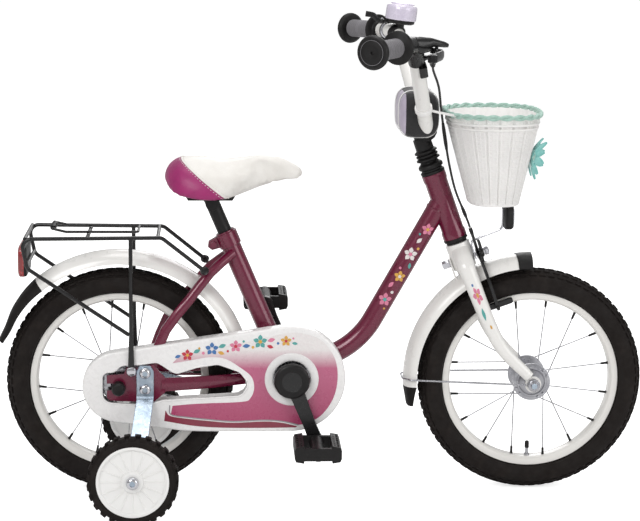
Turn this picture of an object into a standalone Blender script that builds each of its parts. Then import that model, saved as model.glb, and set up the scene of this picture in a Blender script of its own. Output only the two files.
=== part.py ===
"""A small child's bicycle with training wheels, basket, carrier and chain case.

Metres, +Z up. The bike faces +X and its chain side is -Y. The origin lies on the floor, halfway along the bike.
Places in the side view are measured from the rear axle (forwards) and from the floor (up), and at() turns
them into world places.
"""

import math

import bmesh
import bpy
from mathutils import Matrix, Vector

# Gaps: seated pieces almost touch, and moving pieces keep a little more
GAP = 0.0003
RUN = 0.0006

# Facets within this angle in degrees count as one plane
FLAT_ANGLE = 1.5

# Sides of a nut or a bolt's head
HEX = 6

# Wheels
WHEELBASE = 0.633
TYRE_RADIUS = 0.174
TYRE_WIDTH = 0.047
RIM_RADIUS = 0.1366
RIM_DEPTH = 0.0120
RIM_WIDTH = 0.030
RIM_LIP = 0.0019
RIM_WELL = 0.0045
# a multiple of four, so that a flat and not a corner lies on the floor
WHEEL_SIDES = 28
AXLE_RADIUS = 0.005
SPOKES = 16
SPOKE_RADIUS = 0.0009
SPOKE_CROSSING = 0.0020
SPOKE_LEAN = 33.75
FLANGE_RADIUS = 0.029
FLANGE_PLACE = 0.0285
FLANGE_THICK = 0.004
FRONT_BARREL_RADIUS = 0.012
REAR_BARREL_RADIUS = 0.020

# Frame
BB_X = 0.262
BB_Z = 0.186
BB_SHELL_RADIUS = 0.020
BB_SHELL_LENGTH = 0.068
SPINDLE_RADIUS = 0.0085
SEAT_ANGLE = 66.75
SEAT_TUBE_SETBACK = 0.0077
SEAT_TUBE_LENGTH = 0.238
SEAT_TUBE_RADIUS = 0.0150
SEATPOST_RADIUS = 0.0110
HEAD_ANGLE = 70.2
HEAD_TUBE_LENGTH = 0.105
HEAD_TUBE_RADIUS = 0.0175
FORK_RAKE = 0.0375
FORK_ROOM = 0.075
AXLE_TO_HEAD = TYRE_RADIUS + FORK_ROOM
DOWN_TUBE_RADIUS = 0.0155
DOWN_TUBE_JOINT = 0.062
DOWN_TUBE_CORNER = (0.366, 0.228)
DOWN_TUBE_BEND = 0.130
DROPOUT_INSIDE = 0.052
DROPOUT_THICK = 0.004

# Drive
CHAIN_LINE = 0.0405
CHAIN_PITCH = 0.0127
CHAINRING_TEETH = 32
SPROCKET_TEETH = 16
CHAIN_HALF_HEIGHT = 0.0040
CHAIN_HALF_WIDTH = 0.0034
SPROCKET_THICK = 0.0030
CRANK_LENGTH = 0.0990
CRANK_ANGLE = 21.8
CRANK_INSIDE = 0.0620
CRANK_THICK = 0.0120
CRANK_CAP_RADIUS = 0.0265
PEDAL_PIN_RADIUS = 0.0045
PEDAL_WIDTH = 0.080
PEDAL_SIDES = 12

# Chain case
CASE_FACE = 0.0585
CASE_BACK = 0.0345
CASE_WALL = 0.0020
CASE_LIP = 0.0035
CASE_FRONT_RADIUS = 0.082
CASE_REAR_RADIUS = 0.055

# Training wheels
TRAINER_RADIUS = 0.067
TRAINER_WIDTH = 0.028
TRAINER_X = 0.026
TRAINER_PLACE = 0.190
TRAINER_LUGS = 16
TRAINER_LUG_DEPTH = 0.004
TRAINER_DISC_RADIUS = 0.0535
TRAINER_BOLT_RADIUS = 0.0042
BRACKET_X = 0.040
BRACKET_WIDTH = 0.026
BRACKET_THICK = 0.004

# Fenders
REAR_FENDER_ROOM = 0.0285
FRONT_FENDER_ROOM = 0.0225
FENDER_RADIUS_REAR = TYRE_RADIUS + REAR_FENDER_ROOM
FENDER_RADIUS_FRONT = TYRE_RADIUS + FRONT_FENDER_ROOM
FENDER_DEPTH = 0.018
FENDER_HALF_WIDTH = 0.0275
FENDER_THICK = 0.0018
FLAP_REACH = 0.186
REAR_FENDER_START, REAR_FENDER_END = 14, 129
FRONT_FENDER_START, FRONT_FENDER_END = 92, 183
BRIDGE_TURN = 51.0
BRIDGE_RADIUS = 0.0040
BRIDGE_HALF = 0.0335

# Front end
STEERER_RADIUS = 0.0127
FORK_SPREAD = 0.0405
BAR_RADIUS = 0.011
BAR_SIDES = 12
BAR_END_RADIUS = 0.030
BAR_LOW_RADIUS = 0.022
CABLE_RADIUS = 0.0022
BAR_END = (0.367, 0.247, 0.697)
BAR_BEND = (0.432, 0.141, 0.700)
BAR_CLAMP = (0.4635, 0.036, 0.562)
GRIP_RADIUS = 0.0138
GRIP_LENGTH = 0.080
GRIP_FLANGE_RADIUS = 0.0245
GRIP_RIBS = 4
QUILL_RADIUS = 0.0110
STEM_COVER_RADIUS = 0.0135
FORK_TAB_IN = 0.0440
FORK_TAB_THICK = 0.0040
FORK_TAB_RADIUS = 0.0125
FORK_AXLE_OUT = FORK_TAB_IN + FORK_TAB_THICK
CUP_DEPTH = 0.008
WIRE_RADIUS = 0.0016
PAD_X, PAD_Z, PAD_THICK, PAD_HEIGHT = 0.4370, 0.5910, 0.0380, 0.0680
BELL_RADIUS = 0.0245
BELL_FOOT = 0.0145

# Brake: lever, cable and calliper
LEVER_PIVOT = (0.4650, -0.1280, 0.6900)
LEVER_AXIS = Vector((0.18, 0, 1)).normalized()
LEVER_PIN_RADIUS = 0.0028
CABLE_START_WAY = Vector((0.15, 0.72, -0.68)).normalized()
CABLE_BARREL_LENGTH = 0.016
BRAKE_DROP = 0.0365
BRAKE_BOLT_RADIUS = 0.0030
CALLIPER_THICK = 0.0052
CALLIPER_RIGHT_PLACE = 0.0250
CALLIPER_LEFT_PLACE = CALLIPER_RIGHT_PLACE + CALLIPER_THICK + GAP * 2
CABLE_SIDE = -0.020
CABLE_RISE = -0.0460
PAD_GAP = 0.0020
PAD_BELOW_EDGE = 0.0050
PAD_DROP = AXLE_TO_HEAD - BRAKE_DROP - math.sqrt((RIM_RADIUS - PAD_BELOW_EDGE) ** 2
                                                 - (FORK_RAKE - CALLIPER_RIGHT_PLACE) ** 2)
REFLECTOR_X, REFLECTOR_Z = 0.5860, 0.4280

# Basket
BASKET_TOP, BASKET_BOTTOM = 0.5880, 0.4500
BASKET_X_TOP, BASKET_X_BOTTOM = 0.5660, 0.5700
BASKET_SIZE_TOP, BASKET_SIZE_BOTTOM = (0.0705, 0.0900), (0.0365, 0.0560)
BASKET_WALL = 0.0025
BASKET_POINTS = 28
BASKET_DENT = 0.0012
STRAP_SHARE = 0.27
FLOWER_Z = 0.522
PETALS = 10

# Saddle and carrier
SADDLE_TOP = 0.521
RACK_TOP = 0.406
RACK_ROD = 0.003
RACK_LEG_X = 0.0195
LAMP_BAR_X, LAMP_Z = -0.1345, 0.3628
LAMP_HALF_WIDTH = 0.041
LAMP_HALF_HEIGHT = 0.024
CLAMP_HINGE = (-0.098, 0.0, 0.4130)
CLAMP_WIRE = 0.0020
# place along the saddle, half width, top and lower edge
SADDLE_STATIONS = [
    (0.0655, 0.018, 0.4960, 0.4800),
    (0.0740, 0.050, 0.5100, 0.4710),
    (0.0930, 0.069, 0.5190, 0.4640),
    (0.1250, 0.077, 0.5165, 0.4585),
    (0.1550, 0.071, 0.5130, 0.4580),
    (0.1850, 0.052, 0.5150, 0.4650),
    (0.2150, 0.034, 0.5195, 0.4750),
    (0.2420, 0.0255, SADDLE_TOP, 0.4815),
    (0.2640, 0.0225, 0.5150, 0.4850),
    (0.2770, 0.0170, 0.5070, 0.4880),
    (0.2820, 0.0080, 0.4990, 0.4910),
]
SADDLE_SPLIT = ((0.0930, 0.5200), (0.1560, 0.4570))

REAR_AXLE_X = (FLAP_REACH - WHEELBASE - TYRE_RADIUS) / 2

# Finishes: colour, roughness, metallic
BURGUNDY = ((0.14, 0.004, 0.030, 1), 0.25, 0.3)
WHITE = ((0.76, 0.72, 0.70, 1), 0.35, 0.0)
BLACK = ((0.012, 0.010, 0.010, 1), 0.45, 0.0)
RUBBER = ((0.018, 0.012, 0.011, 1), 0.8, 0.0)
STEEL = ((0.60, 0.60, 0.62, 1), 0.3, 1.0)
ZINC = ((0.42, 0.50, 0.58, 1), 0.35, 1.0)
MAGENTA = ((0.40, 0.010, 0.14, 1), 0.45, 0.0)
MINT = ((0.27, 0.62, 0.58, 1), 0.7, 0.0)
LILAC = ((0.66, 0.60, 0.74, 1), 0.25, 0.0)
RED = ((0.55, 0.01, 0.01, 1), 0.2, 0.0)


def at(x, y, z):
    """A world place from a distance ahead of the rear axle, one to the left and one above the floor."""
    return Vector((REAR_AXLE_X + x, y, z))


# Directions of the steering axis and the seat tube in the side view
STEER_UP = Vector((-math.cos(math.radians(HEAD_ANGLE)), 0, math.sin(math.radians(HEAD_ANGLE))))
STEER_FORWARD = Vector((STEER_UP.z, 0, -STEER_UP.x))
SEAT_UP = Vector((-math.cos(math.radians(SEAT_ANGLE)), 0, math.sin(math.radians(SEAT_ANGLE))))
LEFT = Vector((0, 1, 0))
WHEEL_ACROSS = Vector((1, 0, 0))
REAR_AXLE = at(0, 0, TYRE_RADIUS)
FRONT_AXLE = at(WHEELBASE, 0, TYRE_RADIUS)
BOTTOM_BRACKET = at(BB_X, 0, BB_Z)


def head(distance):
    """A point on the steering axis, measured up from the head tube's lower end."""
    return FRONT_AXLE - STEER_FORWARD * FORK_RAKE + STEER_UP * (AXLE_TO_HEAD + distance)


def seat(distance):
    """A point on the seat tube's axis, measured up from the bottom bracket."""
    return at(BB_X - SEAT_TUBE_SETBACK, 0, BB_Z) + SEAT_UP * distance


def frame_at(point, axis, across=None):
    """A matrix that puts local Z along an axis, with local X near a chosen direction."""
    axis = axis.normalized()
    across = across or (Vector((1, 0, 0)) if abs(axis.x) < 0.9 else Vector((0, 1, 0)))
    first = (across - axis * across.dot(axis)).normalized()
    second = axis.cross(first)
    return Matrix.Translation(point) @ Matrix((first, second, axis)).transposed().to_4x4()


def clear_scene():
    for item in list(bpy.data.objects):
        bpy.data.objects.remove(item, do_unlink=True)


def finish(name, kind):
    colour, roughness, metallic = kind
    material = bpy.data.materials.new(name)
    material.use_nodes = True
    shader = material.node_tree.nodes["Principled BSDF"]
    shader.inputs["Base Color"].default_value = colour
    shader.inputs["Roughness"].default_value = roughness
    shader.inputs["Metallic"].default_value = metallic
    material.diffuse_color = colour
    return material


def solid(bm):
    """An object made from a bmesh, with its faces turned outwards."""
    bmesh.ops.recalc_face_normals(bm, faces=bm.faces)
    mesh = bpy.data.meshes.new("solid")
    bm.to_mesh(mesh)
    bm.free()
    item = bpy.data.objects.new("solid", mesh)
    bpy.context.collection.objects.link(item)
    return item


def combine(base, other, operation):
    """Joins, cuts or crosses two solids and leaves the result in the first."""
    modifier = base.modifiers.new(operation, "BOOLEAN")
    modifier.operation = operation
    modifier.solver = "EXACT"
    modifier.object = other
    graph = bpy.context.evaluated_depsgraph_get()
    mesh = bpy.data.meshes.new_from_object(base.evaluated_get(graph))
    base.modifiers.clear()
    old = base.data
    base.data = mesh
    bpy.data.meshes.remove(old)
    bpy.data.objects.remove(other, do_unlink=True)


def join(base, *others):
    for other in others:
        combine(base, other, "UNION")
    return base


def cut(base, *others):
    for other in others:
        combine(base, other, "DIFFERENCE")
    return base


def flatten(item):
    """Merges the flat pieces that cuts and joins leave within one plane or one straight edge."""
    bm = bmesh.new()
    bm.from_mesh(item.data)
    bmesh.ops.dissolve_limit(bm, angle_limit=math.radians(FLAT_ANGLE), verts=bm.verts, edges=bm.edges)
    bmesh.ops.triangulate(bm, faces=[face for face in bm.faces if len(face.verts) > 4])
    bm.to_mesh(item.data)
    bm.free()


def named(item, name, kind, pivot=None, sharp=35):
    """Gives a finished solid its name, material, smooth shading and, on a moving piece, its pivot."""
    flatten(item)
    item.name = name
    item.data.name = name
    item.data.materials.clear()
    item.data.materials.append(finish(name, kind))
    item.data.shade_smooth()
    item.data.set_sharp_from_angle(angle=math.radians(sharp))
    if pivot is not None:
        item.data.transform(Matrix.Translation(-pivot))
        item.location = pivot
    return item


def loft(rings, loop=False):
    """A closed body through rings of equally many points."""
    bm = bmesh.new()
    rows = [[bm.verts.new(point) for point in ring] for ring in rings]
    pairs = list(zip(rows, rows[1:]))
    if loop:
        pairs.append((rows[-1], rows[0]))
    for low, high in pairs:
        for index in range(len(low)):
            after = (index + 1) % len(low)
            bm.faces.new((low[index], low[after], high[after], high[index]))
    if not loop:
        bm.faces.new(list(reversed(rows[0])))
        bm.faces.new(rows[-1])
    return solid(bm)


def circle(radius, sides, radius_b=None):
    """Points of a circle or ellipse, with a flat side and not a corner at each quarter."""
    turns = [(index + 0.5) * 2 * math.pi / sides for index in range(sides)]
    return [(radius * math.cos(turn), (radius_b or radius) * math.sin(turn)) for turn in turns]


def lathe(profile, place, axis, sides, across=None):
    """Turns a closed profile of (radius, height) pairs into a ring round an axis."""
    matrix = frame_at(place, axis, across)
    rings = []
    for index in range(sides):
        turn = (index + 0.5) * 2 * math.pi / sides
        ring = [matrix @ Vector((r * math.cos(turn), r * math.sin(turn), h)) for r, h in profile]
        rings.append(ring)
    return loft(rings, loop=True)


def turned(profile, place, axis, sides, across=None):
    """Turns an open profile of (radius, height) pairs into a solid without a bore."""
    matrix = frame_at(place, axis, across)
    rings = []
    for radius, height in profile:
        rings.append([matrix @ Vector((a, b, height)) for a, b in circle(radius, sides)])
    return loft(rings)


def rod(start, end, radius, sides=12, across=None):
    length = (end - start).length
    return turned([(radius, 0), (radius, length)], start, end - start, sides, across)


def sweep(path, sections, across=None, loop=False):
    """Carries one section, or one for each point, along a path. across is the sections' first direction."""
    if not isinstance(sections[0], list):
        sections = [sections] * len(path)
    count = len(path)
    rings = []
    side = across
    for index, point in enumerate(path):
        before = path[index - 1] if index or loop else point
        after = path[(index + 1) % count] if index < count - 1 or loop else point
        ahead = (after - before).normalized()
        if side is None:
            side = ahead.orthogonal().normalized()
        first = (side - ahead * side.dot(ahead)).normalized()
        second = ahead.cross(first)
        if across is None:
            side = first
        rings.append([point + first * a + second * b for a, b in sections[index]])
    return loft(rings, loop=loop)


def tube(path, radius, sides=12, across=None):
    return sweep(path, circle(radius, sides), across)


def rounded(corners, radius, steps=4):
    """A path through corners, each rounded by an arc of the given radius."""
    path = [corners[0]]
    for before, corner, after in zip(corners, corners[1:], corners[2:]):
        into = (corner - before).normalized()
        out = (after - corner).normalized()
        bend = into.angle(out)
        reach = radius * math.tan(bend / 2)
        start = corner - into * reach
        normal = (out - into * out.dot(into)).normalized()
        for step in range(steps + 1):
            turn = bend * step / steps
            path.append(start + into * (radius * math.sin(turn)) + normal * (radius * (1 - math.cos(turn))))
    path.append(corners[-1])
    return path


def smooth(points, steps=4):
    """A Catmull-Rom curve through points."""
    path = []
    ends = [points[0] * 2 - points[1]] + list(points) + [points[-1] * 2 - points[-2]]
    for a, b, c, d in zip(ends, ends[1:], ends[2:], ends[3:]):
        for step in range(steps):
            t = step / steps
            path.append(0.5 * (b * 2 + (c - a) * t + (a * 2 - b * 5 + c * 4 - d) * t * t
                               + (b * 3 - a - c * 3 + d) * t * t * t))
    path.append(points[-1])
    return path


def plate(outline, near, far):
    """A flat plate in the side view, from one distance to the left to another."""
    low, high = sorted((near, far))
    rings = [[at(x, y, z) for x, z in outline] for y in (low, high)]
    return loft(rings)


def offset(outline, distance):
    """An outline moved outwards by a distance, for a closed run of points that turns left."""
    result = []
    count = len(outline)
    for index in range(count):
        ax, az = outline[index - 1]
        bx, bz = outline[index]
        cx, cz = outline[(index + 1) % count]
        into = Vector((bx - ax, bz - az)).normalized()
        out = Vector((cx - bx, cz - bz)).normalized()
        normal = Vector((into.y + out.y, -into.x - out.x))
        normal = normal / max(1e-9, normal.dot(Vector((into.y, -into.x))))
        result.append((bx + normal.x * distance, bz + normal.y * distance))
    return result


def soft_outline(corners, radius, steps=3):
    """A closed outline of (x, z) corners, each rounded by an arc."""
    points = [Vector((x, 0, z)) for x, z in corners]
    result = []
    count = len(points)
    for index in range(count):
        before, corner, after = points[index - 1], points[index], points[(index + 1) % count]
        room = 0.45 * min((corner - before).length, (after - corner).length)
        bend = (corner - before).angle(after - corner)
        limit = room / max(math.tan(bend / 2), 1e-6)
        arc = rounded([before, corner, after], min(radius, limit), steps)[1:-1]
        result += [(point.x, point.z) for point in arc]
    return result


# Wheels

def tyre_profile():
    """Half-round section with a flat crown, and a bead that sits in the rim's well."""
    half = TYRE_WIDTH / 2
    crown = math.cos(math.radians(20))
    profile = []
    for turn in (-110, -65, -20, 20, 65, 110):
        bend = math.radians(turn)
        profile.append((TYRE_RADIUS - half + half * min(1, math.cos(bend) / crown), half * math.sin(bend)))
    bead = RIM_WIDTH / 2 - RIM_LIP - GAP
    seat_radius = RIM_RADIUS + GAP
    low = RIM_RADIUS - RIM_WELL + GAP
    return profile + [(seat_radius, bead), (low, bead - 0.001), (low, 0.001 - bead), (seat_radius, -bead)]


def rim_profile():
    lip = RIM_WIDTH / 2
    well = RIM_RADIUS - RIM_WELL
    right = [(RIM_RADIUS, lip), (RIM_RADIUS - RIM_DEPTH, lip - 0.0045)]
    left = [(r, -y) for r, y in reversed(right)]
    return right + left + [(RIM_RADIUS, RIM_LIP - lip), (well, RIM_LIP - lip), (well, lip - RIM_LIP),
                           (RIM_RADIUS, lip - RIM_LIP)]


def scaled(profile, sides):
    """Radii grown so that the flats, and not the corners, of the turned shape lie on them."""
    grow = 1 / math.cos(math.pi / sides)
    return [(radius * grow, height) for radius, height in profile]


def tyre(name, centre):
    item = lathe(scaled(tyre_profile(), WHEEL_SIDES), centre, LEFT, WHEEL_SIDES, WHEEL_ACROSS)
    return named(item, name, RUBBER, centre)


def rim(name, centre):
    """The rim with the tyre's valve through its well."""
    item = lathe(scaled(rim_profile(), WHEEL_SIDES), centre, LEFT, WHEEL_SIDES, WHEEL_ACROSS)
    top = centre - Vector((0, 0, RIM_RADIUS - RIM_DEPTH - 0.022))
    join(item, rod(top, top - Vector((0, 0, 0.026)), 0.0032, 6))
    return named(item, name, WHITE, centre)


def hub(name, centre, barrel, end, first_spoke):
    """Barrel, two high flanges and crossed spokes, one of each pair passing outside the other, up to the rim."""
    bore = AXLE_RADIUS + RUN
    near, far = FLANGE_PLACE - FLANGE_THICK / 2, FLANGE_PLACE + FLANGE_THICK / 2
    half = [(barrel, near), (FLANGE_RADIUS, near), (FLANGE_RADIUS, far), (barrel * 0.9, far), (barrel * 0.8, end),
            (bore, end)]
    profile = half + [(radius, -height) for radius, height in reversed(half)]
    turn = math.radians(first_spoke + 360 / SPOKES / 2)
    item = lathe(profile, centre, LEFT, SPOKES, Vector((math.cos(turn), 0, math.sin(turn))))
    reach = RIM_RADIUS - RIM_DEPTH - 2 * GAP
    for index in range(SPOKES):
        side = 1 if index % 2 else -1
        lean = SPOKE_LEAN if index % 4 < 2 else -SPOKE_LEAN
        tip_turn = math.radians(first_spoke + index * 360 / SPOKES)
        root_turn = tip_turn + math.radians(lean)
        root_radius = FLANGE_RADIUS - 0.002
        apart = SPOKE_CROSSING * (0.5 if lean > 0 else -0.5)
        tip = centre + Vector((reach * math.cos(tip_turn), side * (0.003 + apart * 2), reach * math.sin(tip_turn)))
        root = centre + Vector((root_radius * math.cos(root_turn), side * (FLANGE_PLACE + apart),
                                root_radius * math.sin(root_turn)))
        join(item, rod(root, tip, SPOKE_RADIUS, 3))
    return named(item, name, STEEL, centre)


def sprocket_outline(teeth, tip, root):
    """A toothed outline with pointed teeth."""
    points = []
    for tooth in range(teeth):
        for share, radius in ((0.0, root), (0.5, tip)):
            turn = (tooth + share) * 2 * math.pi / teeth
            points.append((radius * math.cos(turn), radius * math.sin(turn)))
    return points


def pitch_radius(teeth):
    return CHAIN_PITCH / (2 * math.sin(math.pi / teeth))


def toothed_wheel(teeth, centre, bore):
    """A sprocket on the chain line, its teeth just inside the chain's rollers."""
    flat = pitch_radius(teeth) * math.cos(math.pi / teeth)
    tip = flat - CHAIN_HALF_HEIGHT - RUN
    outline = sprocket_outline(teeth, tip, tip - 0.0035)
    rings = []
    for side in (-1, 1):
        y = -CHAIN_LINE + side * SPROCKET_THICK / 2
        rings.append([centre + Vector((x, y, z)) for x, z in outline])
    item = loft(rings)
    if bore:
        cut(item, rod(centre + LEFT * (0.01 - CHAIN_LINE), centre - LEFT * (0.01 + CHAIN_LINE), bore, 12, WHEEL_ACROSS))
    return item


def rear_sprocket():
    """The sprocket with the driver sleeve that turns on the rear axle."""
    sleeve = [(AXLE_RADIUS + RUN, 0), (0.013, 0), (0.013, 0.0055), (0.010, 0.0085), (AXLE_RADIUS + RUN, 0.0085)]
    item = toothed_wheel(SPROCKET_TEETH, REAR_AXLE, 0.011)
    start = REAR_AXLE - LEFT * (CHAIN_LINE - SPROCKET_THICK)
    join(item, lathe(sleeve, start, -LEFT, 12, WHEEL_ACROSS))
    return named(item, "rear_sprocket", STEEL, REAR_AXLE)


# Chain

def chain_path():
    """The belt line round both sprockets, one point for each link that lies on them."""
    front, rear = pitch_radius(CHAINRING_TEETH), pitch_radius(SPROCKET_TEETH)
    base = BOTTOM_BRACKET - REAR_AXLE
    tilt = math.atan2(base.z, base.x)
    lean = math.asin((front - rear) / base.length)
    top = tilt + lean + math.pi / 2
    bottom = tilt - lean - math.pi / 2
    path = []
    for centre, radius, start, sweep_angle in (((BB_X, BB_Z), front, top, math.pi + 2 * lean),
                                               ((0, TYRE_RADIUS), rear, bottom, math.pi - 2 * lean)):
        links = round(radius * sweep_angle / CHAIN_PITCH)
        for link in range(links + 1):
            turn = start - sweep_angle * link / links
            path.append((centre[0] + radius * math.cos(turn), centre[1] + radius * math.sin(turn)))
    return path


def chain():
    """A closed run of links, wide and narrow in turn."""
    path = [at(x, -CHAIN_LINE, z) for x, z in chain_path()]
    sections = []
    for index in range(len(path)):
        wide = CHAIN_HALF_WIDTH if index % 2 else CHAIN_HALF_WIDTH - 0.0008
        high = CHAIN_HALF_HEIGHT
        sections.append([(wide, high), (-wide, high), (-wide, -high), (wide, -high)])
    return named(sweep(path, sections, LEFT, loop=True), "chain", STEEL)


# Frame

def head_tube_body(extra=0.0):
    r = HEAD_TUBE_RADIUS + extra
    flare = r + 0.0012
    profile = [(flare, 0), (flare, 0.010), (r, 0.013), (r, HEAD_TUBE_LENGTH - 0.013),
               (flare, HEAD_TUBE_LENGTH - 0.010), (flare, HEAD_TUBE_LENGTH)]
    return turned(profile, head(0), STEER_UP, 16)


def bb_shell_body(extra=0.0):
    half = LEFT * (BB_SHELL_LENGTH / 2 + extra)
    return rod(BOTTOM_BRACKET - half, BOTTOM_BRACKET + half, BB_SHELL_RADIUS + extra, 16, WHEEL_ACROSS)


def seat_tube_body(extra=0.0):
    return rod(seat(0), seat(SEAT_TUBE_LENGTH), SEAT_TUBE_RADIUS + extra, 14)


def head_tube():
    item = head_tube_body()
    cut(item, rod(head(-0.01), head(HEAD_TUBE_LENGTH + 0.01), STEERER_RADIUS + RUN, 16))
    return named(item, "head_tube", BURGUNDY)


def seat_tube():
    """Seat tube, bottom bracket shell, and the split clamp with its ears and bolt behind the tube's top."""
    item = seat_tube_body()
    join(item, bb_shell_body())
    ear = seat(SEAT_TUBE_LENGTH - 0.012)
    back = -Vector((SEAT_UP.z, 0, -SEAT_UP.x))
    join(item, turned([(SEAT_TUBE_RADIUS + 0.0022, -0.012), (SEAT_TUBE_RADIUS + 0.0022, 0.0095)], ear, SEAT_UP, 14))
    for side in (-1, 1):
        start = ear + back * 0.012 + LEFT * side * 0.0025
        outline = [(-0.009, 0), (0.009, 0), (0.007, 0.017), (0, 0.021), (-0.007, 0.017)]
        rings = []
        for y in (0, 0.004):
            rings.append([start + SEAT_UP * a + back * b + LEFT * side * y for a, b in outline])
        join(item, loft(rings))
    bolt = ear + back * 0.0235
    join(item, turned([(0.0055, -0.0105), (0.0055, -0.0062), (0.003, -0.006), (0.003, 0.006), (0.0055, 0.0062),
                       (0.0055, 0.0105)], bolt, LEFT, HEX))
    cut(item, rod(seat(0.075), seat(SEAT_TUBE_LENGTH + 0.02), SEATPOST_RADIUS + RUN, 14))
    half = LEFT * (BB_SHELL_LENGTH / 2 + 0.01)
    cut(item, rod(BOTTOM_BRACKET - half, BOTTOM_BRACKET + half, SPINDLE_RADIUS + RUN, 12, WHEEL_ACROSS))
    return named(item, "seat_tube", BURGUNDY)


def down_tube():
    """One step-through tube, straight from the head and bent low towards the bottom bracket."""
    corner = at(DOWN_TUBE_CORNER[0], 0, DOWN_TUBE_CORNER[1])
    path = rounded([head(DOWN_TUBE_JOINT), corner, BOTTOM_BRACKET], DOWN_TUBE_BEND, 6)
    item = tube(path, DOWN_TUBE_RADIUS, 14, LEFT)
    cut(item, head_tube_body(GAP), bb_shell_body(GAP), seat_tube_body(GAP))
    return named(item, "down_tube", BURGUNDY)


def above_axle(outline):
    """Turns heights above the rear axle into heights above the floor."""
    return [(x, TYRE_RADIUS + z) for x, z in outline]


def dropout_outline():
    return above_axle([(-0.018, -0.017), (-0.013, -0.021), (0.052, -0.024), (0.070, -0.009), (0.070, 0.015),
                       (0.062, 0.023), (0.053, 0.0345), (0.041, 0.0345), (0.030, 0.030), (0.012, 0.030),
                       (0.008, 0.020), (-0.018, 0.018)])


def stay_path(side):
    places = [(0.064, 0.0540, 0.177), (0.120, 0.0450, 0.178), (0.160, 0.0350, 0.179), (0.195, 0.0285, 0.181),
              (0.250, 0.0255, 0.185)]
    return smooth([at(x, side * y, z) for x, y, z in places], 2)


def stay_body(side, extra=0.0):
    path = stay_path(side)
    sections = []
    for index in range(len(path)):
        share = index / (len(path) - 1)
        wide = 0.0036 + (0.0060 - 0.0036) * min(1, share * 2)
        high = 0.0115 + (0.0085 - 0.0115) * share
        sections.append(circle(wide + extra, 8, high + extra))
    return sweep(path, sections, LEFT)


def dropout_body(side, extra=0.0):
    outline = offset(dropout_outline(), extra) if extra else dropout_outline()
    return plate(outline, side * (DROPOUT_INSIDE - extra), side * (DROPOUT_INSIDE + DROPOUT_THICK + extra))


def chain_stay(side, name):
    """A stay, flattened at its rear end, welded to a plate with an open slot for the axle."""
    item = stay_body(side)
    join(item, dropout_body(side))
    slot = AXLE_RADIUS + GAP
    inside, outside = side * (DROPOUT_INSIDE - 0.01), side * (DROPOUT_INSIDE + DROPOUT_THICK + 0.01)
    turns = [math.radians(270 + 180 * step / 6) for step in range(7)]
    round_end = [(slot * math.cos(turn), TYRE_RADIUS + slot * math.sin(turn)) for turn in turns]
    cut(item, plate([(-0.03, TYRE_RADIUS + slot), (-0.03, TYRE_RADIUS - slot)] + round_end, inside, outside))
    cut(item, bb_shell_body(GAP))
    return named(item, name, BURGUNDY)


def seat_stay_body(side, extra=0.0):
    places = [(0.1735, 0.0115, 0.373), (0.1385, 0.0300, 0.345), (0.106, 0.0415, 0.305), (0.071, 0.0470, 0.260),
              (0.050, 0.0505, 0.206)]
    path = smooth([at(x, side * y, z) for x, y, z in places], 2)
    sections = []
    for index in range(len(path)):
        share = index / (len(path) - 1)
        wide = 0.0075 - 0.0033 * max(0, share * 2 - 1)
        sections.append(circle(wide + extra, 8, 0.0075 + extra + 0.001 * share))
    return sweep(path, sections, LEFT)


def seat_stay(side, name):
    item = seat_stay_body(side)
    cut(item, seat_tube_body(GAP), dropout_body(side, GAP))
    return named(item, name, BURGUNDY)


def headset_cup(name, place, axis):
    """A bearing cup between the head tube and what turns on it."""
    bore = STEERER_RADIUS + RUN
    r = HEAD_TUBE_RADIUS
    profile = [(bore, GAP), (r + 0.0012, GAP), (r + 0.0018, 0.004), (r - 0.001, 0.0055), (r - 0.001, 0.008),
               (bore, 0.008)]
    return named(lathe(profile, place, axis, 12), name, BLACK)


def rear_axle():
    """Axle with bearing cones, nuts and a domed cap, and the brake arm that runs to the left chain stay."""
    inside = DROPOUT_INSIDE - GAP
    nut = DROPOUT_INSIDE + DROPOUT_THICK + GAP
    profile = [(0.0045, -0.0760), (0.0088, -0.0740), (0.0095, -0.0630), (0.0085, -nut), (AXLE_RADIUS, -nut),
               (AXLE_RADIUS, -inside), (0.0085, -inside), (AXLE_RADIUS, -0.0500), (AXLE_RADIUS, 0.0500),
               (0.0085, inside),
               (AXLE_RADIUS, inside), (AXLE_RADIUS, nut), (0.0088, nut), (0.0088, nut + 0.006),
               (AXLE_RADIUS, nut + 0.006), (AXLE_RADIUS, 0.070)]
    item = turned(profile, REAR_AXLE, LEFT, HEX, WHEEL_ACROSS)
    arm = above_axle([(0.012, -0.010), (0.105, -0.025), (0.112, -0.021), (0.112, -0.015), (0.106, -0.0115),
                      (0.010, 0.013), (-0.008, 0.015), (-0.016, 0.0), (-0.008, -0.015)])
    join(item, plate(list(reversed(arm)), 0.0440, 0.0470))
    return named(item, "rear_axle", ZINC)


# Drive

def crank_tip(side):
    """The pedal pin's axis: the right crank points down and forwards, and the left one is opposite."""
    turn = math.radians(CRANK_ANGLE)
    reach = Vector((math.sin(turn), 0, -math.cos(turn))) * CRANK_LENGTH
    return BOTTOM_BRACKET + (reach if side < 0 else -reach)


def chainring():
    """Chainring inside the closed case, fixed to the spindle."""
    item = toothed_wheel(CHAINRING_TEETH, BOTTOM_BRACKET, 0)
    half = LEFT * (CRANK_INSIDE - GAP)
    join(item, rod(BOTTOM_BRACKET - half, BOTTOM_BRACKET + half, SPINDLE_RADIUS, 12, WHEEL_ACROSS))
    collar = [(0.0155, 0), (0.0155, 0.010)]
    join(item, turned(collar, BOTTOM_BRACKET - LEFT * (CHAIN_LINE + 0.010), LEFT, 12, WHEEL_ACROSS))
    return named(item, "chainring", STEEL, BOTTOM_BRACKET)


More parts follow.
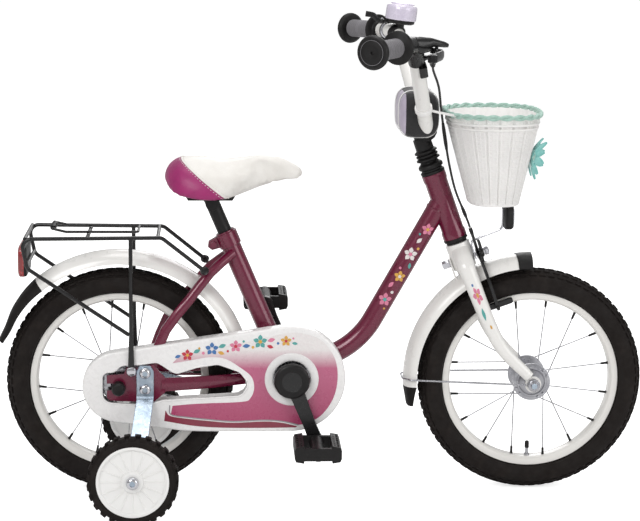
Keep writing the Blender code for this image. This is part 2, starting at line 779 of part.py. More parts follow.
def crank(side, name):
    """A tapered arm with a round cap over the spindle and the pedal's pin at its tip."""
    tip = crank_tip(side)
    along = (tip - BOTTOM_BRACKET).normalized()
    across = LEFT.cross(along)
    out = LEFT * side
    start = BOTTOM_BRACKET + out * CRANK_INSIDE
    sections = []
    path = []
    for share, half in ((0.0, 0.012), (0.75, 0.0095), (1.0, 0.0105)):
        path.append(start + out * (CRANK_THICK / 2) + along * (CRANK_LENGTH * share))
        thick = CRANK_THICK / 2
        sections.append([(thick, half), (-thick, half), (-thick, -half), (thick, -half)])
    item = sweep(path, sections, LEFT)
    eye = tip + out * CRANK_INSIDE
    join(item, turned([(0.0118, 0), (0.0118, CRANK_THICK)], eye, out, 10, along))
    cap = [(0.0215, 0.0), (CRANK_CAP_RADIUS, 0.005), (CRANK_CAP_RADIUS, 0.0125), (0.0235, 0.0150), (0.012, 0.0158)]
    join(item, turned(cap, start, out, 14, along))
    pin = tip + out * (CRANK_INSIDE + CRANK_THICK - 0.001)
    length = PEDAL_WIDTH - 0.003
    join(item, turned([(0.0075, 0), (0.0075, 0.003), (PEDAL_PIN_RADIUS, 0.0032), (PEDAL_PIN_RADIUS, length)], pin, out,
                      6, WHEEL_ACROSS))
    return named(item, name, BLACK, BOTTOM_BRACKET)


def pedal(side, name):
    """Pedal body: a barrel, two ribbed tread bars and end plates, round a bore for the pin."""
    tip = crank_tip(side)
    out = LEFT * side
    start = tip + out * (CRANK_INSIDE + CRANK_THICK + 0.002 + RUN)
    item = turned([(0.0105, 0), (0.0105, PEDAL_WIDTH)], start, out, PEDAL_SIDES, WHEEL_ACROSS)
    for way in (-1, 1):
        outline = [(0.021, -0.0130), (0.033, -0.0110), (0.035, -0.006), (0.035, 0.006), (0.033, 0.0110),
                   (0.021, 0.0130)]
        rings = []
        for y in (0.0, PEDAL_WIDTH):
            rings.append([start + out * y + Vector((way * x, 0, z)) for x, z in outline])
        join(item, loft(rings))
    for y in (0.0, PEDAL_WIDTH - 0.007):
        outline = [(-0.030, -0.0095), (0.030, -0.0095), (0.030, 0.0095), (-0.030, 0.0095)]
        rings = []
        for step in (0, 0.007):
            rings.append([start + out * (y + step) + Vector((x, 0, z)) for x, z in outline])
        join(item, loft(rings))
    # the bore's flats, and not only its corners, clear the pin
    bore = (PEDAL_PIN_RADIUS + RUN) / math.cos(math.pi / PEDAL_SIDES)
    cut(item, rod(start - out * 0.002, start + out * (PEDAL_WIDTH - 0.002), bore, PEDAL_SIDES, WHEEL_ACROSS))
    return named(item, name, BLACK, tip)


# Chain case

def case_outline():
    """Two lobes joined by a straight top, with a lower edge that sags to the front lobe's depth."""
    points = []
    for step in range(12):
        turn = math.radians(-88 + 190 * step / 11)
        points.append((BB_X + CASE_FRONT_RADIUS * math.cos(turn), BB_Z + CASE_FRONT_RADIUS * math.sin(turn)))
    for step in range(9):
        turn = math.radians(98 + 164 * step / 8)
        points.append((CASE_REAR_RADIUS * math.cos(turn), TYRE_RADIUS + CASE_REAR_RADIUS * math.sin(turn)))
    points += [(0.060, 0.1110), (0.115, 0.1045)]
    return points


def window_outline():
    """The long opening that shows the dropout, the chain stay and the wheel behind."""
    corners = [(-0.024, 0.151), (0.040, 0.147), (0.066, 0.154), (0.185, 0.161), (0.197, 0.178), (0.183, 0.197),
               (0.150, 0.209), (0.118, 0.204), (0.086, 0.194), (0.058, 0.2125), (0.032, 0.2085),
               (0.004, 0.2075), (-0.006, 0.197), (-0.024, 0.196)]
    return soft_outline(corners, 0.012, 1)


def stay_cutters(extra):
    return [stay_body(-1, extra), seat_stay_body(-1, extra), dropout_body(-1, extra)]


def chain_case():
    """The outer shell: a face and a rim, with a raised lip round its window and a round hole for the crank."""
    outline = case_outline()
    item = plate(outline, -CASE_BACK - CASE_WALL - GAP, -CASE_FACE)
    cut(item, plate(offset(outline, -CASE_WALL), -CASE_BACK, -CASE_FACE + CASE_WALL))
    window = window_outline()
    join(item, plate(offset(window, CASE_WALL), -CASE_FACE + CASE_LIP, -CASE_FACE - 0.0010))
    cut(item, plate(window, -CASE_BACK + 0.01, -CASE_FACE - 0.01))
    cut(item, rod(BOTTOM_BRACKET - LEFT * 0.05, BOTTOM_BRACKET - LEFT * 0.07, 0.0285, 20, WHEEL_ACROSS))
    cut(item, *stay_cutters(0.0008))
    return named(item, "chain_case", WHITE)


def chain_case_back():
    """The inner cover, with openings for the bottom bracket, the hub and the stay."""
    outline = case_outline()
    item = plate(offset(outline, -GAP), -CASE_BACK, -CASE_BACK - CASE_WALL)
    cut(item, plate(offset(window_outline(), GAP), -CASE_BACK + 0.01, -CASE_BACK - 0.01))
    hole = BB_SHELL_RADIUS + 0.0010
    cut(item, rod(BOTTOM_BRACKET - LEFT * 0.01, BOTTOM_BRACKET - LEFT * 0.05, hole, 16, WHEEL_ACROSS))
    cut(item, rod(REAR_AXLE - LEFT * 0.01, REAR_AXLE - LEFT * 0.05, 0.034, 20, WHEEL_ACROSS))
    cut(item, *stay_cutters(0.0008))
    return named(item, "chain_case_back", WHITE)


# Training wheels

def training_bracket(side, name):
    """A strap bolted to the dropout that bends out and down to the training wheel's bolt."""
    top = DROPOUT_INSIDE + DROPOUT_THICK + GAP + BRACKET_THICK / 2
    foot = TRAINER_PLACE - TRAINER_WIDTH / 2 - BRACKET_THICK / 2 - 0.003
    corners = [at(BRACKET_X, side * top, 0.2080), at(BRACKET_X, side * top, 0.156),
               at(TRAINER_X + 0.005, side * foot, 0.096), at(TRAINER_X, side * foot, 0.052)]
    path = rounded(corners, 0.012, 2)
    thick, half = BRACKET_THICK / 2, BRACKET_WIDTH / 2
    sections = []
    for index in range(len(path)):
        width = half * (0.62 if index == 0 else 1)
        sections.append([(width, thick), (-width, thick), (-width, -thick), (width, -thick)])
    path.insert(1, path[0] + Vector((0, 0, -0.009)))
    sections.insert(1, [(half, thick), (-half, thick), (-half, -thick), (half, -thick)])
    item = sweep(path, sections, Vector((1, 0, 0)))
    out = LEFT * side
    for z in (0.1965, 0.1710):
        start = at(BRACKET_X, side * (top + BRACKET_THICK / 2 - 0.0005), z)
        join(item, turned([(0.0075, 0), (0.0075, 0.004), (0.0055, 0.0055)], start, out, HEX))
    wheel = at(TRAINER_X, 0, TRAINER_RADIUS)
    bolt = [(TRAINER_BOLT_RADIUS, 0), (TRAINER_BOLT_RADIUS, TRAINER_WIDTH + 0.0052), (0.0085, TRAINER_WIDTH + 0.0054),
            (0.0085, TRAINER_WIDTH + 0.0095), (0.006, TRAINER_WIDTH + 0.0115)]
    join(item, turned(bolt, wheel + out * foot, out, HEX, WHEEL_ACROSS))
    return named(item, name, ZINC)


def trainer_centre(side):
    return at(TRAINER_X, side * TRAINER_PLACE, TRAINER_RADIUS)


def training_tyre(side, name):
    """A tyre with square lugs all round its tread, seated on the disc's facets."""
    centre = trainer_centre(side)
    half = TRAINER_WIDTH / 2
    pitch = 2 * math.pi / TRAINER_LUGS
    base = TRAINER_RADIUS - TRAINER_LUG_DEPTH
    points = 4 * TRAINER_LUGS
    rings = []
    for index in range(points):
        lug = math.pi / 2 + (index // 4) * pitch
        turn = lug + (-0.35, -0.15, 0.15, 0.35)[index % 4] * pitch
        seat_share = (-0.5, -0.25, 0.0, 0.25)[index % 4]
        seat_turn = lug + seat_share * pitch
        r = TRAINER_RADIUS / math.cos(0.15 * pitch) if index % 4 in (1, 2) else base
        inner = (TRAINER_DISC_RADIUS * math.cos(pitch / 2) + GAP) / math.cos(seat_share * pitch)
        profile = [(inner, -half, seat_turn), (r, -half + 0.003, turn), (r, half - 0.003, turn),
                   (inner, half, seat_turn)]
        rings.append([centre + Vector((a * math.cos(b), y, -a * math.sin(b))) for a, y, b in profile])
    return named(loft(rings, loop=True), name, RUBBER, centre)


def training_disc(side, name):
    """A dished disc with a hub boss, turning on the bracket's bolt."""
    centre = trainer_centre(side)
    half = TRAINER_WIDTH / 2
    r = TRAINER_DISC_RADIUS
    bore = TRAINER_BOLT_RADIUS + RUN
    profile = [(bore, -half), (0.012, -half), (0.014, -half + 0.006), (r - 0.006, -half + 0.006), (r - 0.004, -half),
               (r, -half), (r, half), (0.016, half - 0.0025), (bore, half - 0.0005)]
    return named(lathe(profile, centre, LEFT * side, TRAINER_LUGS, WHEEL_ACROSS), name, WHITE, centre)


# Fenders

def fender_section(radius, extra=0.0):
    """An arched section of (radius, height) pairs: outer skin one way and inner skin back."""
    outer = []
    inner = []
    for step in range(5):
        turn = math.radians((-90, -48, 0, 48, 90)[step])
        half, depth = FENDER_HALF_WIDTH, FENDER_DEPTH
        outer.append((radius - depth + (depth + extra) * math.cos(turn), (half + extra) * math.sin(turn)))
        thin = FENDER_THICK
        inner.append((radius - depth + (depth - thin) * math.cos(turn), (half - thin) * math.sin(turn)))
    return outer + list(reversed(inner))


def arc_body(section, centre, start, end, steps):
    """Carries a (radius, height) section round a wheel's axle, from one angle to another."""
    rings = []
    for step in range(steps + 1):
        turn = math.radians(start + (end - start) * step / steps)
        ahead = Vector((math.cos(turn), 0, math.sin(turn)))
        rings.append([centre + ahead * r + LEFT * y for r, y in section])
    return loft(rings)


def rear_fender():
    """Fender with the bridge on its back that holds it between the two seat stays."""
    item = arc_body(fender_section(FENDER_RADIUS_REAR), REAR_AXLE, REAR_FENDER_START, REAR_FENDER_END, 14)
    turn = math.radians(BRIDGE_TURN)
    spot = REAR_AXLE + Vector((math.cos(turn), 0, math.sin(turn))) * (FENDER_RADIUS_REAR + BRIDGE_RADIUS * 0.7)
    half = LEFT * BRIDGE_HALF
    join(item, rod(spot - half, spot + half, BRIDGE_RADIUS, 8, WHEEL_ACROSS))
    cut(item, seat_stay_body(-1, GAP), seat_stay_body(1, GAP))
    return named(item, "rear_fender", WHITE)


def flap(name, centre, radius, turns):
    """A rubber flap that hangs on from the fender's end and spreads as it falls."""
    rings = []
    flat = radius - FENDER_DEPTH * 0.35
    for index, (turn, lift, wide) in enumerate(turns):
        bend = math.radians(turn)
        ahead = Vector((math.cos(bend), 0, math.sin(bend)))
        flattening = 0.55 * index / (len(turns) - 1)
        section = [(r + (flat - r) * flattening + lift, y * wide) for r, y in fender_section(radius)]
        rings.append([centre + ahead * r + LEFT * y for r, y in section])
    return named(loft(rings), name, RUBBER)


def rear_mud_flap():
    start = REAR_FENDER_END + 0.12
    turns = [(start, 0, 1), (start + 8, -0.001, 1.0), (start + 17, -0.003, 1.02), (start + 25, -0.006, 1.04),
             (start + 31.5, -0.004, 1.06)]
    return flap("rear_mud_flap", REAR_AXLE, FENDER_RADIUS_REAR, turns)


def front_mud_flap():
    start = FRONT_FENDER_END + 0.12
    turns = [(start, 0, 1), (start + 4, 0.0005, 1.0), (start + 9, 0.002, 1.0)]
    return flap("front_mud_flap", FRONT_AXLE, FENDER_RADIUS_FRONT, turns)


def front_fender():
    """Fender with a thicker end tip, and a bracket up to the bolt behind the fork crown."""
    item = arc_body(fender_section(FENDER_RADIUS_FRONT), FRONT_AXLE, FRONT_FENDER_START, FRONT_FENDER_END, 11)
    tip = arc_body(fender_section(FENDER_RADIUS_FRONT, 0.0015), FRONT_AXLE, FRONT_FENDER_START - 1.5,
                   FRONT_FENDER_START + 5.5, 2)
    join(item, tip)
    back = 0.0182 + GAP + 0.0012
    reach = AXLE_TO_HEAD - BRAKE_DROP
    drop = reach - math.sqrt((FENDER_RADIUS_FRONT - 0.0009) ** 2 - (FORK_RAKE + back) ** 2)
    bolt = brake_bolt_line(-back)
    strap = [(0.0012, 0.009), (-0.0012, 0.009), (-0.0012, -0.009), (0.0012, -0.009)]
    join(item, sweep([bolt - STEER_UP * (drop + 0.0012), bolt + STEER_UP * 0.008], strap, STEER_FORWARD))
    cut(item, rod(brake_bolt_line(-0.10), brake_bolt_line(0.05), 0.0036, 8))
    return named(item, "front_fender", WHITE)


def front_fender_stay():
    """One wire from each end of the front axle round the back of the fender."""
    turn = math.radians(FRONT_FENDER_END - 4)
    back = FRONT_AXLE + Vector((math.cos(turn), 0, math.sin(turn))) * (FENDER_RADIUS_FRONT + 0.0022)
    out = FORK_AXLE_OUT + GAP + 0.0020
    near = FRONT_AXLE + Vector((-0.0135, 0, 0))
    corners = [near - LEFT * out, back + Vector((0.012, -FENDER_HALF_WIDTH - 0.0042, 0)),
               back + Vector((0.0, -0.016, 0)), back + Vector((0.0, 0.016, 0)),
               back + Vector((0.012, FENDER_HALF_WIDTH + 0.0042, 0)), near + LEFT * out]
    item = tube(rounded(corners, 0.006, 1), WIRE_RADIUS, 6, Vector((0, 0, 1)))
    for side in (-1, 1):
        eye = [(AXLE_RADIUS + GAP, 0), (0.0095, 0), (0.0095, 0.0032), (AXLE_RADIUS + GAP, 0.0032)]
        start = FRONT_AXLE + LEFT * side * (FORK_AXLE_OUT + GAP)
        ring = lathe(eye, start, LEFT * side, HEX, WHEEL_ACROSS)
        link = rod(FRONT_AXLE + LEFT * side * out + Vector((-0.007, 0, 0)),
                   near + LEFT * side * out + Vector((-0.004, 0, 0.0)), 0.0014, 6)
        join(item, ring, link)
    return named(item, "front_fender_stay", STEEL)


# Carrier

def rack_side(side):
    """One bent rod: from the seat stay along the top, down at the back and forwards to the upright."""
    corners = [at(0.130, side * 0.0515, 0.352), at(0.066, side * 0.0545, RACK_TOP - RACK_ROD),
               at(-0.143, side * 0.0665, RACK_TOP - RACK_ROD), at(-0.134, side * 0.0665, 0.3585),
               at(0.0165, side * 0.0625, 0.2560)]
    return tube(rounded(corners, 0.013, 2), RACK_ROD, 6, LEFT)


def rear_rack():
    """Carrier of bent rod: two sides, uprights to the dropouts, cross bars and a plate for the lamp."""
    item = rack_side(-1)
    join(item, rack_side(1))
    mid = RACK_TOP - RACK_ROD
    for x in (-0.137, -0.045, 0.060):
        half = 0.0665 + (0.0545 - 0.0665) * (x + 0.143) / 0.209
        join(item, rod(at(x, -half, mid), at(x, half, mid), RACK_ROD * 0.95, 6))
    join(item, rod(at(LAMP_BAR_X, -0.066, LAMP_Z), at(LAMP_BAR_X, 0.066, LAMP_Z), RACK_ROD * 0.9, 6, WHEEL_ACROSS))
    plate_face = DROPOUT_INSIDE + DROPOUT_THICK + GAP
    leg_y = CASE_FACE + 0.0010 + GAP * 2 + RACK_ROD
    for side in (-1, 1):
        corners = [at(RACK_LEG_X, side * 0.0575, mid), at(RACK_LEG_X, side * leg_y, 0.262),
                   at(RACK_LEG_X, side * leg_y, 0.1995)]
        join(item, tube(corners, RACK_ROD, 6, Vector((1, 0, 0))))
        start = at(RACK_LEG_X, side * plate_face, 0.1995)
        depth = leg_y - plate_face
        join(item, turned([(0.0050, 0), (0.0050, depth - 0.0020), (0.0070, depth - 0.0015), (0.0062, depth + 0.0035)],
                          start, LEFT * side, 6))
        tab = at(0.130, side * 0.0515, 0.352)
        inner = at(0.1275, side * 0.0455, 0.3475)
        join(item, turned([(0.0055, -0.0035), (0.0055, 0.0035)], tab, (inner - tab).normalized(), 6))
    return named(item, "rear_rack", BLACK)


def rack_clamp():
    """A sprung wire flap that lies on the carrier's cross bars, with a coil at its hinge."""
    hinge = at(*CLAMP_HINGE)
    lie = RACK_TOP + GAP + CLAMP_WIRE
    corners = [hinge + Vector((0, -0.016, 0)), hinge + Vector((0.0, -0.032, 0)), at(-0.078, -0.032, lie),
               at(0.030, -0.032, lie), at(0.030, 0.032, lie), at(-0.078, 0.032, lie), hinge + Vector((0.0, 0.032, 0)),
               hinge + Vector((0, 0.016, 0))]
    item = tube(rounded(corners, 0.006, 1), CLAMP_WIRE, 6, Vector((0, 0, 1)))
    join(item, rod(hinge - LEFT * 0.022, hinge + LEFT * 0.022, 0.0048, 10))
    return named(item, "rack_clamp", BLACK, hinge)


def rear_lamp():
    """A housing against the carrier's rear cross bar, with a raised lens in a narrow rim."""
    rings = []
    for depth, grow in ((0.0, 0.92), (0.0015, 1.0), (0.0085, 1.0), (0.0088, 0.90), (0.0122, 0.86), (0.0128, 0.80)):
        ring = []
        for step in range(12):
            turn = math.radians(30 * (step + 0.5))
            c, s = math.cos(turn), math.sin(turn)
            y = math.copysign(abs(c) ** 0.35, c) * LAMP_HALF_WIDTH * (1 - (1 - grow) * 0.55)
            z = math.copysign(abs(s) ** 0.35, s) * LAMP_HALF_HEIGHT * grow
            ring.append(at(LAMP_BAR_X - RACK_ROD * 0.9 - GAP - depth, y, LAMP_Z + z))
        rings.append(ring)
    return named(loft(rings), "rear_lamp", RED)


# Fork and front axle

def brake_bolt_line(distance):
    """A point on the brake bolt's axis, measured forwards from the steering axis."""
    return head(-BRAKE_DROP) + STEER_FORWARD * distance


def blade_path(side):
    top = head(-CUP_DEPTH - 0.012)
    places = [top + LEFT * side * 0.010, head(-0.036) + LEFT * side * 0.0315,
              head(-0.062) + LEFT * side * FORK_SPREAD,
              head(-0.168) + STEER_FORWARD * 0.0075 + LEFT * side * (FORK_SPREAD + 0.003),
              FRONT_AXLE + Vector((-0.006, side * (FORK_TAB_IN + FORK_TAB_THICK / 2 - 0.0005), 0.011))]
    return smooth(places, 2)


def fork():
    """Steerer, crown and two blades that curve forwards to the axle tabs."""
    item = turned([(0.0178, 0.042), (0.0182, 0.022), (0.0187, 0.0)], head(-CUP_DEPTH - GAP * 2), -STEER_UP, 14)
    for side in (-1, 1):
        path = blade_path(side)
        sections = []
        for index in range(len(path)):
            share = index / (len(path) - 1)
            wide = 0.0100 - 0.0042 * max(0, share - 0.4) / 0.6
            sections.append(circle(wide, 8, 0.0138 - 0.0055 * max(0, share - 0.35) / 0.65))
        join(item, sweep(path, sections, LEFT))
        inside, outside = side * FORK_TAB_IN, side * FORK_AXLE_OUT
        centre_x, centre_z = WHEELBASE, TYRE_RADIUS
        tab = []
        for step in range(10):
            turn = math.radians(36 * step)
            tab.append((centre_x + FORK_TAB_RADIUS * math.cos(turn), centre_z + FORK_TAB_RADIUS * math.sin(turn)))
        join(item, plate(tab, inside, outside))
        shoulder = centre_z + FORK_TAB_RADIUS + GAP
        room = [(centre_x - 0.02, centre_z - 0.02), (centre_x + 0.02, centre_z - 0.02), (centre_x + 0.02, shoulder),
                (centre_x - 0.02, shoulder)]
        cut(item, plate(room, inside - side * 0.012, inside), plate(room, outside, outside + side * 0.012))
        cut(item, rod(FRONT_AXLE + LEFT * (inside - side * 0.01), FRONT_AXLE + LEFT * (outside + side * 0.01),
                      AXLE_RADIUS + GAP * 2, 8, WHEEL_ACROSS))
    top = HEAD_TUBE_LENGTH + CUP_DEPTH + 0.001
    join(item, rod(head(-CUP_DEPTH - 0.01), head(top), STEERER_RADIUS, 14))
    cut(item, rod(head(0.015), head(top + 0.01), QUILL_RADIUS + GAP * 2, 14))
    cut(item, rod(brake_bolt_line(-0.06), brake_bolt_line(0.06), 0.0034, 8))
    return named(item, "fork", WHITE)


def front_axle():
    inside = FORK_TAB_IN - GAP
    out = FORK_AXLE_OUT + GAP * 2 + 0.0032
    half = [(AXLE_RADIUS, inside - 0.0024), (0.0082, inside), (AXLE_RADIUS, inside),
            (AXLE_RADIUS, out), (0.0092, out), (0.0092, out + 0.006), (AXLE_RADIUS, out + 0.006),
            (AXLE_RADIUS, out + 0.010)]
    profile = [(radius, -height) for radius, height in reversed(half)] + half
    return named(turned(profile, FRONT_AXLE, LEFT, HEX, WHEEL_ACROSS), "front_axle", ZINC)


# Handlebar, stem and what they carry

def stem():
    """Locknut, quill and covered stem up to the clamp round the bar."""
    top = HEAD_TUBE_LENGTH + CUP_DEPTH + 0.001 + GAP
    clamp = at(BAR_CLAMP[0], 0, BAR_CLAMP[2])
    height = (clamp - head(0)).dot(STEER_UP)
    item = rod(head(0.035), head(height - 0.002), QUILL_RADIUS, 14)
    nut = [(0.0178, top), (0.0178, top + 0.006), (0.0150, top + 0.008), (STEM_COVER_RADIUS, top + 0.011),
           (STEM_COVER_RADIUS, height - 0.012)]
    join(item, turned(nut, head(0), STEER_UP, 12))
    join(item, rod(clamp - LEFT * 0.018, clamp + LEFT * 0.018, BAR_RADIUS + 0.0065, 14, WHEEL_ACROSS))
    cut(item, bar_room())
    return named(item, "stem", BLACK)


def bar_path():
    right = [at(x, -y, z) for x, y, z in (BAR_END, BAR_BEND, BAR_CLAMP)]
    left = [at(x, y, z) for x, y, z in (BAR_CLAMP, BAR_BEND, BAR_END)]
    corners = right + left
    path = [corners[0]]
    radii = (BAR_END_RADIUS, BAR_LOW_RADIUS, BAR_LOW_RADIUS, BAR_END_RADIUS)
    for index, radius in enumerate(radii):
        path += rounded(corners[index:index + 3], radius, 3)[1:-1]
    path.append(corners[-1])
    return path


def handlebar():
    return named(tube(bar_path(), BAR_RADIUS, BAR_SIDES, WHEEL_ACROSS), "handlebar", WHITE)


def bar_room():
    """The space that clamps round the bar leave for it."""
    return tube(bar_path(), BAR_RADIUS + GAP * 1.2, BAR_SIDES, WHEEL_ACROSS)


def grip_axis(side):
    """A place and direction for what sits on the bar's straight end."""
    end = at(BAR_END[0], side * BAR_END[1], BAR_END[2])
    bend = at(BAR_BEND[0], side * BAR_BEND[1], BAR_BEND[2])
    return end, (bend - end).normalized()


def grip(side, name):
    """A ribbed grip with a wide round end and an inner guard."""
    end, inward = grip_axis(side)
    r, wide = GRIP_RADIUS, GRIP_FLANGE_RADIUS
    bore = (BAR_RADIUS + GAP) / math.cos(math.pi / 12)
    outer = [(0.015, -0.0095), (wide - 0.003, -0.0085), (wide, -0.005), (wide - 0.002, 0.0010), (r + 0.002, 0.002)]
    start, stop = 0.006, GRIP_LENGTH - 0.012
    for rib in range(GRIP_RIBS):
        low = start + (stop - start) * rib / GRIP_RIBS
        high = start + (stop - start) * (rib + 0.6) / GRIP_RIBS
        outer += [(r, low), (r - 0.0012, high)]
    outer += [(r, stop), (wide, stop + 0.003), (wide, stop + 0.006), (r, stop + 0.009)]
    item = turned(outer, end, inward, 12, WHEEL_ACROSS)
    cut(item, rod(end - inward * GAP, end + inward * (GRIP_LENGTH + 0.02), bore, 12, WHEEL_ACROSS))
    return named(item, name, RUBBER)


def riser_point(side, share):
    """A point between the bar's clamp corner (0) and its upper bend (1)."""
    low = at(BAR_CLAMP[0], side * BAR_CLAMP[1], BAR_CLAMP[2])
    high = at(BAR_BEND[0], side * BAR_BEND[1], BAR_BEND[2])
    return low.lerp(high, share), (high - low).normalized()


def cable_barrel():
    """Where the cable's barrel leaves the lever's housing."""
    return at(*LEVER_PIVOT) + Vector((-0.004, 0.012, -0.0125))


def brake_lever_housing():
    """A clamp round the riser with an arm forwards to the lever's pivot and a barrel for the cable."""
    spot, along = riser_point(-1, 0.76)
    item = turned([(BAR_RADIUS + 0.0045, -0.008), (BAR_RADIUS + 0.0045, 0.008)], spot, along, 12, WHEEL_ACROSS)
    pivot = at(*LEVER_PIVOT)
    below = pivot - LEVER_AXIS * 0.0102
    arm = [(0.0065, 0.0036), (-0.0065, 0.0036), (-0.0065, -0.0036), (0.0065, -0.0036)]
    start = spot + Vector((0.002, 0, 0))
    middle = spot + Vector((0.019, -0.004, 0.004))
    join(item, sweep([start, middle, below + Vector((0.004, -0.001, 0))], arm, LEFT))
    join(item, turned([(0.0085, -0.0085), (0.0085, -0.0042 - RUN)], pivot, LEVER_AXIS, 10))
    join(item, rod(pivot - LEVER_AXIS * 0.006, pivot + LEVER_AXIS * 0.0062, LEVER_PIN_RADIUS, 8))
    cut(item, bar_room())
    barrel = [(0.0045, 0), (0.0045, 0.012), (0.0036, CABLE_BARREL_LENGTH)]
    join(item, turned(barrel, cable_barrel(), CABLE_START_WAY, 8))
    return named(item, "brake_lever_housing", BLACK)


def brake_lever():
    """A curved blade that reaches out in front of the grip."""
    pivot = at(*LEVER_PIVOT)
    places = [pivot, at(0.4690, -0.1550, 0.6900), at(0.4680, -0.1850, 0.6890), at(0.4600, -0.2080, 0.6880),
              at(0.4500, -0.2280, 0.6870)]
    path = smooth(places, 2)
    sections = []
    for index in range(len(path)):
        share = index / (len(path) - 1)
        wide = 0.0052 - 0.0022 * min(1, share * 2)
        high = 0.0032 + 0.0040 * min(1, share * 2)
        sections.append(circle(high, 8, wide))
    item = sweep(path, sections, Vector((0, 0, 1)))
    join(item, turned([(0.0085, -0.0042), (0.0085, 0.0042)], pivot, LEVER_AXIS, 10))
    tip = turned([(0.003, -0.007), (0.0072, -0.005), (0.0072, 0.005), (0.003, 0.007)], places[-1], Vector((0, 0, 1)), 8)
    join(item, tip)
    cut(item, rod(pivot - LEVER_AXIS * 0.02, pivot + LEVER_AXIS * 0.02, LEVER_PIN_RADIUS + GAP, 8))
    return named(item, "brake_lever", BLACK, pivot)


def cord(name, path, radius):
    """A round cord along a path, as a curve with closed ends."""
    curve = bpy.data.curves.new(name, "CURVE")
    curve.dimensions = "3D"
    curve.bevel_depth = radius
    curve.bevel_resolution = 2
    curve.use_fill_caps = True
    spline = curve.splines.new("POLY")
    spline.points.add(len(path) - 1)
    for point, place in zip(spline.points, path):
        point.co = (*place, 1)
    curve.materials.append(finish(name, BLACK))
    item = bpy.data.objects.new(name, curve)
    bpy.context.collection.objects.link(item)
    return item


def brake_cable():
    """The outer cable, from the lever's barrel down in front of the head tube to the calliper."""
    start = cable_barrel() + CABLE_START_WAY * (CABLE_BARREL_LENGTH + GAP)
    end = calliper_spot(CALLIPER_RIGHT_PLACE, CABLE_SIDE, CABLE_RISE - GAP * 3)
    places = [start, start + CABLE_START_WAY * 0.012, at(0.4760, -0.0740, 0.6320), at(0.4830, -0.0480, 0.5960),
              at(0.4900, -0.0400, 0.5550), at(0.4975, -0.0360, 0.5150), at(0.5080, -0.0330, 0.4740),
              at(0.5225, -0.0270, 0.4400), end + STEER_UP * 0.010, end]
    return cord("brake_cable", smooth(places, 2), CABLE_RADIUS)


def bar_pad():
    """A soft cushion behind the bar's clamp, with rounded edges and a flatter face towards the rider."""
    rings = []
    for y, grow in ((-0.052, 0.60), (-0.045, 1.0), (0.045, 1.0), (0.052, 0.60)):
        ring = []
        for step in range(12):
            turn = math.radians(30 * (step + 0.5))
            wide = abs(math.cos(turn)) ** 0.6 * math.copysign(1, math.cos(turn))
            high = abs(math.sin(turn)) ** 0.6 * math.copysign(1, math.sin(turn))
            ring.append(at(PAD_X + PAD_THICK / 2 * wide * grow, y, PAD_Z + PAD_HEIGHT / 2 * high * grow))
        rings.append(ring)
    item = loft(rings)
    clamp = at(BAR_CLAMP[0], 0, BAR_CLAMP[2])
    cut(item, rod(clamp - LEFT * 0.02, clamp + LEFT * 0.02, BAR_RADIUS + 0.0070, 14, WHEEL_ACROSS))
    cut(item, bar_room())
    cut(item, rod(head(HEAD_TUBE_LENGTH), head(HEAD_TUBE_LENGTH + 0.06), STEM_COVER_RADIUS + GAP * 2, 14))
    return named(item, "bar_pad", BLACK)


# Bell

def bell_place():
    """Where the bell's ring sits, on the bend of the left bar, and the bar's direction there."""
    end = at(*BAR_END)
    bend = at(*BAR_BEND)
    clamp = at(*BAR_CLAMP)
    into = (bend - end).normalized()
    out = (clamp - bend).normalized()
    inside = (out - into).normalized()
    half = into.angle(out) / 2
    return bend + inside * BAR_END_RADIUS * (1 / math.cos(half) - 1), (into + out).normalized()


def bell_foot():
    return bell_place()[0] + Vector((0.005, -0.003, BELL_FOOT))


def bell_lever_pivot():
    return bell_foot() + Vector((-BELL_RADIUS - 0.0040, 0, 0.0035))


def bell():
    """A ring round the bar, a base plate with an ear for the lever, and a low dome with a step round its top."""
    spot, along = bell_place()
    item = turned([(BAR_RADIUS + 0.003, -0.005), (BAR_RADIUS + 0.003, 0.005)], spot, along, 12, WHEEL_ACROSS)
    foot = bell_foot()
    up = Vector((0, 0, 1))
    profile = [(0.0070, -0.006), (0.0070, 0.0), (0.0215, 0.0005), (0.0215, 0.0040), (BELL_RADIUS, 0.0045),
               (BELL_RADIUS, 0.0170), (0.0225, 0.0215), (0.0180, 0.0232), (0.0165, 0.0265)]
    join(item, turned(profile, foot, up, 14))
    pivot = bell_lever_pivot()
    ear = [(0.0040, 0.0008), (-0.0040, 0.0008), (-0.0040, -0.0008), (0.0040, -0.0008)]
    under = Vector((0, 0, -0.0021))
    join(item, sweep([pivot + under - Vector((0.0035, 0, 0)), foot + Vector((-0.015, 0, 0.0014))], ear, LEFT))
    join(item, rod(pivot + under, pivot + up * 0.0050, 0.0014, 6))
    cut(item, bar_room())
    return named(item, "bell", LILAC)


def bell_lever():
    """A thumb lever with a turned-up tip, on the pin of the bell's ear."""
    pivot = bell_lever_pivot()
    up = Vector((0, 0, 1))
    item = turned([(0.0032, -0.0007), (0.0032, 0.0035)], pivot, up, 8)
    blade = [(0.0035, 0.0010), (-0.0035, 0.0010), (-0.0035, -0.0010), (0.0035, -0.0010)]
    places = [pivot + Vector((0.001, 0, 0.0015)), pivot + Vector((-0.008, 0.001, 0.0035)),
              pivot + Vector((-0.015, 0.001, 0.0090)), pivot + Vector((-0.023, 0.000, 0.0100))]
    join(item, sweep(places, blade, LEFT))
    cut(item, rod(pivot - up * 0.01, pivot + up * 0.02, 0.0014 + GAP, 6))
    return named(item, "bell_lever", BLACK, pivot)


# Basket

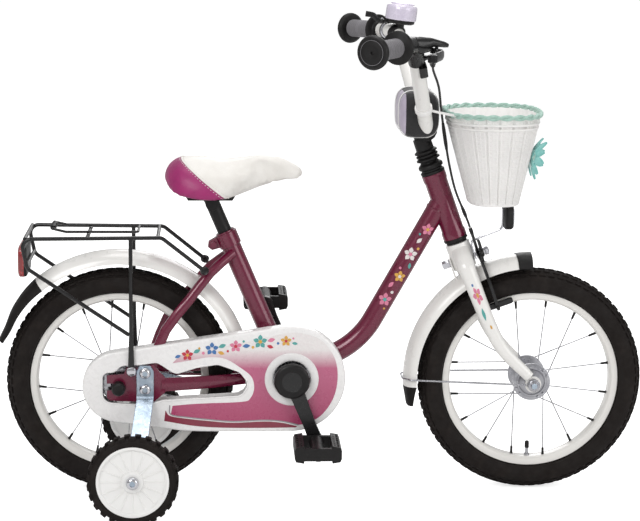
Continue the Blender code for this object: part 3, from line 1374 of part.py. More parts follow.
def basket_ring(z, grow, ribbed):
    """One level of the basket: an oval with squared corners, drawn in at every other rib."""
    share = (z - BASKET_BOTTOM) / (BASKET_TOP - BASKET_BOTTOM)
    centre = BASKET_X_BOTTOM + (BASKET_X_TOP - BASKET_X_BOTTOM) * share
    half_x = BASKET_SIZE_BOTTOM[0] + (BASKET_SIZE_TOP[0] - BASKET_SIZE_BOTTOM[0]) * share + grow
    half_y = BASKET_SIZE_BOTTOM[1] + (BASKET_SIZE_TOP[1] - BASKET_SIZE_BOTTOM[1]) * share + grow
    ring = []
    for index in range(BASKET_POINTS):
        turn = 2 * math.pi * index / BASKET_POINTS
        dent = BASKET_DENT if ribbed and index % 2 == 0 else 0
        c, s = math.cos(turn), math.sin(turn)
        x = math.copysign(abs(c) ** 0.75, c) * (half_x - dent)
        y = math.copysign(abs(s) ** 0.75, s) * (half_y - dent)
        ring.append(at(centre + x, y, z))
    return ring


def basket():
    """A tapered, ribbed tub with a rope rim, tied to the handlebar by two straps."""
    top, bottom = BASKET_TOP, BASKET_BOTTOM
    levels = [(bottom, -0.003, False), (bottom + 0.004, 0.0, True), (top - 0.008, 0.0, True),
              (top - 0.003, 0.0035, False), (top + 0.003, 0.0035, False), (top + 0.004, -BASKET_WALL, False),
              (bottom + 0.005, -BASKET_WALL - 0.001, False)]
    item = loft([basket_ring(*level) for level in levels])
    for side in (-1, 1):
        spot, along = riser_point(side, STRAP_SHARE)
        ring = turned([(BAR_RADIUS + 0.002, -0.004), (BAR_RADIUS + 0.002, 0.004)], spot, along, 12, WHEEL_ACROSS)
        end = at(BASKET_X_TOP - BASKET_SIZE_TOP[0] * 0.86, side * 0.0600, BASKET_TOP)
        strap = [(0.0034, 0.0009), (-0.0034, 0.0009), (-0.0034, -0.0009), (0.0034, -0.0009)]
        join(ring, sweep([spot, end], strap, Vector((0, 0, 1))))
        cut(ring, bar_room())
        join(item, ring)
    return named(item, "basket", WHITE)


def basket_flower():
    """A cloth daisy on the basket's front, its petals standing a little forwards."""
    share = (FLOWER_Z - BASKET_BOTTOM) / (BASKET_TOP - BASKET_BOTTOM)
    front_top = BASKET_X_TOP + BASKET_SIZE_TOP[0]
    front_bottom = BASKET_X_BOTTOM + BASKET_SIZE_BOTTOM[0]
    slope = Vector((front_top - front_bottom, 0, BASKET_TOP - BASKET_BOTTOM)).normalized()
    normal = Vector((slope.z, 0, -slope.x))
    spot = at(front_bottom + (front_top - front_bottom) * share, 0, FLOWER_Z) + normal * (GAP * 1.5 - BASKET_DENT)
    item = turned([(0.0080, 0), (0.0105, 0.002), (0.0095, 0.006), (0.005, 0.0075)], spot, normal, 8, slope)
    for index in range(PETALS):
        turn = index * 2 * math.pi / PETALS
        ahead = slope * math.cos(turn) + LEFT * math.sin(turn)
        lift = 0.0035 if index % 2 else 0.0062
        path = [spot + normal * (lift - 0.001) + ahead * 0.006, spot + normal * (lift + 0.001) + ahead * 0.022,
                spot + normal * (lift + 0.0055) + ahead * 0.035]
        across = ahead.cross(normal)
        sections = [[(half, 0), (0, 0.0012), (-half, 0), (0, -0.0012)] for half in (0.0030, 0.0070, 0.0040)]
        join(item, sweep(path, sections, across))
    return named(item, "basket_flower", MINT)


# Brake calliper and front reflector

def calliper_spot(place, y, drop):
    """A point by its place along the bolt, its distance to the left and its drop below the bolt."""
    return brake_bolt_line(place) + LEFT * y - STEER_UP * drop


def calliper_arm(side, name):
    """A curved arm from the bolt down past the tyre, its cable end above the bolt, and its brake pad."""
    place = CALLIPER_RIGHT_PLACE if side < 0 else CALLIPER_LEFT_PLACE
    rise = -0.040 if side < 0 else -0.022
    lower = [(0.0, 0.0), (side * 0.024, 0.006), (side * 0.0365, 0.027), (side * 0.0385, 0.052),
             (side * 0.0365, PAD_DROP + 0.004)]
    upper = [(0.0, 0.0), (CABLE_SIDE * 0.7, rise * 0.45), (CABLE_SIDE, rise)]
    thick, half = CALLIPER_THICK / 2, 0.0050
    pivot = calliper_spot(place, 0, 0)
    item = turned([(0.0078, -thick), (0.0078, thick)], pivot, STEER_FORWARD, 12)
    for corners, inset in ((lower, 0.0003), (upper, 0.0005)):
        flat = thick - inset
        bar = [(flat, half), (-flat, half), (-flat, -half), (flat, -half)]
        path = smooth([calliper_spot(place, y, drop) for y, drop in corners], 2)
        join(item, sweep(path, bar, STEER_FORWARD))
    if side < 0:
        top = calliper_spot(place, CABLE_SIDE, CABLE_RISE)
        join(item, turned([(0.0032, 0), (0.0032, 0.0065), (0.0025, 0.012)], top, -STEER_UP, 8))
    inner = RIM_WIDTH / 2 + PAD_GAP
    pad = []
    for step, half_high in ((-0.0120, 0.0030), (-0.0080, 0.0040), (0.0220, 0.0040), (0.0260, 0.0030)):
        ring = []
        for y, drop in ((inner, -half_high), (inner + 0.0090, -half_high), (inner + 0.0090, half_high),
                        (inner, half_high)):
            ring.append(calliper_spot(place + step, side * y, PAD_DROP + drop))
        pad.append(ring)
    join(item, loft(pad))
    stud_in = calliper_spot(place, side * (inner + 0.006), PAD_DROP)
    stud_out = calliper_spot(place, side * 0.0450, PAD_DROP)
    join(item, rod(stud_in, stud_out, 0.0030, 8))
    cut(item, rod(pivot - STEER_FORWARD * 0.01, pivot + STEER_FORWARD * 0.01, BRAKE_BOLT_RADIUS + GAP, 8))
    return named(item, name, BLACK, pivot)


def reflector_bracket():
    """The brake's pivot bolt and nuts, with the bent strap that carries the front reflector."""
    nut_back = 0.0182 + GAP * 2 + 0.0024
    front = CALLIPER_LEFT_PLACE + CALLIPER_THICK / 2 + GAP
    bolt, nut = BRAKE_BOLT_RADIUS, 0.0058
    profile = [(bolt, -nut_back - 0.012), (bolt, -nut_back - 0.006), (nut, -nut_back - 0.006), (nut, -nut_back),
               (bolt, -nut_back), (bolt, front), (nut, front), (nut, front + 0.005), (0.0040, front + 0.0065)]
    item = turned(profile, brake_bolt_line(0), STEER_FORWARD, HEX)
    strap_at = 0.0187 + 0.0010
    root = brake_bolt_line(strap_at)
    corners = [root - STEER_UP * 0.007, root + STEER_UP * 0.0225, at(REFLECTOR_X, 0, 0.4085), at(REFLECTOR_X, 0, 0.4400)]
    strap = [(0.0055, 0.0010), (-0.0055, 0.0010), (-0.0055, -0.0010), (0.0055, -0.0010)]
    join(item, sweep(rounded(corners, 0.007, 2), strap, LEFT))
    return named(item, "reflector_bracket", STEEL)


def front_reflector():
    """A reflector in a deep housing, square to the way ahead."""
    start = at(REFLECTOR_X + 0.0010 + GAP, 0, REFLECTOR_Z)
    rings = []
    for depth, grow in ((0.0, 0.86), (0.002, 1.0), (0.010, 1.0), (0.0125, 0.93)):
        ring = []
        for step in range(16):
            turn = math.radians(22.5 * (step + 0.5))
            c, s = math.cos(turn), math.sin(turn)
            y = math.copysign(abs(c) ** 0.55, c) * 0.0260 * grow
            z = math.copysign(abs(s) ** 0.55, s) * 0.0195 * grow
            ring.append(start + Vector((depth, y, z)))
        rings.append(ring)
    return named(loft(rings), "front_reflector", BLACK)


# Saddle

def saddle_body():
    """The whole padded shell, from rounded sections between its stations."""
    first = smooth([Vector((x, wide, top)) for x, wide, top, _ in SADDLE_STATIONS], 2)
    second = smooth([Vector((x, 0, edge)) for x, _, _, edge in SADDLE_STATIONS], 2)
    rings = []
    for upper, lower in zip(first, second):
        x, wide, top = upper
        edge = lower.z
        ring = []
        for step in range(11):
            turn = math.radians(18 * step)
            c, s = math.cos(turn), math.sin(turn)
            y = math.copysign(abs(c) ** 0.72, c) * wide
            z = edge + (top - edge) * abs(s) ** 0.85
            ring.append(at(x, y, z))
        belly = min(0.0040, (top - edge) * 0.3)
        ring += [at(x, -wide * 0.62, edge + belly), at(x, wide * 0.62, edge + belly)]
        rings.append(ring)
    return loft(rings)


def saddle_side(way, gap):
    """A block that covers one side of the seam between the two covers."""
    (x1, z1), (x2, z2) = SADDLE_SPLIT
    along = Vector((x2 - x1, z2 - z1)).normalized()
    normal = Vector((-along.y, along.x)) * way
    a = Vector((x1, z1)) - along * 0.2 + normal * gap
    b = Vector((x2, z2)) + along * 0.2 + normal * gap
    outline = [tuple(a), tuple(b), tuple(b + normal * 0.3), tuple(a + normal * 0.3)]
    return plate(outline, -0.15, 0.15)


def saddle_top():
    return named(cut(saddle_body(), saddle_side(-1, -GAP / 2)), "saddle_top", WHITE)


def saddle_rear():
    return named(cut(saddle_body(), saddle_side(1, -GAP / 2)), "saddle_rear", MAGENTA)


def seatpost():
    """The post with the saddle's clamp and its base plate."""
    top = (0.4560 - BB_Z) / SEAT_UP.z
    item = rod(seat(top - 0.155), seat(top), SEATPOST_RADIUS, 16)
    head_block = seat(top - 0.008)
    join(item, rod(head_block - LEFT * 0.019, head_block + LEFT * 0.019, 0.0105, 12))
    outline = [(0.105, 0.4550), (0.172, 0.4550), (0.176, 0.4612), (0.101, 0.4612)]
    join(item, plate(outline, -0.026, 0.026))
    return named(item, "seatpost", BLACK)


def empty(name, place):
    """A guide at a joint's axis."""
    item = bpy.data.objects.new(name, None)
    item.location = place
    item.empty_display_size = 0.05
    bpy.context.collection.objects.link(item)
    return item


def hold(parent, *items):
    """Parents pieces to a joint's empty without moving them."""
    for item in items:
        item.parent = parent
        item.matrix_parent_inverse = Matrix.Translation(-parent.location)


def build():
    clear_scene()
    head_tube()
    down_tube()
    seat_tube()
    for side, word in ((-1, "right"), (1, "left")):
        chain_stay(side, "chain_stay_" + word)
        seat_stay(side, "seat_stay_" + word)
        training_bracket(side, "training_bracket_" + word)
        spin = empty("spin_training_" + word, trainer_centre(side))
        hold(spin, training_tyre(side, "training_tyre_" + word), training_disc(side, "training_disc_" + word))
    headset_cup("headset_lower", head(0), -STEER_UP)
    headset_cup("headset_upper", head(HEAD_TUBE_LENGTH), STEER_UP)
    rear_fender()
    rear_mud_flap()
    rear_rack()
    rear_lamp()
    rack_clamp()
    chain_case()
    chain_case_back()
    chain()
    rear_axle()
    hold(empty("spin_rear_wheel", REAR_AXLE), tyre("rear_tyre", REAR_AXLE), rim("rear_rim", REAR_AXLE),
         hub("rear_hub", REAR_AXLE, REAR_BARREL_RADIUS, 0.0350, 5.0))
    rear_sprocket()
    hold(empty("spin_cranks", BOTTOM_BRACKET), chainring(), crank(-1, "crank_right"), crank(1, "crank_left"))
    pedal(-1, "pedal_right")
    pedal(1, "pedal_left")
    steering = empty("steering", head(0))
    spin = empty("spin_front_wheel", FRONT_AXLE)
    hold(spin, tyre("front_tyre", FRONT_AXLE), rim("front_rim", FRONT_AXLE),
         hub("front_hub", FRONT_AXLE, FRONT_BARREL_RADIUS, 0.0405, 11.3))
    hold(steering, spin, fork(), front_axle(), front_fender(), front_mud_flap(), front_fender_stay(), stem(),
         handlebar(), grip(-1, "grip_right"), grip(1, "grip_left"), brake_lever_housing(), brake_lever(),
         brake_cable(), bar_pad(), bell(), bell_lever(), basket(), basket_flower(), calliper_arm(-1, "calliper_right"),
         calliper_arm(1, "calliper_left"), reflector_bracket(), front_reflector())
    hold(empty("saddle_slide", seat(SEAT_TUBE_LENGTH)), saddle_top(), saddle_rear(), seatpost())


build()
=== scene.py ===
# %% [markdown]
# # A small child's bicycle, dressed for its picture
#
# The engineering model of the bicycle is already finished: sixty plain solids that fit, turn and slide. This
# script loads them as a fixed frame and gives each one its real surface. Where a plain solid is too angular
# for a close look, such as a tyre or a saddle, a fuller piece takes its place and rides on the same body.

# %% Load the frame
import math

import bmesh
import bpy
from mathutils import Matrix, Vector


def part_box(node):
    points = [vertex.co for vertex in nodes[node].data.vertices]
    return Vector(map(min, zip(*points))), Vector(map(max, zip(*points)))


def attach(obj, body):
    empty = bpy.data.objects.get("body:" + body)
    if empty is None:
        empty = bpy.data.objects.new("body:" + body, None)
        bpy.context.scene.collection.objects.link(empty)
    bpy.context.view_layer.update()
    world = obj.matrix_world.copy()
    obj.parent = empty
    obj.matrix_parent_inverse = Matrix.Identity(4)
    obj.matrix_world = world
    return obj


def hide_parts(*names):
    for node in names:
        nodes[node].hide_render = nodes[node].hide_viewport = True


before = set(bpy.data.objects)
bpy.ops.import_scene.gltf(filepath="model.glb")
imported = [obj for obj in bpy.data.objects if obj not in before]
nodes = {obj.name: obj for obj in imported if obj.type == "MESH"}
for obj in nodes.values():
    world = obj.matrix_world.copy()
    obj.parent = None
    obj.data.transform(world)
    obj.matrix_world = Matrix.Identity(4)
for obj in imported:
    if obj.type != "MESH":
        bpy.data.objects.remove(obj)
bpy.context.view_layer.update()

# %% [markdown]
# The bicycle faces +X, its chain side is -Y, and everything is in metres. The two wheels give the main
# places. Side-view places are easiest to read from the rear axle, so `at` turns "ahead of the rear axle, to
# the left, above the floor" into a place in the frame. The steering axis leans back by its head angle, and
# `head` gives places along it.

# %% Main places
def centre_of(node):
    """The middle of a node's box."""
    low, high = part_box(node)
    return (low + high) / 2


LEFT = Vector((0, 1, 0))
UP = Vector((0, 0, 1))
AHEAD = Vector((1, 0, 0))
REAR_AXLE = centre_of("rear_tyre")
FRONT_AXLE = centre_of("front_tyre")
TYRE_RADIUS = REAR_AXLE.z
STEER_LEAN = math.radians(70.2)
STEER_UP = Vector((-math.cos(STEER_LEAN), 0, math.sin(STEER_LEAN)))
STEER_AHEAD = Vector((STEER_UP.z, 0, -STEER_UP.x))
FORK_OFFSET, FORK_LENGTH, BRAKE_DROP = 0.0375, 0.249, 0.0365
CRANK_X, CRANK_Z = 0.262, 0.186
GAP = 0.0003


def at(x, y, z):
    """A place ahead of the rear axle by x, to the left by y and above the floor by z."""
    return Vector((REAR_AXLE.x + x, y, z))


def outward(angle):
    """The way out from an axle, at an angle that is 0 straight ahead and grows upwards."""
    return Vector((math.cos(angle), 0, math.sin(angle)))


def head(distance):
    """A point on the steering axis, up from the lower end of the head tube."""
    return FRONT_AXLE - STEER_AHEAD * FORK_OFFSET + STEER_UP * (FORK_LENGTH + distance)


BOTTOM_BRACKET = at(CRANK_X, 0, CRANK_Z)
BRAKE_BOLT = head(-BRAKE_DROP)
print("wheelbase", round(FRONT_AXLE.x - REAR_AXLE.x, 4), "tyre radius", round(TYRE_RADIUS, 4))

# %% [markdown]
# The picture is taken with a long lens from the chain side, a little above the saddle and turned slightly
# forwards. A long lens keeps the wheels round. The camera is turned by three angles, and its matrix is built
# from the three directions they give.

# %% Camera
SENSOR, LENS_PIXELS, PICTURE_WIDTH = 36.0, 2057, 640
CAMERA_PLACE = (-0.1595, -3.097, 0.925)
yaw, pitch, roll = math.radians(2.87), math.radians(10.35), math.radians(0.52)
look = Vector((math.sin(yaw) * math.cos(pitch), math.cos(yaw) * math.cos(pitch), -math.sin(pitch)))
level = Vector((math.cos(yaw), -math.sin(yaw), 0))
upright = level.cross(look)
camera_right = level * math.cos(roll) + upright * math.sin(roll)
camera_up = upright * math.cos(roll) - level * math.sin(roll)
camera_data = bpy.data.cameras.new("camera")
camera_data.lens = SENSOR * LENS_PIXELS / PICTURE_WIDTH
camera_data.sensor_width = SENSOR
camera_data.clip_end = 50
camera = bpy.data.objects.new("camera", camera_data)
turn = Matrix((camera_right, camera_up, -look)).transposed().to_4x4()
camera.matrix_world = Matrix.Translation(CAMERA_PLACE) @ turn
bpy.context.scene.collection.objects.link(camera)
bpy.context.scene.camera = camera
print("lens", round(camera_data.lens, 1), "mm")

# %% [markdown]
# A product picture on white needs soft light from all round and no hard spots. Large round lamps stand in
# front on both sides, overhead and behind. The world is plain grey for lighting and in reflections, so that
# dark paint stays deep. It is white only where the camera sees it, straight or through glass.

# %% Lamps and world
WORLD_GREY, WORLD_WHITE = 0.42, 1.0


def lamp(name, place, target, size, power):
    """A round area lamp that looks at a target."""
    data = bpy.data.lights.new(name, "AREA")
    data.shape = "DISK"
    data.size = size
    data.energy = power
    item = bpy.data.objects.new(name, data)
    item.location = place
    item.rotation_euler = (Vector(target) - Vector(place)).to_track_quat("-Z", "Y").to_euler()
    bpy.context.scene.collection.objects.link(item)
    return item


lamp("key", (-1.6, -2.6, 2.3), (0, 0, 0.3), 1.8, 46)
lamp("fill", (2.4, -2.2, 1.3), (0, 0, 0.3), 2.0, 25)
lamp("top", (0.2, 0.3, 3.0), (0, 0, 0.2), 2.2, 34)
lamp("back", (0.4, 2.8, 1.8), (0, 0, 0.3), 2.0, 22)
bpy.context.scene.view_settings.view_transform = "Standard"


def seen_directly(tree):
    """1 for rays that come from the camera, straight or through glass, and 0 for light that bounces."""
    path = tree.nodes.new("ShaderNodeLightPath")
    either = tree.nodes.new("ShaderNodeMath")
    either.operation = "MAXIMUM"
    tree.links.new(path.outputs["Is Camera Ray"], either.inputs[0])
    tree.links.new(path.outputs["Is Transmission Ray"], either.inputs[1])
    return either.outputs[0]


world = bpy.data.worlds.new("studio")
world.use_nodes = True
bpy.context.scene.world = world
world_tree = world.node_tree
world_shade = world_tree.nodes["Background"]
world_shade.inputs["Color"].default_value = (1, 1, 1, 1)
strength = world_tree.nodes.new("ShaderNodeMapRange")
strength.inputs["To Min"].default_value = WORLD_GREY
strength.inputs["To Max"].default_value = WORLD_WHITE
world_tree.links.new(seen_directly(world_tree), strength.inputs["Value"])
world_tree.links.new(strength.outputs["Result"], world_shade.inputs["Strength"])

# %% [markdown]
# The floor must stay white in the picture and still take the bicycle's shadow. A plain white floor under this
# light comes out light grey, so a weak glow is added for the camera alone. It lifts the open floor to white,
# while the places under the tyres stay darker.

# %% Floor
FLOOR_GLOW = 0.66


def floor_material():
    material = bpy.data.materials.new("floor_white")
    material.use_nodes = True
    tree = material.node_tree
    shader = tree.nodes["Principled BSDF"]
    shader.inputs["Base Color"].default_value = (0.86, 0.86, 0.86, 1)
    shader.inputs["Roughness"].default_value = 0.9
    shader.inputs["Emission Color"].default_value = (1, 1, 1, 1)
    glow = tree.nodes.new("ShaderNodeMath")
    glow.operation = "MULTIPLY"
    glow.inputs[1].default_value = FLOOR_GLOW
    tree.links.new(seen_directly(tree), glow.inputs[0])
    tree.links.new(glow.outputs[0], shader.inputs["Emission Strength"])
    return material


floor_mesh = bpy.data.meshes.new("floor")
floor_mesh.from_pydata([(-12, -8, 0), (12, -8, 0), (12, 16, 0), (-12, 16, 0)], [], [(0, 1, 2, 3)])
floor_mesh.materials.append(floor_material())
floor = bpy.data.objects.new("floor", floor_mesh)
bpy.context.scene.collection.objects.link(floor)
print("floor", floor.dimensions[:2])

# %% [markdown]
# Most pieces of a bicycle are one of three forms: something turned on a lathe, something swept along a path,
# or a plate with an outline. Each helper below adds one such form to a bmesh, so that a piece can be put
# together from several. `soften` rounds the corners of an outline or a section, because real edges are never
# sharp and it is their small roundings that catch the light.

# %% Shape helpers
def frame_at(point, axis, across=None):
    """A matrix whose z runs along an axis and whose x lies near a direction."""
    axis = axis.normalized()
    across = across or (AHEAD if abs(axis.x) < 0.9 else LEFT)
    first = (across - axis * across.dot(axis)).normalized()
    return Matrix.Translation(point) @ Matrix((first, axis.cross(first), axis)).transposed().to_4x4()


def circle(radius, sides, radius_b=None):
    """A closed run of points, on an ellipse if a second radius is given."""
    turns = [(index + 0.5) * 2 * math.pi / sides for index in range(sides)]
    return [(radius * math.cos(a), (radius_b or radius) * math.sin(a)) for a in turns]


def powered(value, power):
    """A power that keeps the sign."""
    return math.copysign(abs(value) ** power, value)


def oval(half_a, half_b, power, sides):
    """A rounded box's outline: power 1 is an ellipse, and a smaller one is squarer."""
    turns = [(index + 0.5) * 2 * math.pi / sides for index in range(sides)]
    return [(powered(math.cos(a), power) * half_a, powered(math.sin(a), power) * half_b) for a in turns]


def soften(points, radius, steps=3, closed=True):
    """Rounds each corner of a flat run of points by an arc."""
    flat = [Vector(point) for point in points]
    count = len(flat)
    result = []
    for index, corner in enumerate(flat):
        if not closed and index in (0, count - 1):
            result.append(tuple(corner))
            continue
        before, after = flat[index - 1], flat[(index + 1) % count]
        into, out = (corner - before), (after - corner)
        room = 0.45 * min(into.length, out.length)
        into.normalize()
        out.normalize()
        bend = into.angle(out, 0)
        if bend < 0.05:
            result.append(tuple(corner))
            continue
        size = min(radius, room / math.tan(bend / 2))
        start = corner - into * (size * math.tan(bend / 2))
        normal = (out - into * out.dot(into)).normalized()
        for step in range(steps + 1):
            a = bend * step / steps
            result.append(tuple(start + into * (size * math.sin(a)) + normal * (size * (1 - math.cos(a)))))
    return result


def flat_bar(half_a, half_b, radius, steps=2):
    """The softened section of a flat bar."""
    corners = [(half_a, half_b), (-half_a, half_b), (-half_a, -half_b), (half_a, -half_b)]
    return soften(corners, radius, steps)


def add_loft(bm, rings, loop=False, kind=0):
    """Joins rings of points, round to the first or closed at both ends."""
    rows = [[bm.verts.new(point) for point in ring] for ring in rings]
    pairs = list(zip(rows, rows[1:]))
    if loop:
        pairs.append((rows[-1], rows[0]))
    faces = []
    for low, high in pairs:
        for index in range(len(low)):
            after = (index + 1) % len(low)
            faces.append(bm.faces.new((low[index], low[after], high[after], high[index])))
    if not loop:
        faces.append(bm.faces.new(list(reversed(rows[0]))))
        faces.append(bm.faces.new(rows[-1]))
    for face in faces:
        face.material_index = kind
    return faces


def add_ring(bm, profile, place, axis, sides=64, kind=0):
    """A ring turned round an axis from a closed profile of (radius, height) pairs."""
    matrix = frame_at(place, axis)
    rings = []
    for index in range(sides):
        turn = (index + 0.5) * 2 * math.pi / sides
        rings.append([matrix @ Vector((r * math.cos(turn), r * math.sin(turn), h)) for r, h in profile])
    return add_loft(bm, rings, True, kind)


def add_turned(bm, profile, place, axis, sides=48, kind=0):
    """A solid turned round an axis from an open profile of (radius, height) pairs."""
    matrix = frame_at(place, axis)
    rings = [[matrix @ Vector((a, b, height)) for a, b in circle(radius, sides)]
             for radius, height in profile]
    return add_loft(bm, rings, False, kind)


def add_lathe(bm, profile, radius, place, axis, sides, kind=0, steps=2):
    """A turned solid whose profile's corners are rounded first."""
    return add_turned(bm, soften(profile, radius, steps, False), place, axis, sides, kind)


def add_sweep(bm, path, sections, across=None, loop=False, kind=0):
    """Carries one section, or one for each point, along a path."""
    if not isinstance(sections[0], list):
        sections = [sections] * len(path)
    count = len(path)
    rings = []
    side = across
    for index, point in enumerate(path):
        before = path[index - 1] if index or loop else point
        after = path[(index + 1) % count] if index < count - 1 or loop else point
        ahead = (after - before).normalized()
        side = side or ahead.orthogonal().normalized()
        first = (side - ahead * side.dot(ahead)).normalized()
        second = ahead.cross(first)
        if across is None:
            side = first
        rings.append([point + first * a + second * b for a, b in sections[index]])
    return add_loft(bm, rings, loop, kind)


def add_tube(bm, path, radius, sides=16, across=None, loop=False, kind=0):
    """A round rod along a path."""
    return add_sweep(bm, path, circle(radius, sides), across, loop, kind)


def add_plate(bm, outline, near, far, kind=0):
    """A side-view outline made solid between two places across."""
    low, high = sorted((near, far))
    return add_loft(bm, [[at(x, y, z) for x, z in outline] for y in (low, high)], False, kind)


def rounded(corners, radius, steps=8):
    """A path through corners in space, each rounded by an arc."""
    path = [corners[0]]
    for before, corner, after in zip(corners, corners[1:], corners[2:]):
        into, out = (corner - before).normalized(), (after - corner).normalized()
        bend = into.angle(out)
        start = corner - into * (radius * math.tan(bend / 2))
        normal = (out - into * out.dot(into)).normalized()
        for step in range(steps + 1):
            a = bend * step / steps
            path.append(start + into * (radius * math.sin(a)) + normal * (radius * (1 - math.cos(a))))
    path.append(corners[-1])
    return path


def smooth(points, steps=6):
    """A curve through points."""
    path = []
    ends = [points[0] * 2 - points[1]] + list(points) + [points[-1] * 2 - points[-2]]
    for a, b, c, d in zip(ends, ends[1:], ends[2:], ends[3:]):
        for step in range(steps):
            t = step / steps
            path.append(0.5 * (b * 2 + (c - a) * t + (a * 2 - b * 5 + c * 4 - d) * t * t
                               + (b * 3 - a - c * 3 + d) * t * t * t))
    path.append(points[-1])
    return path


print("two corners softened:", len(soften([(0, 0), (1, 0), (1, 1), (0, 1)], 0.1)), "points")

# %% [markdown]
# A finished piece has a name, its materials and a body that carries it. Edges that bend by more than a
# chosen angle stay crisp and the rest is shaded smooth. The engineering solids that
# keep their shape get a small bevel instead, made by modifiers, so that their own meshes stay as they are.

# %% Piece helpers
def piece(name, bm, materials, body, replaced=(), crisp=40):
    """Turns a bmesh into a named piece on a body."""
    bmesh.ops.recalc_face_normals(bm, faces=bm.faces)
    mesh = bpy.data.meshes.new(name)
    bm.to_mesh(mesh)
    bm.free()
    for material in materials if isinstance(materials, (list, tuple)) else [materials]:
        mesh.materials.append(material)
    mesh.shade_smooth()
    mesh.set_sharp_from_angle(angle=math.radians(crisp))
    item = bpy.data.objects.new(name, mesh)
    bpy.context.scene.collection.objects.link(item)
    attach(item, body)
    if replaced:
        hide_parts(*replaced)
    return item


def dress(node, material, bevel=0.0006, crisp=40):
    """Gives a carried-over solid its material, rounded edges and smooth shading."""
    item = nodes[node]
    item.data.materials.clear()
    item.data.materials.append(material)
    if "custom_normal" in item.data.attributes:
        item.data.attributes.remove(item.data.attributes["custom_normal"])
    weld = item.modifiers.new("weld", "WELD")
    weld.merge_threshold = 0.00002
    edge = item.modifiers.new("edge", "BEVEL")
    edge.width = bevel
    edge.segments = 2
    edge.limit_method = "ANGLE"
    edge.angle_limit = math.radians(crisp)
    edge.use_clamp_overlap = True
    edge.harden_normals = True
    item.data.shade_smooth()
    return item


# %% [markdown]
# Every finish starts from the same shader and the same idea: colour, gloss and a fine relief all vary a
# little over the surface, at the scale at which the real material varies. The helpers read the object's own
# coordinates in metres, so a grain of half a millimetre is the same on every piece, and it moves with the
# piece.

# %% Material helpers
def srgb(red, green, blue):
    """A colour as it looks on a screen, from 0 to 255, turned into the values that light adds up in."""
    values = []
    for value in (red, green, blue):
        share = value / 255
        values.append(share / 12.92 if share <= 0.04045 else ((share + 0.055) / 1.055) ** 2.4)
    return (*values, 1)


class Finish:
    """One node material that is put together step by step."""

    def __init__(self, name, colour, roughness=0.5, metallic=0.0, **constants):
        self.material = bpy.data.materials.new(name)
        self.material.use_nodes = True
        self.tree = self.material.node_tree
        self.shader = self.tree.nodes["Principled BSDF"]
        self.shader.inputs["Base Color"].default_value = colour
        self.shader.inputs["Roughness"].default_value = roughness
        self.shader.inputs["Metallic"].default_value = metallic
        for key, value in constants.items():
            self.shader.inputs[key.replace("_", " ")].default_value = value
        self.place = self.tree.nodes.new("ShaderNodeTexCoord").outputs["Object"]
        self.height = None

    def node(self, kind, **settings):
        made = self.tree.nodes.new(kind)
        for key, value in settings.items():
            setattr(made, key, value)
        return made

    def link(self, source, target):
        self.tree.links.new(source, target)

    def stretched(self, stretch):
        if stretch == (1, 1, 1):
            return self.place
        mapping = self.node("ShaderNodeMapping")
        mapping.inputs["Scale"].default_value = stretch
        self.link(self.place, mapping.inputs["Vector"])
        return mapping.outputs["Vector"]

    def noise(self, scale, detail=4, roughness=0.55, stretch=(1, 1, 1)):
        made = self.node("ShaderNodeTexNoise")
        made.inputs["Scale"].default_value = scale
        made.inputs["Detail"].default_value = detail
        made.inputs["Roughness"].default_value = roughness
        self.link(self.stretched(stretch), made.inputs["Vector"])
        return made.outputs["Fac"]

    def cells(self, scale, stretch=(1, 1, 1)):
        made = self.node("ShaderNodeTexVoronoi")
        made.inputs["Scale"].default_value = scale
        self.link(self.stretched(stretch), made.inputs["Vector"])
        return made.outputs["Distance"]

    def waves(self, scale, direction, distortion=0.0):
        made = self.node("ShaderNodeTexWave", wave_type="BANDS", bands_direction=direction)
        made.inputs["Scale"].default_value = scale
        made.inputs["Distortion"].default_value = distortion
        self.link(self.place, made.inputs["Vector"])
        return made.outputs["Fac"]

    def axis(self, letter):
        made = self.node("ShaderNodeSeparateXYZ")
        self.link(self.place, made.inputs[0])
        return made.outputs[letter]

    def spread(self, source, low, high, start=0.3, end=0.7):
        made = self.node("ShaderNodeMapRange")
        made.inputs["From Min"].default_value = start
        made.inputs["From Max"].default_value = end
        made.inputs["To Min"].default_value = low
        made.inputs["To Max"].default_value = high
        self.link(source, made.inputs["Value"])
        return made.outputs["Result"]

    def maths(self, operation, first, second):
        made = self.node("ShaderNodeMath", operation=operation)
        for socket, value in zip(made.inputs, (first, second)):
            if isinstance(value, (int, float)):
                socket.default_value = value
            else:
                self.link(value, socket)
        return made.outputs[0]

    def mix(self, factor, first, second):
        """Mixes two colours, each a colour or another mix."""
        made = self.node("ShaderNodeMix", data_type="RGBA")
        self.link(factor, made.inputs[0])
        for socket, value in ((made.inputs[6], first), (made.inputs[7], second)):
            if isinstance(value, tuple):
                socket.default_value = value
            else:
                self.link(value, socket)
        return made.outputs[2]

    def colour(self, source):
        self.link(source, self.shader.inputs["Base Color"])
        return self

    def gloss(self, source):
        self.link(source, self.shader.inputs["Roughness"])
        return self

    def drift(self, scale, detail, first, second):
        """A colour that drifts between two, at the scale of a noise."""
        return self.colour(self.mix(self.spread(self.noise(scale, detail), 0.0, 1.0), first, second))

    def wear(self, scale, detail, low, high):
        """A gloss that wanders between two values of roughness."""
        return self.gloss(self.spread(self.noise(scale, detail), low, high))

    def relief(self, source, depth, strength=1.0):
        """Adds a relief of a depth in metres. Reliefs stack."""
        made = self.node("ShaderNodeBump")
        made.inputs["Strength"].default_value = strength
        made.inputs["Distance"].default_value = depth
        self.link(source, made.inputs["Height"])
        if self.height:
            self.link(self.height, made.inputs["Normal"])
        self.height = made.outputs["Normal"]
        self.link(self.height, self.shader.inputs["Normal"])
        return self


print("a mid grey of 128 becomes", round(srgb(128, 128, 128)[0], 3))

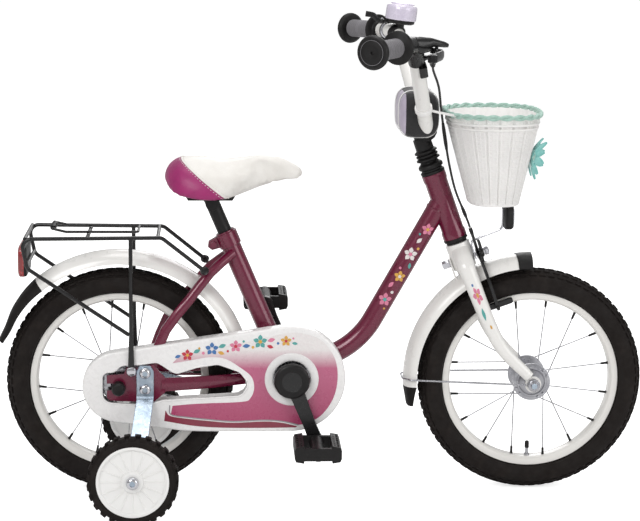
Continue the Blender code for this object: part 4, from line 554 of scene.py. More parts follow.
# %% [markdown]
# The frame is sprayed in a deep berry red with fine metal flakes under a clear coat. The flakes are small
# cells that lighten the colour a little, and the coat gives the sharp highlight over a softer one. Spray
# leaves a faint orange-peel relief, much finer than the tube.

# %% Paints
def sprayed(name, colour, flake, roughness=0.32, metallic=0.0):
    made = Finish(name, colour, roughness, metallic, Coat_Weight=0.6, Coat_Roughness=0.06)
    broad = made.spread(made.noise(9, 3), 0.0, 1.0)
    fine = made.spread(made.noise(2600, 2), 0.0, 1.0, 0.45, 0.75)
    shade = tuple(value * 0.93 for value in colour[:3]) + (1,)
    made.colour(made.mix(fine, made.mix(broad, shade, colour), flake))
    made.wear(60, 5, roughness - 0.06, roughness + 0.08)
    return made.relief(made.noise(420, 2), 0.00006, 0.35).material


berry = sprayed("berry_spray", srgb(100, 6, 44), srgb(122, 18, 62), 0.26, 0.15)
white_spray = sprayed("white_spray", srgb(238, 236, 232), srgb(243, 241, 238), 0.30)
rim_spray = sprayed("rim_spray", srgb(232, 229, 224), srgb(239, 237, 233), 0.34)
print("paints:", berry.name, white_spray.name, rim_spray.name)

# %% [markdown]
# The black and white fittings are injection moulded. Such plastic has a spark-eroded grain of about a third
# of a millimetre, a dull gloss that varies with handling, and pale scuffs that run in short streaks.

# %% Moulded plastics
def moulded(name, colour, scuff, roughness=0.45, grain=0.00003, coat=0.0, gleam=0.5):
    made = Finish(name, colour, roughness, 0.0, Coat_Weight=coat, Coat_Roughness=0.15,
                  Specular_IOR_Level=gleam)
    streaks = made.spread(made.noise(90, 6, 0.7, (1, 1, 5)), 0.0, 0.75, 0.62, 0.80)
    broad = made.spread(made.noise(22, 3), 0.0, 1.0)
    dull = tuple(value * 0.95 for value in colour[:3]) + (1,)
    made.colour(made.mix(streaks, made.mix(broad, dull, colour), scuff))
    made.wear(140, 5, roughness - 0.08, roughness + 0.12)
    return made.relief(made.noise(3000, 3), grain, 0.5).material


black_moulding = moulded("black_moulding", srgb(17, 15, 15), srgb(31, 29, 29), gleam=0.35)
rod_black = moulded("rod_black", srgb(13, 12, 13), srgb(28, 26, 28), 0.30, 0.00002, 0.3, 0.4)
white_moulding = moulded("white_moulding", srgb(240, 239, 237), srgb(233, 231, 228), 0.36, 0.00002, 0.2)
case_white = moulded("case_white", srgb(240, 238, 237), srgb(234, 231, 229), 0.26, 0.00001, 0.5)
wicker_white = moulded("wicker_white", srgb(244, 242, 240), srgb(238, 235, 232), 0.42, 0.00004)
print("mouldings:", black_moulding.name, white_moulding.name, wicker_white.name)

# %% [markdown]
# Tyre rubber is nearly black with a brown cast, and dusty where it bulges. It is matt, and its relief has two
# scales: a fine bloom and the coarser marks of the mould. The grips' rubber is greyer and a little smoother.

# %% Rubbers
def rubber(name, colour, dust, roughness=0.72):
    made = Finish(name, colour, roughness, 0.0, Specular_IOR_Level=0.22)
    patches = made.spread(made.noise(34, 6, 0.65), 0.0, 0.8, 0.50, 0.75)
    made.colour(made.mix(patches, colour, dust))
    made.wear(70, 5, roughness - 0.1, roughness + 0.15)
    made.relief(made.noise(1800, 4), 0.00005, 0.6)
    return made.relief(made.noise(160, 3), 0.00015, 0.4).material


tyre_rubber = rubber("tyre_rubber_dark", srgb(25, 20, 18), srgb(38, 32, 29))
grip_rubber = rubber("grip_rubber_grey", srgb(122, 120, 123), srgb(140, 138, 142), 0.45)
flap_rubber = rubber("flap_rubber", srgb(20, 17, 16), srgb(33, 29, 27), 0.6)
print("rubbers:", tyre_rubber.name, grip_rubber.name)

# %% [markdown]
# Bright steel, zinc plate and chrome differ in how far they blur what they mirror. Zinc plate has a bluish
# cast and cloudy patches. Spokes and hubs are drawn and turned, so their marks run along one direction.

# %% Metals
def metal(name, colour, dark, roughness, cloud=30, marks=(1, 1, 1)):
    made = Finish(name, colour, roughness, 1.0)
    patches = made.spread(made.noise(cloud, 5, 0.6), 0.0, 1.0)
    made.colour(made.mix(patches, dark, colour))
    made.gloss(made.spread(made.noise(220, 5, 0.6, marks), roughness - 0.07, roughness + 0.12))
    return made.relief(made.noise(900, 3, 0.5, marks), 0.00002, 0.5).material


steel = metal("bright_steel", srgb(196, 196, 200), srgb(168, 168, 174), 0.24)
chrome = metal("chrome", srgb(214, 214, 218), srgb(198, 198, 204), 0.12, 18)
zinc = metal("zinc_plate", srgb(188, 200, 212), srgb(158, 174, 190), 0.28, 60)
hub_metal = metal("turned_hub", srgb(190, 190, 194), srgb(160, 160, 166), 0.30, 40, (1, 9, 1))
print("metals:", steel.name, chrome.name, zinc.name, hub_metal.name)

# %% [markdown]
# Road bicycles' tyres are plain, but a child's tyre has a blocky tread. The carcass is turned from its
# section, a little below full size, and rows of separate blocks stand on it up to the tyre's real radius. Two
# thin ribs run round the sidewall on the chain side. Blocks are set by a loop along the tread, and every
# second row is staggered by half a step.

# %% Tyres
TYRE_HALF, TREAD = 0.0235, 0.0018
BEAD_OUTER, BEAD_INNER, BEAD_HALF = 0.1368, 0.1326, 0.0128
BLOCKS, BLOCK_FOOT = 72, 0.74
BLOCK_ROWS = ((0, 12, 0.0), (26, 10, 0.5), (-26, 10, 0.5), (47, 8, 0.0), (-47, 8, 0.0))


def tyre_point(centre, wheel_turn, section_turn, lift):
    """A place on the tyre: an angle round the wheel, one round its section, and a lift off the carcass."""
    reach = TYRE_HALF - TREAD + lift
    radius = TYRE_RADIUS - TYRE_HALF + reach * math.cos(section_turn)
    return centre + outward(wheel_turn) * radius + LEFT * (reach * math.sin(section_turn))


def tyre_profile():
    profile = []
    for degrees in range(-118, 119, 8):
        rib = 0.0006 if abs(degrees) in (78, 94) else 0.0
        bend = math.radians(degrees)
        reach = TYRE_HALF - TREAD + rib + (TREAD if abs(degrees) > 60 else 0.0)
        profile.append((TYRE_RADIUS - TYRE_HALF + reach * math.cos(bend), reach * math.sin(bend)))
    return profile + [(BEAD_OUTER, BEAD_HALF), (BEAD_INNER, BEAD_HALF - 0.001),
                      (BEAD_INNER, 0.001 - BEAD_HALF), (BEAD_OUTER, -BEAD_HALF)]


def tyre(name, body, centre):
    bm = bmesh.new()
    add_ring(bm, tyre_profile(), centre, LEFT, 144)
    pitch = 2 * math.pi / BLOCKS
    for degrees, width, shift in BLOCK_ROWS:
        for index in range(BLOCKS):
            middle = (index + shift) * pitch
            rings = []
            for lift, share in ((-0.001, BLOCK_FOOT), (0.0012, 0.70), (TREAD, 0.60)):
                ring = []
                for a, b in ((-1, -1), (1, -1), (1, 1), (-1, 1)):
                    section = math.radians(degrees + b * width / 2 * (share / BLOCK_FOOT))
                    ring.append(tyre_point(centre, middle + a * share * pitch / 2, section, lift))
                rings.append(ring)
            add_loft(bm, rings)
    return piece(name + "_full", bm, tyre_rubber, body, [name], 35)


tyre("rear_tyre", "rear_wheel", REAR_AXLE)
tyre("front_tyre", "front_wheel", FRONT_AXLE)
print("tread blocks on each tyre:", BLOCKS * len(BLOCK_ROWS))

# %% [markdown]
# The rim is a rolled channel in warm white. Its section is softened before it is turned. The valve stands
# inwards from the rim with a bright cap on it.

# %% Rims
RIM_RADIUS, RIM_DEPTH, RIM_LIP, RIM_WELL = 0.1366, 0.012, 0.015, 0.0045


def rim(name, body, centre):
    inner, well = RIM_RADIUS - RIM_DEPTH, RIM_RADIUS - RIM_WELL
    section = [(RIM_RADIUS, RIM_LIP), (inner + 0.003, RIM_LIP - 0.002), (inner, RIM_LIP - 0.0065),
               (inner, 0.0065 - RIM_LIP), (inner + 0.003, 0.002 - RIM_LIP), (RIM_RADIUS, -RIM_LIP),
               (RIM_RADIUS, 0.0019 - RIM_LIP), (well, 0.0025 - RIM_LIP), (well, RIM_LIP - 0.0025),
               (RIM_RADIUS, RIM_LIP - 0.0019)]
    bm = bmesh.new()
    add_ring(bm, soften(section, 0.0016), centre, LEFT, 128)
    valve = centre - UP * (inner - 0.022)
    stem = [(0.0016, -0.001), (0.0030, 0.0), (0.0034, 0.002), (0.0034, 0.010), (0.0028, 0.0105)]
    add_turned(bm, stem, valve, -UP, 20, 1)
    cap = [(0.0024, 0.0102), (0.0024, 0.0180), (0.0042, 0.0195), (0.0042, 0.0235)]
    add_turned(bm, cap, valve, -UP, 20, 2)
    return piece(name + "_full", bm, [rim_spray, black_moulding, steel], body, [name])


rim("rear_rim", "rear_wheel", REAR_AXLE)
rim("front_rim", "front_wheel", FRONT_AXLE)
print("rim across", round(2 * RIM_RADIUS * 1000), "mm")

# %% [markdown]
# A hub is one turned body with two high flanges. Sixteen thin spokes run from them to the rim, where each
# ends in a small dark nipple. A spoke leans back or forwards by the same angle and passes just inside or
# outside its neighbour. Its place follows from its number alone, so a single loop makes the crossed pattern.

# %% Hubs and spokes
SPOKES = 16
SPOKE_LEAN = math.radians(33.75)
FLANGE_RADIUS, FLANGE_PLACE = 0.029, 0.0285
HUB_BORE, SPOKE_RADIUS = 0.0056, 0.0009


def hub(name, body, centre, barrel, end, first_spoke):
    low, high = FLANGE_PLACE - 0.002, FLANGE_PLACE + 0.002
    half = [(barrel, 0.004), (barrel, low - 0.004), (barrel + 0.004, low), (FLANGE_RADIUS, low),
            (FLANGE_RADIUS, high), (0.0235, high), (0.0230, high + 0.0012), (0.0200, high + 0.0012),
            (0.0195, high), (barrel * 0.9, high), (barrel * 0.8, end), (HUB_BORE, end)]
    section = half + [(r, -h) for r, h in reversed(half)]
    bm = bmesh.new()
    add_ring(bm, soften(section, 0.0008, 2), centre, LEFT, 64)
    reach, root_reach = RIM_RADIUS - RIM_DEPTH, FLANGE_RADIUS - 0.003
    for index in range(SPOKES):
        side = 1 if index % 2 else -1
        out = LEFT * side
        lean = SPOKE_LEAN if index % 4 < 2 else -SPOKE_LEAN
        tip_turn = math.radians(first_spoke + index * 360 / SPOKES)
        root_turn = tip_turn + lean
        apart = 0.0010 if lean > 0 else -0.0010
        tip = centre + Vector((reach * math.cos(tip_turn), side * (0.003 + apart * 2),
                               reach * math.sin(tip_turn)))
        root = centre + Vector((root_reach * math.cos(root_turn), side * (FLANGE_PLACE + apart),
                                root_reach * math.sin(root_turn)))
        along = (root - tip).normalized()
        add_tube(bm, [root, tip + along * 0.001], SPOKE_RADIUS, 8, kind=1)
        nipple = [(0.0023, -0.0005), (0.0020, 0.003), (0.0018, 0.011), (0.0012, 0.012)]
        add_turned(bm, nipple, tip, along, 10, 2)
        spoke_head = [(0.0022, 0.0012), (0.0020, 0.0028), (0.0010, 0.0033)]
        add_turned(bm, spoke_head, root + out * (0.001 - apart), out, 10, 1)
    return piece(name + "_full", bm, [hub_metal, steel, black_moulding], body, [name])


hub("rear_hub", "rear_wheel", REAR_AXLE, 0.020, 0.0350, 5.0)
hub("front_hub", "front_wheel", FRONT_AXLE, 0.012, 0.0405, 11.3)
print("spokes in each wheel:", SPOKES)

# %% [markdown]
# The training wheels are one-piece plastic discs with a solid rubber tyre. The disc is dished between its rim
# and its boss, and low ribs run between them. The knobbly tyre is made as the large ones are, from a turned
# body and two staggered rows of blocks.

# %% Training wheels
TRAINER_RADIUS, TRAINER_HALF, TRAINER_TREAD = 0.067, 0.014, 0.0035
DISC_RADIUS, DISC_BORE = 0.0535, 0.0048
TRAINER_X, TRAINER_PLACE = 0.026, 0.190
TRAINER_BLOCKS, DISC_RIBS = 26, 16


def trainer_tyre(side, word):
    centre = at(TRAINER_X, side * TRAINER_PLACE, TRAINER_RADIUS)
    base = TRAINER_RADIUS - TRAINER_TREAD
    bm = bmesh.new()
    section = [(DISC_RADIUS - 0.001, -TRAINER_HALF), (base - 0.003, -TRAINER_HALF),
               (base, 0.003 - TRAINER_HALF), (base, TRAINER_HALF - 0.003), (base - 0.003, TRAINER_HALF),
               (DISC_RADIUS - 0.001, TRAINER_HALF)]
    add_ring(bm, soften(section, 0.002, 2), centre, LEFT, 96)
    pitch = 2 * math.pi / TRAINER_BLOCKS
    for shift, start, stop in ((0.0, 0.001, TRAINER_HALF - 0.0015), (0.5, 0.0015 - TRAINER_HALF, -0.001)):
        for index in range(TRAINER_BLOCKS):
            middle = (index + shift) * pitch
            rings = []
            for radius, share in ((base - 0.001, 0.62), (TRAINER_RADIUS - 0.0007, 0.58),
                                  (TRAINER_RADIUS, 0.48)):
                ring = []
                for a, y in ((-1, start), (1, start), (1, stop), (-1, stop)):
                    turn = middle + a * share * pitch / 2
                    ring.append(centre + Vector((radius * math.cos(turn), y, radius * math.sin(turn))))
                rings.append(ring)
            add_loft(bm, rings)
    return piece(f"training_tyre_{word}_full", bm, tyre_rubber, "training_wheel_" + word,
                 ["training_tyre_" + word], 35)


def trainer_disc(side, word):
    centre = at(TRAINER_X, side * TRAINER_PLACE, TRAINER_RADIUS)
    half, r = TRAINER_HALF, DISC_RADIUS
    section = [(DISC_BORE, -half), (0.012, -half), (0.014, 0.006 - half), (r - 0.006, 0.006 - half),
               (r - 0.004, -half), (r, -half), (r, half), (r - 0.004, half), (r - 0.0065, half - 0.0045),
               (0.0170, half - 0.0052), (0.0150, half - 0.0006), (DISC_BORE, half - 0.0006)]
    bm = bmesh.new()
    out = LEFT * side
    add_ring(bm, soften(section, 0.0011, 3), centre, out, 96)
    base = centre + out * (half - 0.0056)
    rib = [(0.0011, 0.0), (0.0011, 0.0014), (0.0006, 0.0020), (-0.0006, 0.0020), (-0.0011, 0.0014),
           (-0.0011, 0.0)]
    for index in range(DISC_RIBS):
        ahead = outward(2 * math.pi * index / DISC_RIBS)
        across = out.cross(ahead)
        add_loft(bm, [[base + ahead * reach + across * a + out * b for a, b in rib]
                      for reach in (0.0150, r - 0.0050)])
    return piece(f"training_disc_{word}_full", bm, white_moulding, "training_wheel_" + word,
                 ["training_disc_" + word])


for side, word in ((-1, "right"), (1, "left")):
    trainer_tyre(side, word)
    trainer_disc(side, word)
print("training wheels across", round(2 * TRAINER_RADIUS * 1000), "mm")

# %% [markdown]
# The frame's tubes keep their solids: head tube, seat tube and stays are plain and only need paint and softer
# edges. The long bent tube is made again with more sides, because its highlight runs its whole length and
# would show every facet.

# %% Frame tubes
for node in ("head_tube", "seat_tube", "chain_stay_right", "chain_stay_left", "seat_stay_right",
             "seat_stay_left"):
    dress(node, berry, 0.0005, 48)
for node in ("headset_lower", "headset_upper"):
    dress(node, black_moulding)
dress("rear_axle", zinc)
dress("front_axle", zinc)
dress("rear_sprocket", steel, 0.0003)
dress("chain", steel, 0.0004)
dress("chainring", steel, 0.0003)
dress("chain_case_back", case_white)

DOWN_TUBE_RADIUS = 0.0155
down_start, down_corner = head(0.062), at(0.366, 0, 0.228)


def down_tube():
    path = rounded([down_start, down_corner, BOTTOM_BRACKET], 0.130, 24)
    bm = bmesh.new()
    add_tube(bm, path, DOWN_TUBE_RADIUS, 36, LEFT)
    collar = [(DOWN_TUBE_RADIUS + 0.0006, 0.0165), (DOWN_TUBE_RADIUS + 0.0014, 0.0180),
              (DOWN_TUBE_RADIUS + 0.0004, 0.0205)]
    add_turned(bm, collar, down_start, down_corner - down_start, 36)
    return piece("down_tube_full", bm, berry, "frame", ["down_tube"])


down_tube()
print("down tube across", round(DOWN_TUBE_RADIUS * 2000), "mm")

# %% [markdown]
# A child's bicycle wears a few small stickers. These are generic: five-petalled blossoms, single leaves and
# dots, laid out along a loose line. Each is a real thin film, a quarter of a millimetre thick, so that it
# catches the light at its edge. One function lays a flat motif on any surface, given how that surface turns
# two flat numbers and a height into a place.

# %% Sticker motifs
FILM = 0.00022


def film(name, colour, second=None):
    made = Finish(name, colour, 0.35, 0.0, Coat_Weight=0.4, Coat_Roughness=0.1)
    made.drift(160, 4, colour, second or tuple(v * 0.85 for v in colour[:3]) + (1,))
    made.wear(300, 4, 0.28, 0.44)
    return made.relief(made.noise(1200, 2), 0.00001, 0.4).material


FILM_COLOURS = {
    "red": film("film_red", srgb(196, 40, 62)),
    "blue": film("film_blue", srgb(64, 116, 176)),
    "gold": film("film_gold", srgb(222, 168, 70)),
    "teal": film("film_teal", srgb(84, 168, 162)),
    "rose": film("film_rose", srgb(222, 128, 158)),
    "pale": film("film_pale", srgb(232, 224, 222)),
}
FILM_ORDER = list(FILM_COLOURS)


def dot(radius):
    return [(radius * math.cos(a), radius * math.sin(a)) for a in [2 * math.pi * i / 16 for i in range(16)]]


def leaf(length, width, turn, start=0.0):
    """A pointed leaf from a start distance outwards, turned by an angle."""
    steps = 7
    upper = [(start + length * i / steps, width * math.sin(math.pi * i / steps)) for i in range(steps + 1)]
    lower = [(x, -y) for x, y in reversed(upper[1:-1])]
    c, s = math.cos(turn), math.sin(turn)
    return [(x * c - y * s, x * s + y * c) for x, y in upper + lower]


def blossom(size):
    """Five leaves round a dot."""
    petals = [(leaf(size, size * 0.36, 2 * math.pi * i / 5 + 0.3, size * 0.15), 0) for i in range(5)]
    return petals + [(dot(size * 0.30), 1)]


def lay(bm, outline, place, surface, kind, lift=0.0):
    """Lays a flat outline on a surface as a thin closed film."""
    rings = []
    for height in (lift, lift + FILM):
        rings.append([surface(place[0] + a, place[1] + b, height) for a, b in outline])
    add_loft(bm, rings, False, kind)


def stickers(name, layout, surface, body):
    """A layout is rows of kind, place along and across, size, turn in degrees and one or two colours."""
    bm = bmesh.new()
    for form, u, v, size, degrees, colours in layout:
        kinds = [FILM_ORDER.index(colour) for colour in colours.split()]
        if form == "dot":
            lay(bm, dot(size), (u, v), surface, kinds[0])
        elif form == "leaf":
            lay(bm, leaf(size, size * 0.26, math.radians(degrees)), (u, v), surface, kinds[0])
        else:
            for outline, part in blossom(size):
                lay(bm, outline, (u, v), surface, kinds[part], FILM * part)
    return piece(name, bm, list(FILM_COLOURS.values()), body, (), 30)


print("sticker colours:", ", ".join(FILM_COLOURS))

# %% [markdown]
# On the down tube the motifs follow the round surface: the flat height becomes an angle round the tube. The
# same trail is laid on both sides.

# %% Stickers on the down tube
tube_along = (down_corner - down_start).normalized()


def tube_surface(side):
    across = tube_along.cross(LEFT * side).normalized()

    def surface(u, v, height):
        reach = DOWN_TUBE_RADIUS + 0.0001 + height
        a = v / DOWN_TUBE_RADIUS
        return down_start + tube_along * u + (LEFT * side * math.cos(a) + across * math.sin(a)) * reach

    return surface


tube_trail = [
    ("blossom", 0.050, -0.002, 0.0085, 0, "rose gold"), ("dot", 0.062, 0.005, 0.0018, 0, "teal"),
    ("leaf", 0.066, -0.001, 0.011, 20, "pale"), ("dot", 0.083, -0.004, 0.0022, 0, "gold"),
    ("blossom", 0.096, 0.002, 0.0095, 0, "pale rose"), ("leaf", 0.108, -0.004, 0.010, -25, "teal"),
    ("dot", 0.122, 0.005, 0.0020, 0, "rose"), ("blossom", 0.134, -0.001, 0.0080, 0, "gold pale"),
    ("leaf", 0.146, 0.003, 0.011, 15, "rose"), ("dot", 0.161, -0.003, 0.0024, 0, "pale"),
    ("blossom", 0.176, 0.001, 0.0095, 0, "rose teal"), ("dot", 0.189, -0.005, 0.0017, 0, "gold"),
]
for side, word in ((-1, "right"), (1, "left")):
    stickers("tube_stickers_" + word, tube_trail, tube_surface(side), "frame")
print("motifs on each side:", len(tube_trail))

# %% [markdown]
# Fenders are rolled from thin sheet into an arch, and their edges are turned in to a small bead. Here the
# section is an outer skin and an inner one, joined at two beads, carried round the axle in many small steps.
# The front one ends in a black moulded tip, and both carry a soft rubber flap at the low end.

# %% Fenders
FENDER_DEPTH, FENDER_HALF, FENDER_THICK = 0.018, 0.0275, 0.0018
REAR_FENDER, FRONT_FENDER = 0.2025, 0.1965
REAR_ARC, FRONT_ARC, TIP_ARC = (14, 129, 60), (97, 183, 48), (90.6, 97.5, 6)
BRIDGE_TURN = math.radians(51)


def fender_section(radius, extra=0.0, ridges=0.0):
    """An outer skin and an inner one, joined by a bead at each edge."""
    outer, inner = [], []
    for degrees in range(-90, 91, 10):
        a = math.radians(degrees)
        bead = 0.0009 if abs(degrees) == 90 else 0.0
        swell = ridges * math.cos(a * 9)
        outer.append((radius - FENDER_DEPTH + (FENDER_DEPTH + extra + swell) * math.cos(a),
                      (FENDER_HALF + extra + bead) * math.sin(a)))
        inner.append((radius - FENDER_DEPTH + (FENDER_DEPTH - FENDER_THICK) * math.cos(a),
                      (FENDER_HALF - FENDER_THICK - bead) * math.sin(a)))
    drop = -0.0012
    for row in (outer, inner):
        row[0] = (row[0][0] + drop, row[0][1])
        row[-1] = (row[-1][0] + drop, row[-1][1])
    return outer + list(reversed(inner))


def add_arc(bm, section, centre, start, end, steps, kind=0):
    """Carries a section round an axle between two angles in degrees."""
    rings = []
    for step in range(steps + 1):
        ahead = outward(math.radians(start + (end - start) * step / steps))
        rings.append([centre + ahead * r + LEFT * y for r, y in section])
    return add_loft(bm, rings, False, kind)


def rear_fender():
    bm = bmesh.new()
    add_arc(bm, fender_section(REAR_FENDER), REAR_AXLE, *REAR_ARC)
    spot = REAR_AXLE + outward(BRIDGE_TURN) * (REAR_FENDER + 0.0028)
    add_tube(bm, [spot - LEFT * 0.0335, spot + LEFT * 0.0335], 0.004, 20)
    return piece("rear_fender_full", bm, white_spray, "frame", ["rear_fender"])


def front_fender():
    bm = bmesh.new()
    add_arc(bm, fender_section(FRONT_FENDER), FRONT_AXLE, *FRONT_ARC)
    add_arc(bm, fender_section(FRONT_FENDER, 0.0014), FRONT_AXLE, *TIP_ARC, 1)
    back = -0.0197
    bolt = BRAKE_BOLT + STEER_AHEAD * back
    strap = flat_bar(0.0012, 0.009, 0.0005)
    low = FORK_LENGTH - BRAKE_DROP - math.sqrt((FRONT_FENDER - 0.0009) ** 2 - (FORK_OFFSET - back) ** 2)
    add_sweep(bm, [bolt - STEER_UP * (low + 0.001), bolt - STEER_UP * 0.002, bolt + STEER_UP * 0.008], strap,
              STEER_AHEAD)
    return piece("front_fender_full", bm, [white_spray, black_moulding], "steering",
                 ["front_fender"])


def flap(name, body, centre, radius, turns):
    """A rubber flap that goes on from a fender and flattens, from rows of degrees, lift and width."""
    curve = smooth([Vector(row) for row in turns], 4)
    flat = radius - FENDER_DEPTH * 0.35
    bm = bmesh.new()
    rings = []
    for index, (degrees, lift, wide) in enumerate(curve):
        ahead = outward(math.radians(degrees))
        share = index / (len(curve) - 1)
        ring = []
        for r, y in fender_section(radius, 0.0, 0.0004):
            ring.append(centre + ahead * (r + (flat - r) * 0.55 * share + lift) + LEFT * (y * wide))
        rings.append(ring)
    add_loft(bm, rings)
    return piece(name + "_full", bm, flap_rubber, body, [name])


rear_fender()
front_fender()
flap("rear_mud_flap", "frame", REAR_AXLE, REAR_FENDER,
     [(129.1, 0, 1), (137, -0.001, 1.0), (146, -0.003, 1.02), (154, -0.006, 1.04), (160.6, -0.004, 1.06)])
flap("front_mud_flap", "steering", FRONT_AXLE, FRONT_FENDER,
     [(183.1, 0, 1), (187, 0.0005, 1.0), (192, 0.002, 1.0)])
print("fender sheet", FENDER_THICK * 1000, "mm thick")

# %% [markdown]
# The chain case is one glossy white moulding: a face with a rounded edge, a wall that runs back round the
# chain, and a long window with a raised border. The outer form is a stack of outlines that draw in towards
# the face. Its hollow, its window and the hole for the crank are then cut out of it.

# %% Chain case shell
CASE_FACE, CASE_BACK, CASE_WALL = 0.0585, 0.0345, 0.0020
CASE_FRONT_RADIUS, CASE_REAR_RADIUS, CASE_EDGE = 0.082, 0.055, 0.004


def offset(outline, distance):
    """An outline moved outwards, for a closed run of points that turns left."""
    moved = []
    count = len(outline)
    for index in range(count):
        a, b, c = (Vector(outline[(index + step) % count]) for step in (-1, 0, 1))
        into, out = (b - a).normalized(), (c - b).normalized()
        normal = Vector((into.y + out.y, -into.x - out.x))
        normal /= max(1e-9, normal.dot(Vector((into.y, -into.x))))
        moved.append(tuple(b + normal * distance))
    return moved


def case_outline():
    points = []
    for step in range(49):
        a = math.radians(-88 + 190 * step / 48)
        points.append((CRANK_X + CASE_FRONT_RADIUS * math.cos(a), CRANK_Z + CASE_FRONT_RADIUS * math.sin(a)))
    for step in range(33):
        a = math.radians(98 + 164 * step / 32)
        points.append((CASE_REAR_RADIUS * math.cos(a), TYRE_RADIUS + CASE_REAR_RADIUS * math.sin(a)))
    under = ((-0.008, 0.1196), (0.060, 0.1110), (0.115, 0.1045), (0.265, 0.1040))
    low = smooth([Vector(p) for p in under], 8)
    return points + [tuple(p) for p in low[10:-2]]


def window_outline():
    corners = [(-0.024, 0.151), (0.040, 0.147), (0.066, 0.154), (0.185, 0.161), (0.197, 0.178),
               (0.183, 0.197), (0.150, 0.209), (0.118, 0.204), (0.086, 0.194), (0.058, 0.2125),
               (0.032, 0.2085), (0.004, 0.2075), (-0.006, 0.197), (-0.024, 0.196)]
    return soften(corners, 0.014, 5)


def solid_of(build):
    """A loose solid for cutting: the function adds its shape to a bmesh."""
    bm = bmesh.new()
    build(bm)
    bmesh.ops.recalc_face_normals(bm, faces=bm.faces)
    mesh = bpy.data.meshes.new("cutter")
    bm.to_mesh(mesh)
    bm.free()
    item = bpy.data.objects.new("cutter", mesh)
    bpy.context.scene.collection.objects.link(item)
    return item


def combined(base, steps):
    """Applies (operation, solid) steps to a solid and returns the result as a bmesh."""
    for operation, other in steps:
        modifier = base.modifiers.new(operation, "BOOLEAN")
        modifier.operation = operation
        modifier.solver = "EXACT"
        modifier.object = other
        mesh = bpy.data.meshes.new_from_object(base.evaluated_get(bpy.context.evaluated_depsgraph_get()))
        base.modifiers.clear()
        base.data = mesh
        bpy.data.objects.remove(other, do_unlink=True)
    bm = bmesh.new()
    bm.from_mesh(base.data)
    bpy.data.objects.remove(base, do_unlink=True)
    return bm


def case_block(bm):
    outline = case_outline()
    start = CASE_FACE - CASE_EDGE
    levels = [(CASE_BACK + CASE_WALL + GAP, 0.0), (start, 0.0)]
    levels += [(start + CASE_EDGE * math.sin(a), CASE_EDGE * (1 - math.cos(a)))
               for a in (0.4, 0.8, 1.2, 1.57)]
    add_loft(bm, [[at(x, -y, z) for x, z in offset(outline, -inset)] for y, inset in levels])


def case_lip(bm):
    window = window_outline()
    levels = [(CASE_FACE - 0.0035, 0.0026), (CASE_FACE + 0.0004, 0.0026), (CASE_FACE + 0.0010, 0.0018),
              (CASE_FACE + 0.0010, 0.0008), (CASE_FACE + 0.0004, 0.0002)]
    add_loft(bm, [[at(x, -y, z) for x, z in offset(window, grow)] for y, grow in levels])


crank_hole = BOTTOM_BRACKET - LEFT * 0.05
bm = combined(solid_of(case_block), [
    ("DIFFERENCE", solid_of(lambda b: add_plate(b, offset(case_outline(), -CASE_WALL), -CASE_BACK,
                                                CASE_WALL - CASE_FACE))),
    ("UNION", solid_of(case_lip)),
    ("DIFFERENCE", solid_of(lambda b: add_plate(b, window_outline(), -CASE_BACK + 0.01, -CASE_FACE - 0.01))),
    ("DIFFERENCE", solid_of(lambda b: add_turned(b, [(0.0285, 0), (0.0285, 0.02)], crank_hole, -LEFT, 64))),
])
piece("chain_case_full", bm, case_white, "frame", ["chain_case"], 30)

# %% [markdown]
# A printed film covers the case's front and lower half. It is white at the top and turns to dusty pink over
# about two centimetres of height, with a thin grey line and a darker band along the bottom. The fade is in
# the material, by height. The film's outline runs round the window and leaves a white ring round the crank.

# %% Film on the chain case
def outline_through(points, steps=5):
    path = smooth([Vector((x, z)) / 1000 for x, z in points], steps)
    return [tuple(point) for point in path]


def faded_film():
    made = Finish("film_pink_fade", srgb(165, 72, 104), 0.28, 0.0, Coat_Weight=0.5, Coat_Roughness=0.08)
    height = made.axis("Z")
    low = made.mix(made.spread(height, 0.0, 1.0, 0.115, 0.190), srgb(166, 52, 96), srgb(184, 92, 126))
    fade = made.spread(height, 0.0, 1.0, 0.203, 0.232)
    grain = made.spread(made.noise(500, 3), 0.0, 0.10)
    made.colour(made.mix(grain, made.mix(fade, low, srgb(233, 230, 228)), srgb(190, 110, 136)))
    made.wear(90, 4, 0.22, 0.36)
    return made.relief(made.noise(1500, 2), 0.00001, 0.4).material


PANEL_INSIDE = [(81.5, 211.5), (106.4, 215.5), (137.8, 220.8), (161.4, 218.0), (182.4, 205.5), (200.5, 190.5),
                (205.0, 172.7), (199.5, 157.1), (186.2, 151.0), (122.0, 148.4), (81.3, 145.2)]
PANEL_LOW = [(78.6, 131.8), (100.9, 127.6), (137.8, 123.4), (174.7, 120.5), (222.2, 122.3), (248.6, 120.2),
             (272.4, 114.7)]
PANEL_RIGHT = [(288.3, 116.5), (310.0, 132.3), (325.6, 156.7), (331.6, 183.8), (330.0, 208.9), (322.3, 227.8),
               (308.9, 244.6), (288.8, 254.6), (258.0, 258.0), (205.7, 247.0), (92.0, 223.0)]


def panel_outline():
    return outline_through(PANEL_INSIDE) + outline_through(PANEL_LOW) + outline_through(PANEL_RIGHT)


def film_plate(bm, outline, lift=0.0, kind=0):
    face = CASE_FACE + 0.00005 + lift
    add_plate(bm, outline, -face, -face - FILM, kind)


def ribbon(points, width):
    """A narrow closed outline along a run of points."""
    path = smooth([Vector((x, z)) / 1000 for x, z in points], 5)
    left, right = [], []
    for index, point in enumerate(path):
        ahead = (path[min(index + 1, len(path) - 1)] - path[max(index - 1, 0)]).normalized()
        normal = Vector((-ahead.y, ahead.x)) * (width / 2)
        left.append(tuple(point + normal))
        right.append(tuple(point - normal))
    return left + right[::-1]


def band_outline():
    top = [(x - 1.5, z - 2.2) for x, z in PANEL_LOW]
    bottom = [(268.0, 110.8), (225.0, 110.2), (161.5, 110.6), (115.0, 113.6), (68.5, 121.5)]
    return outline_through([(70.5, 138.0)] + top) + outline_through(bottom)


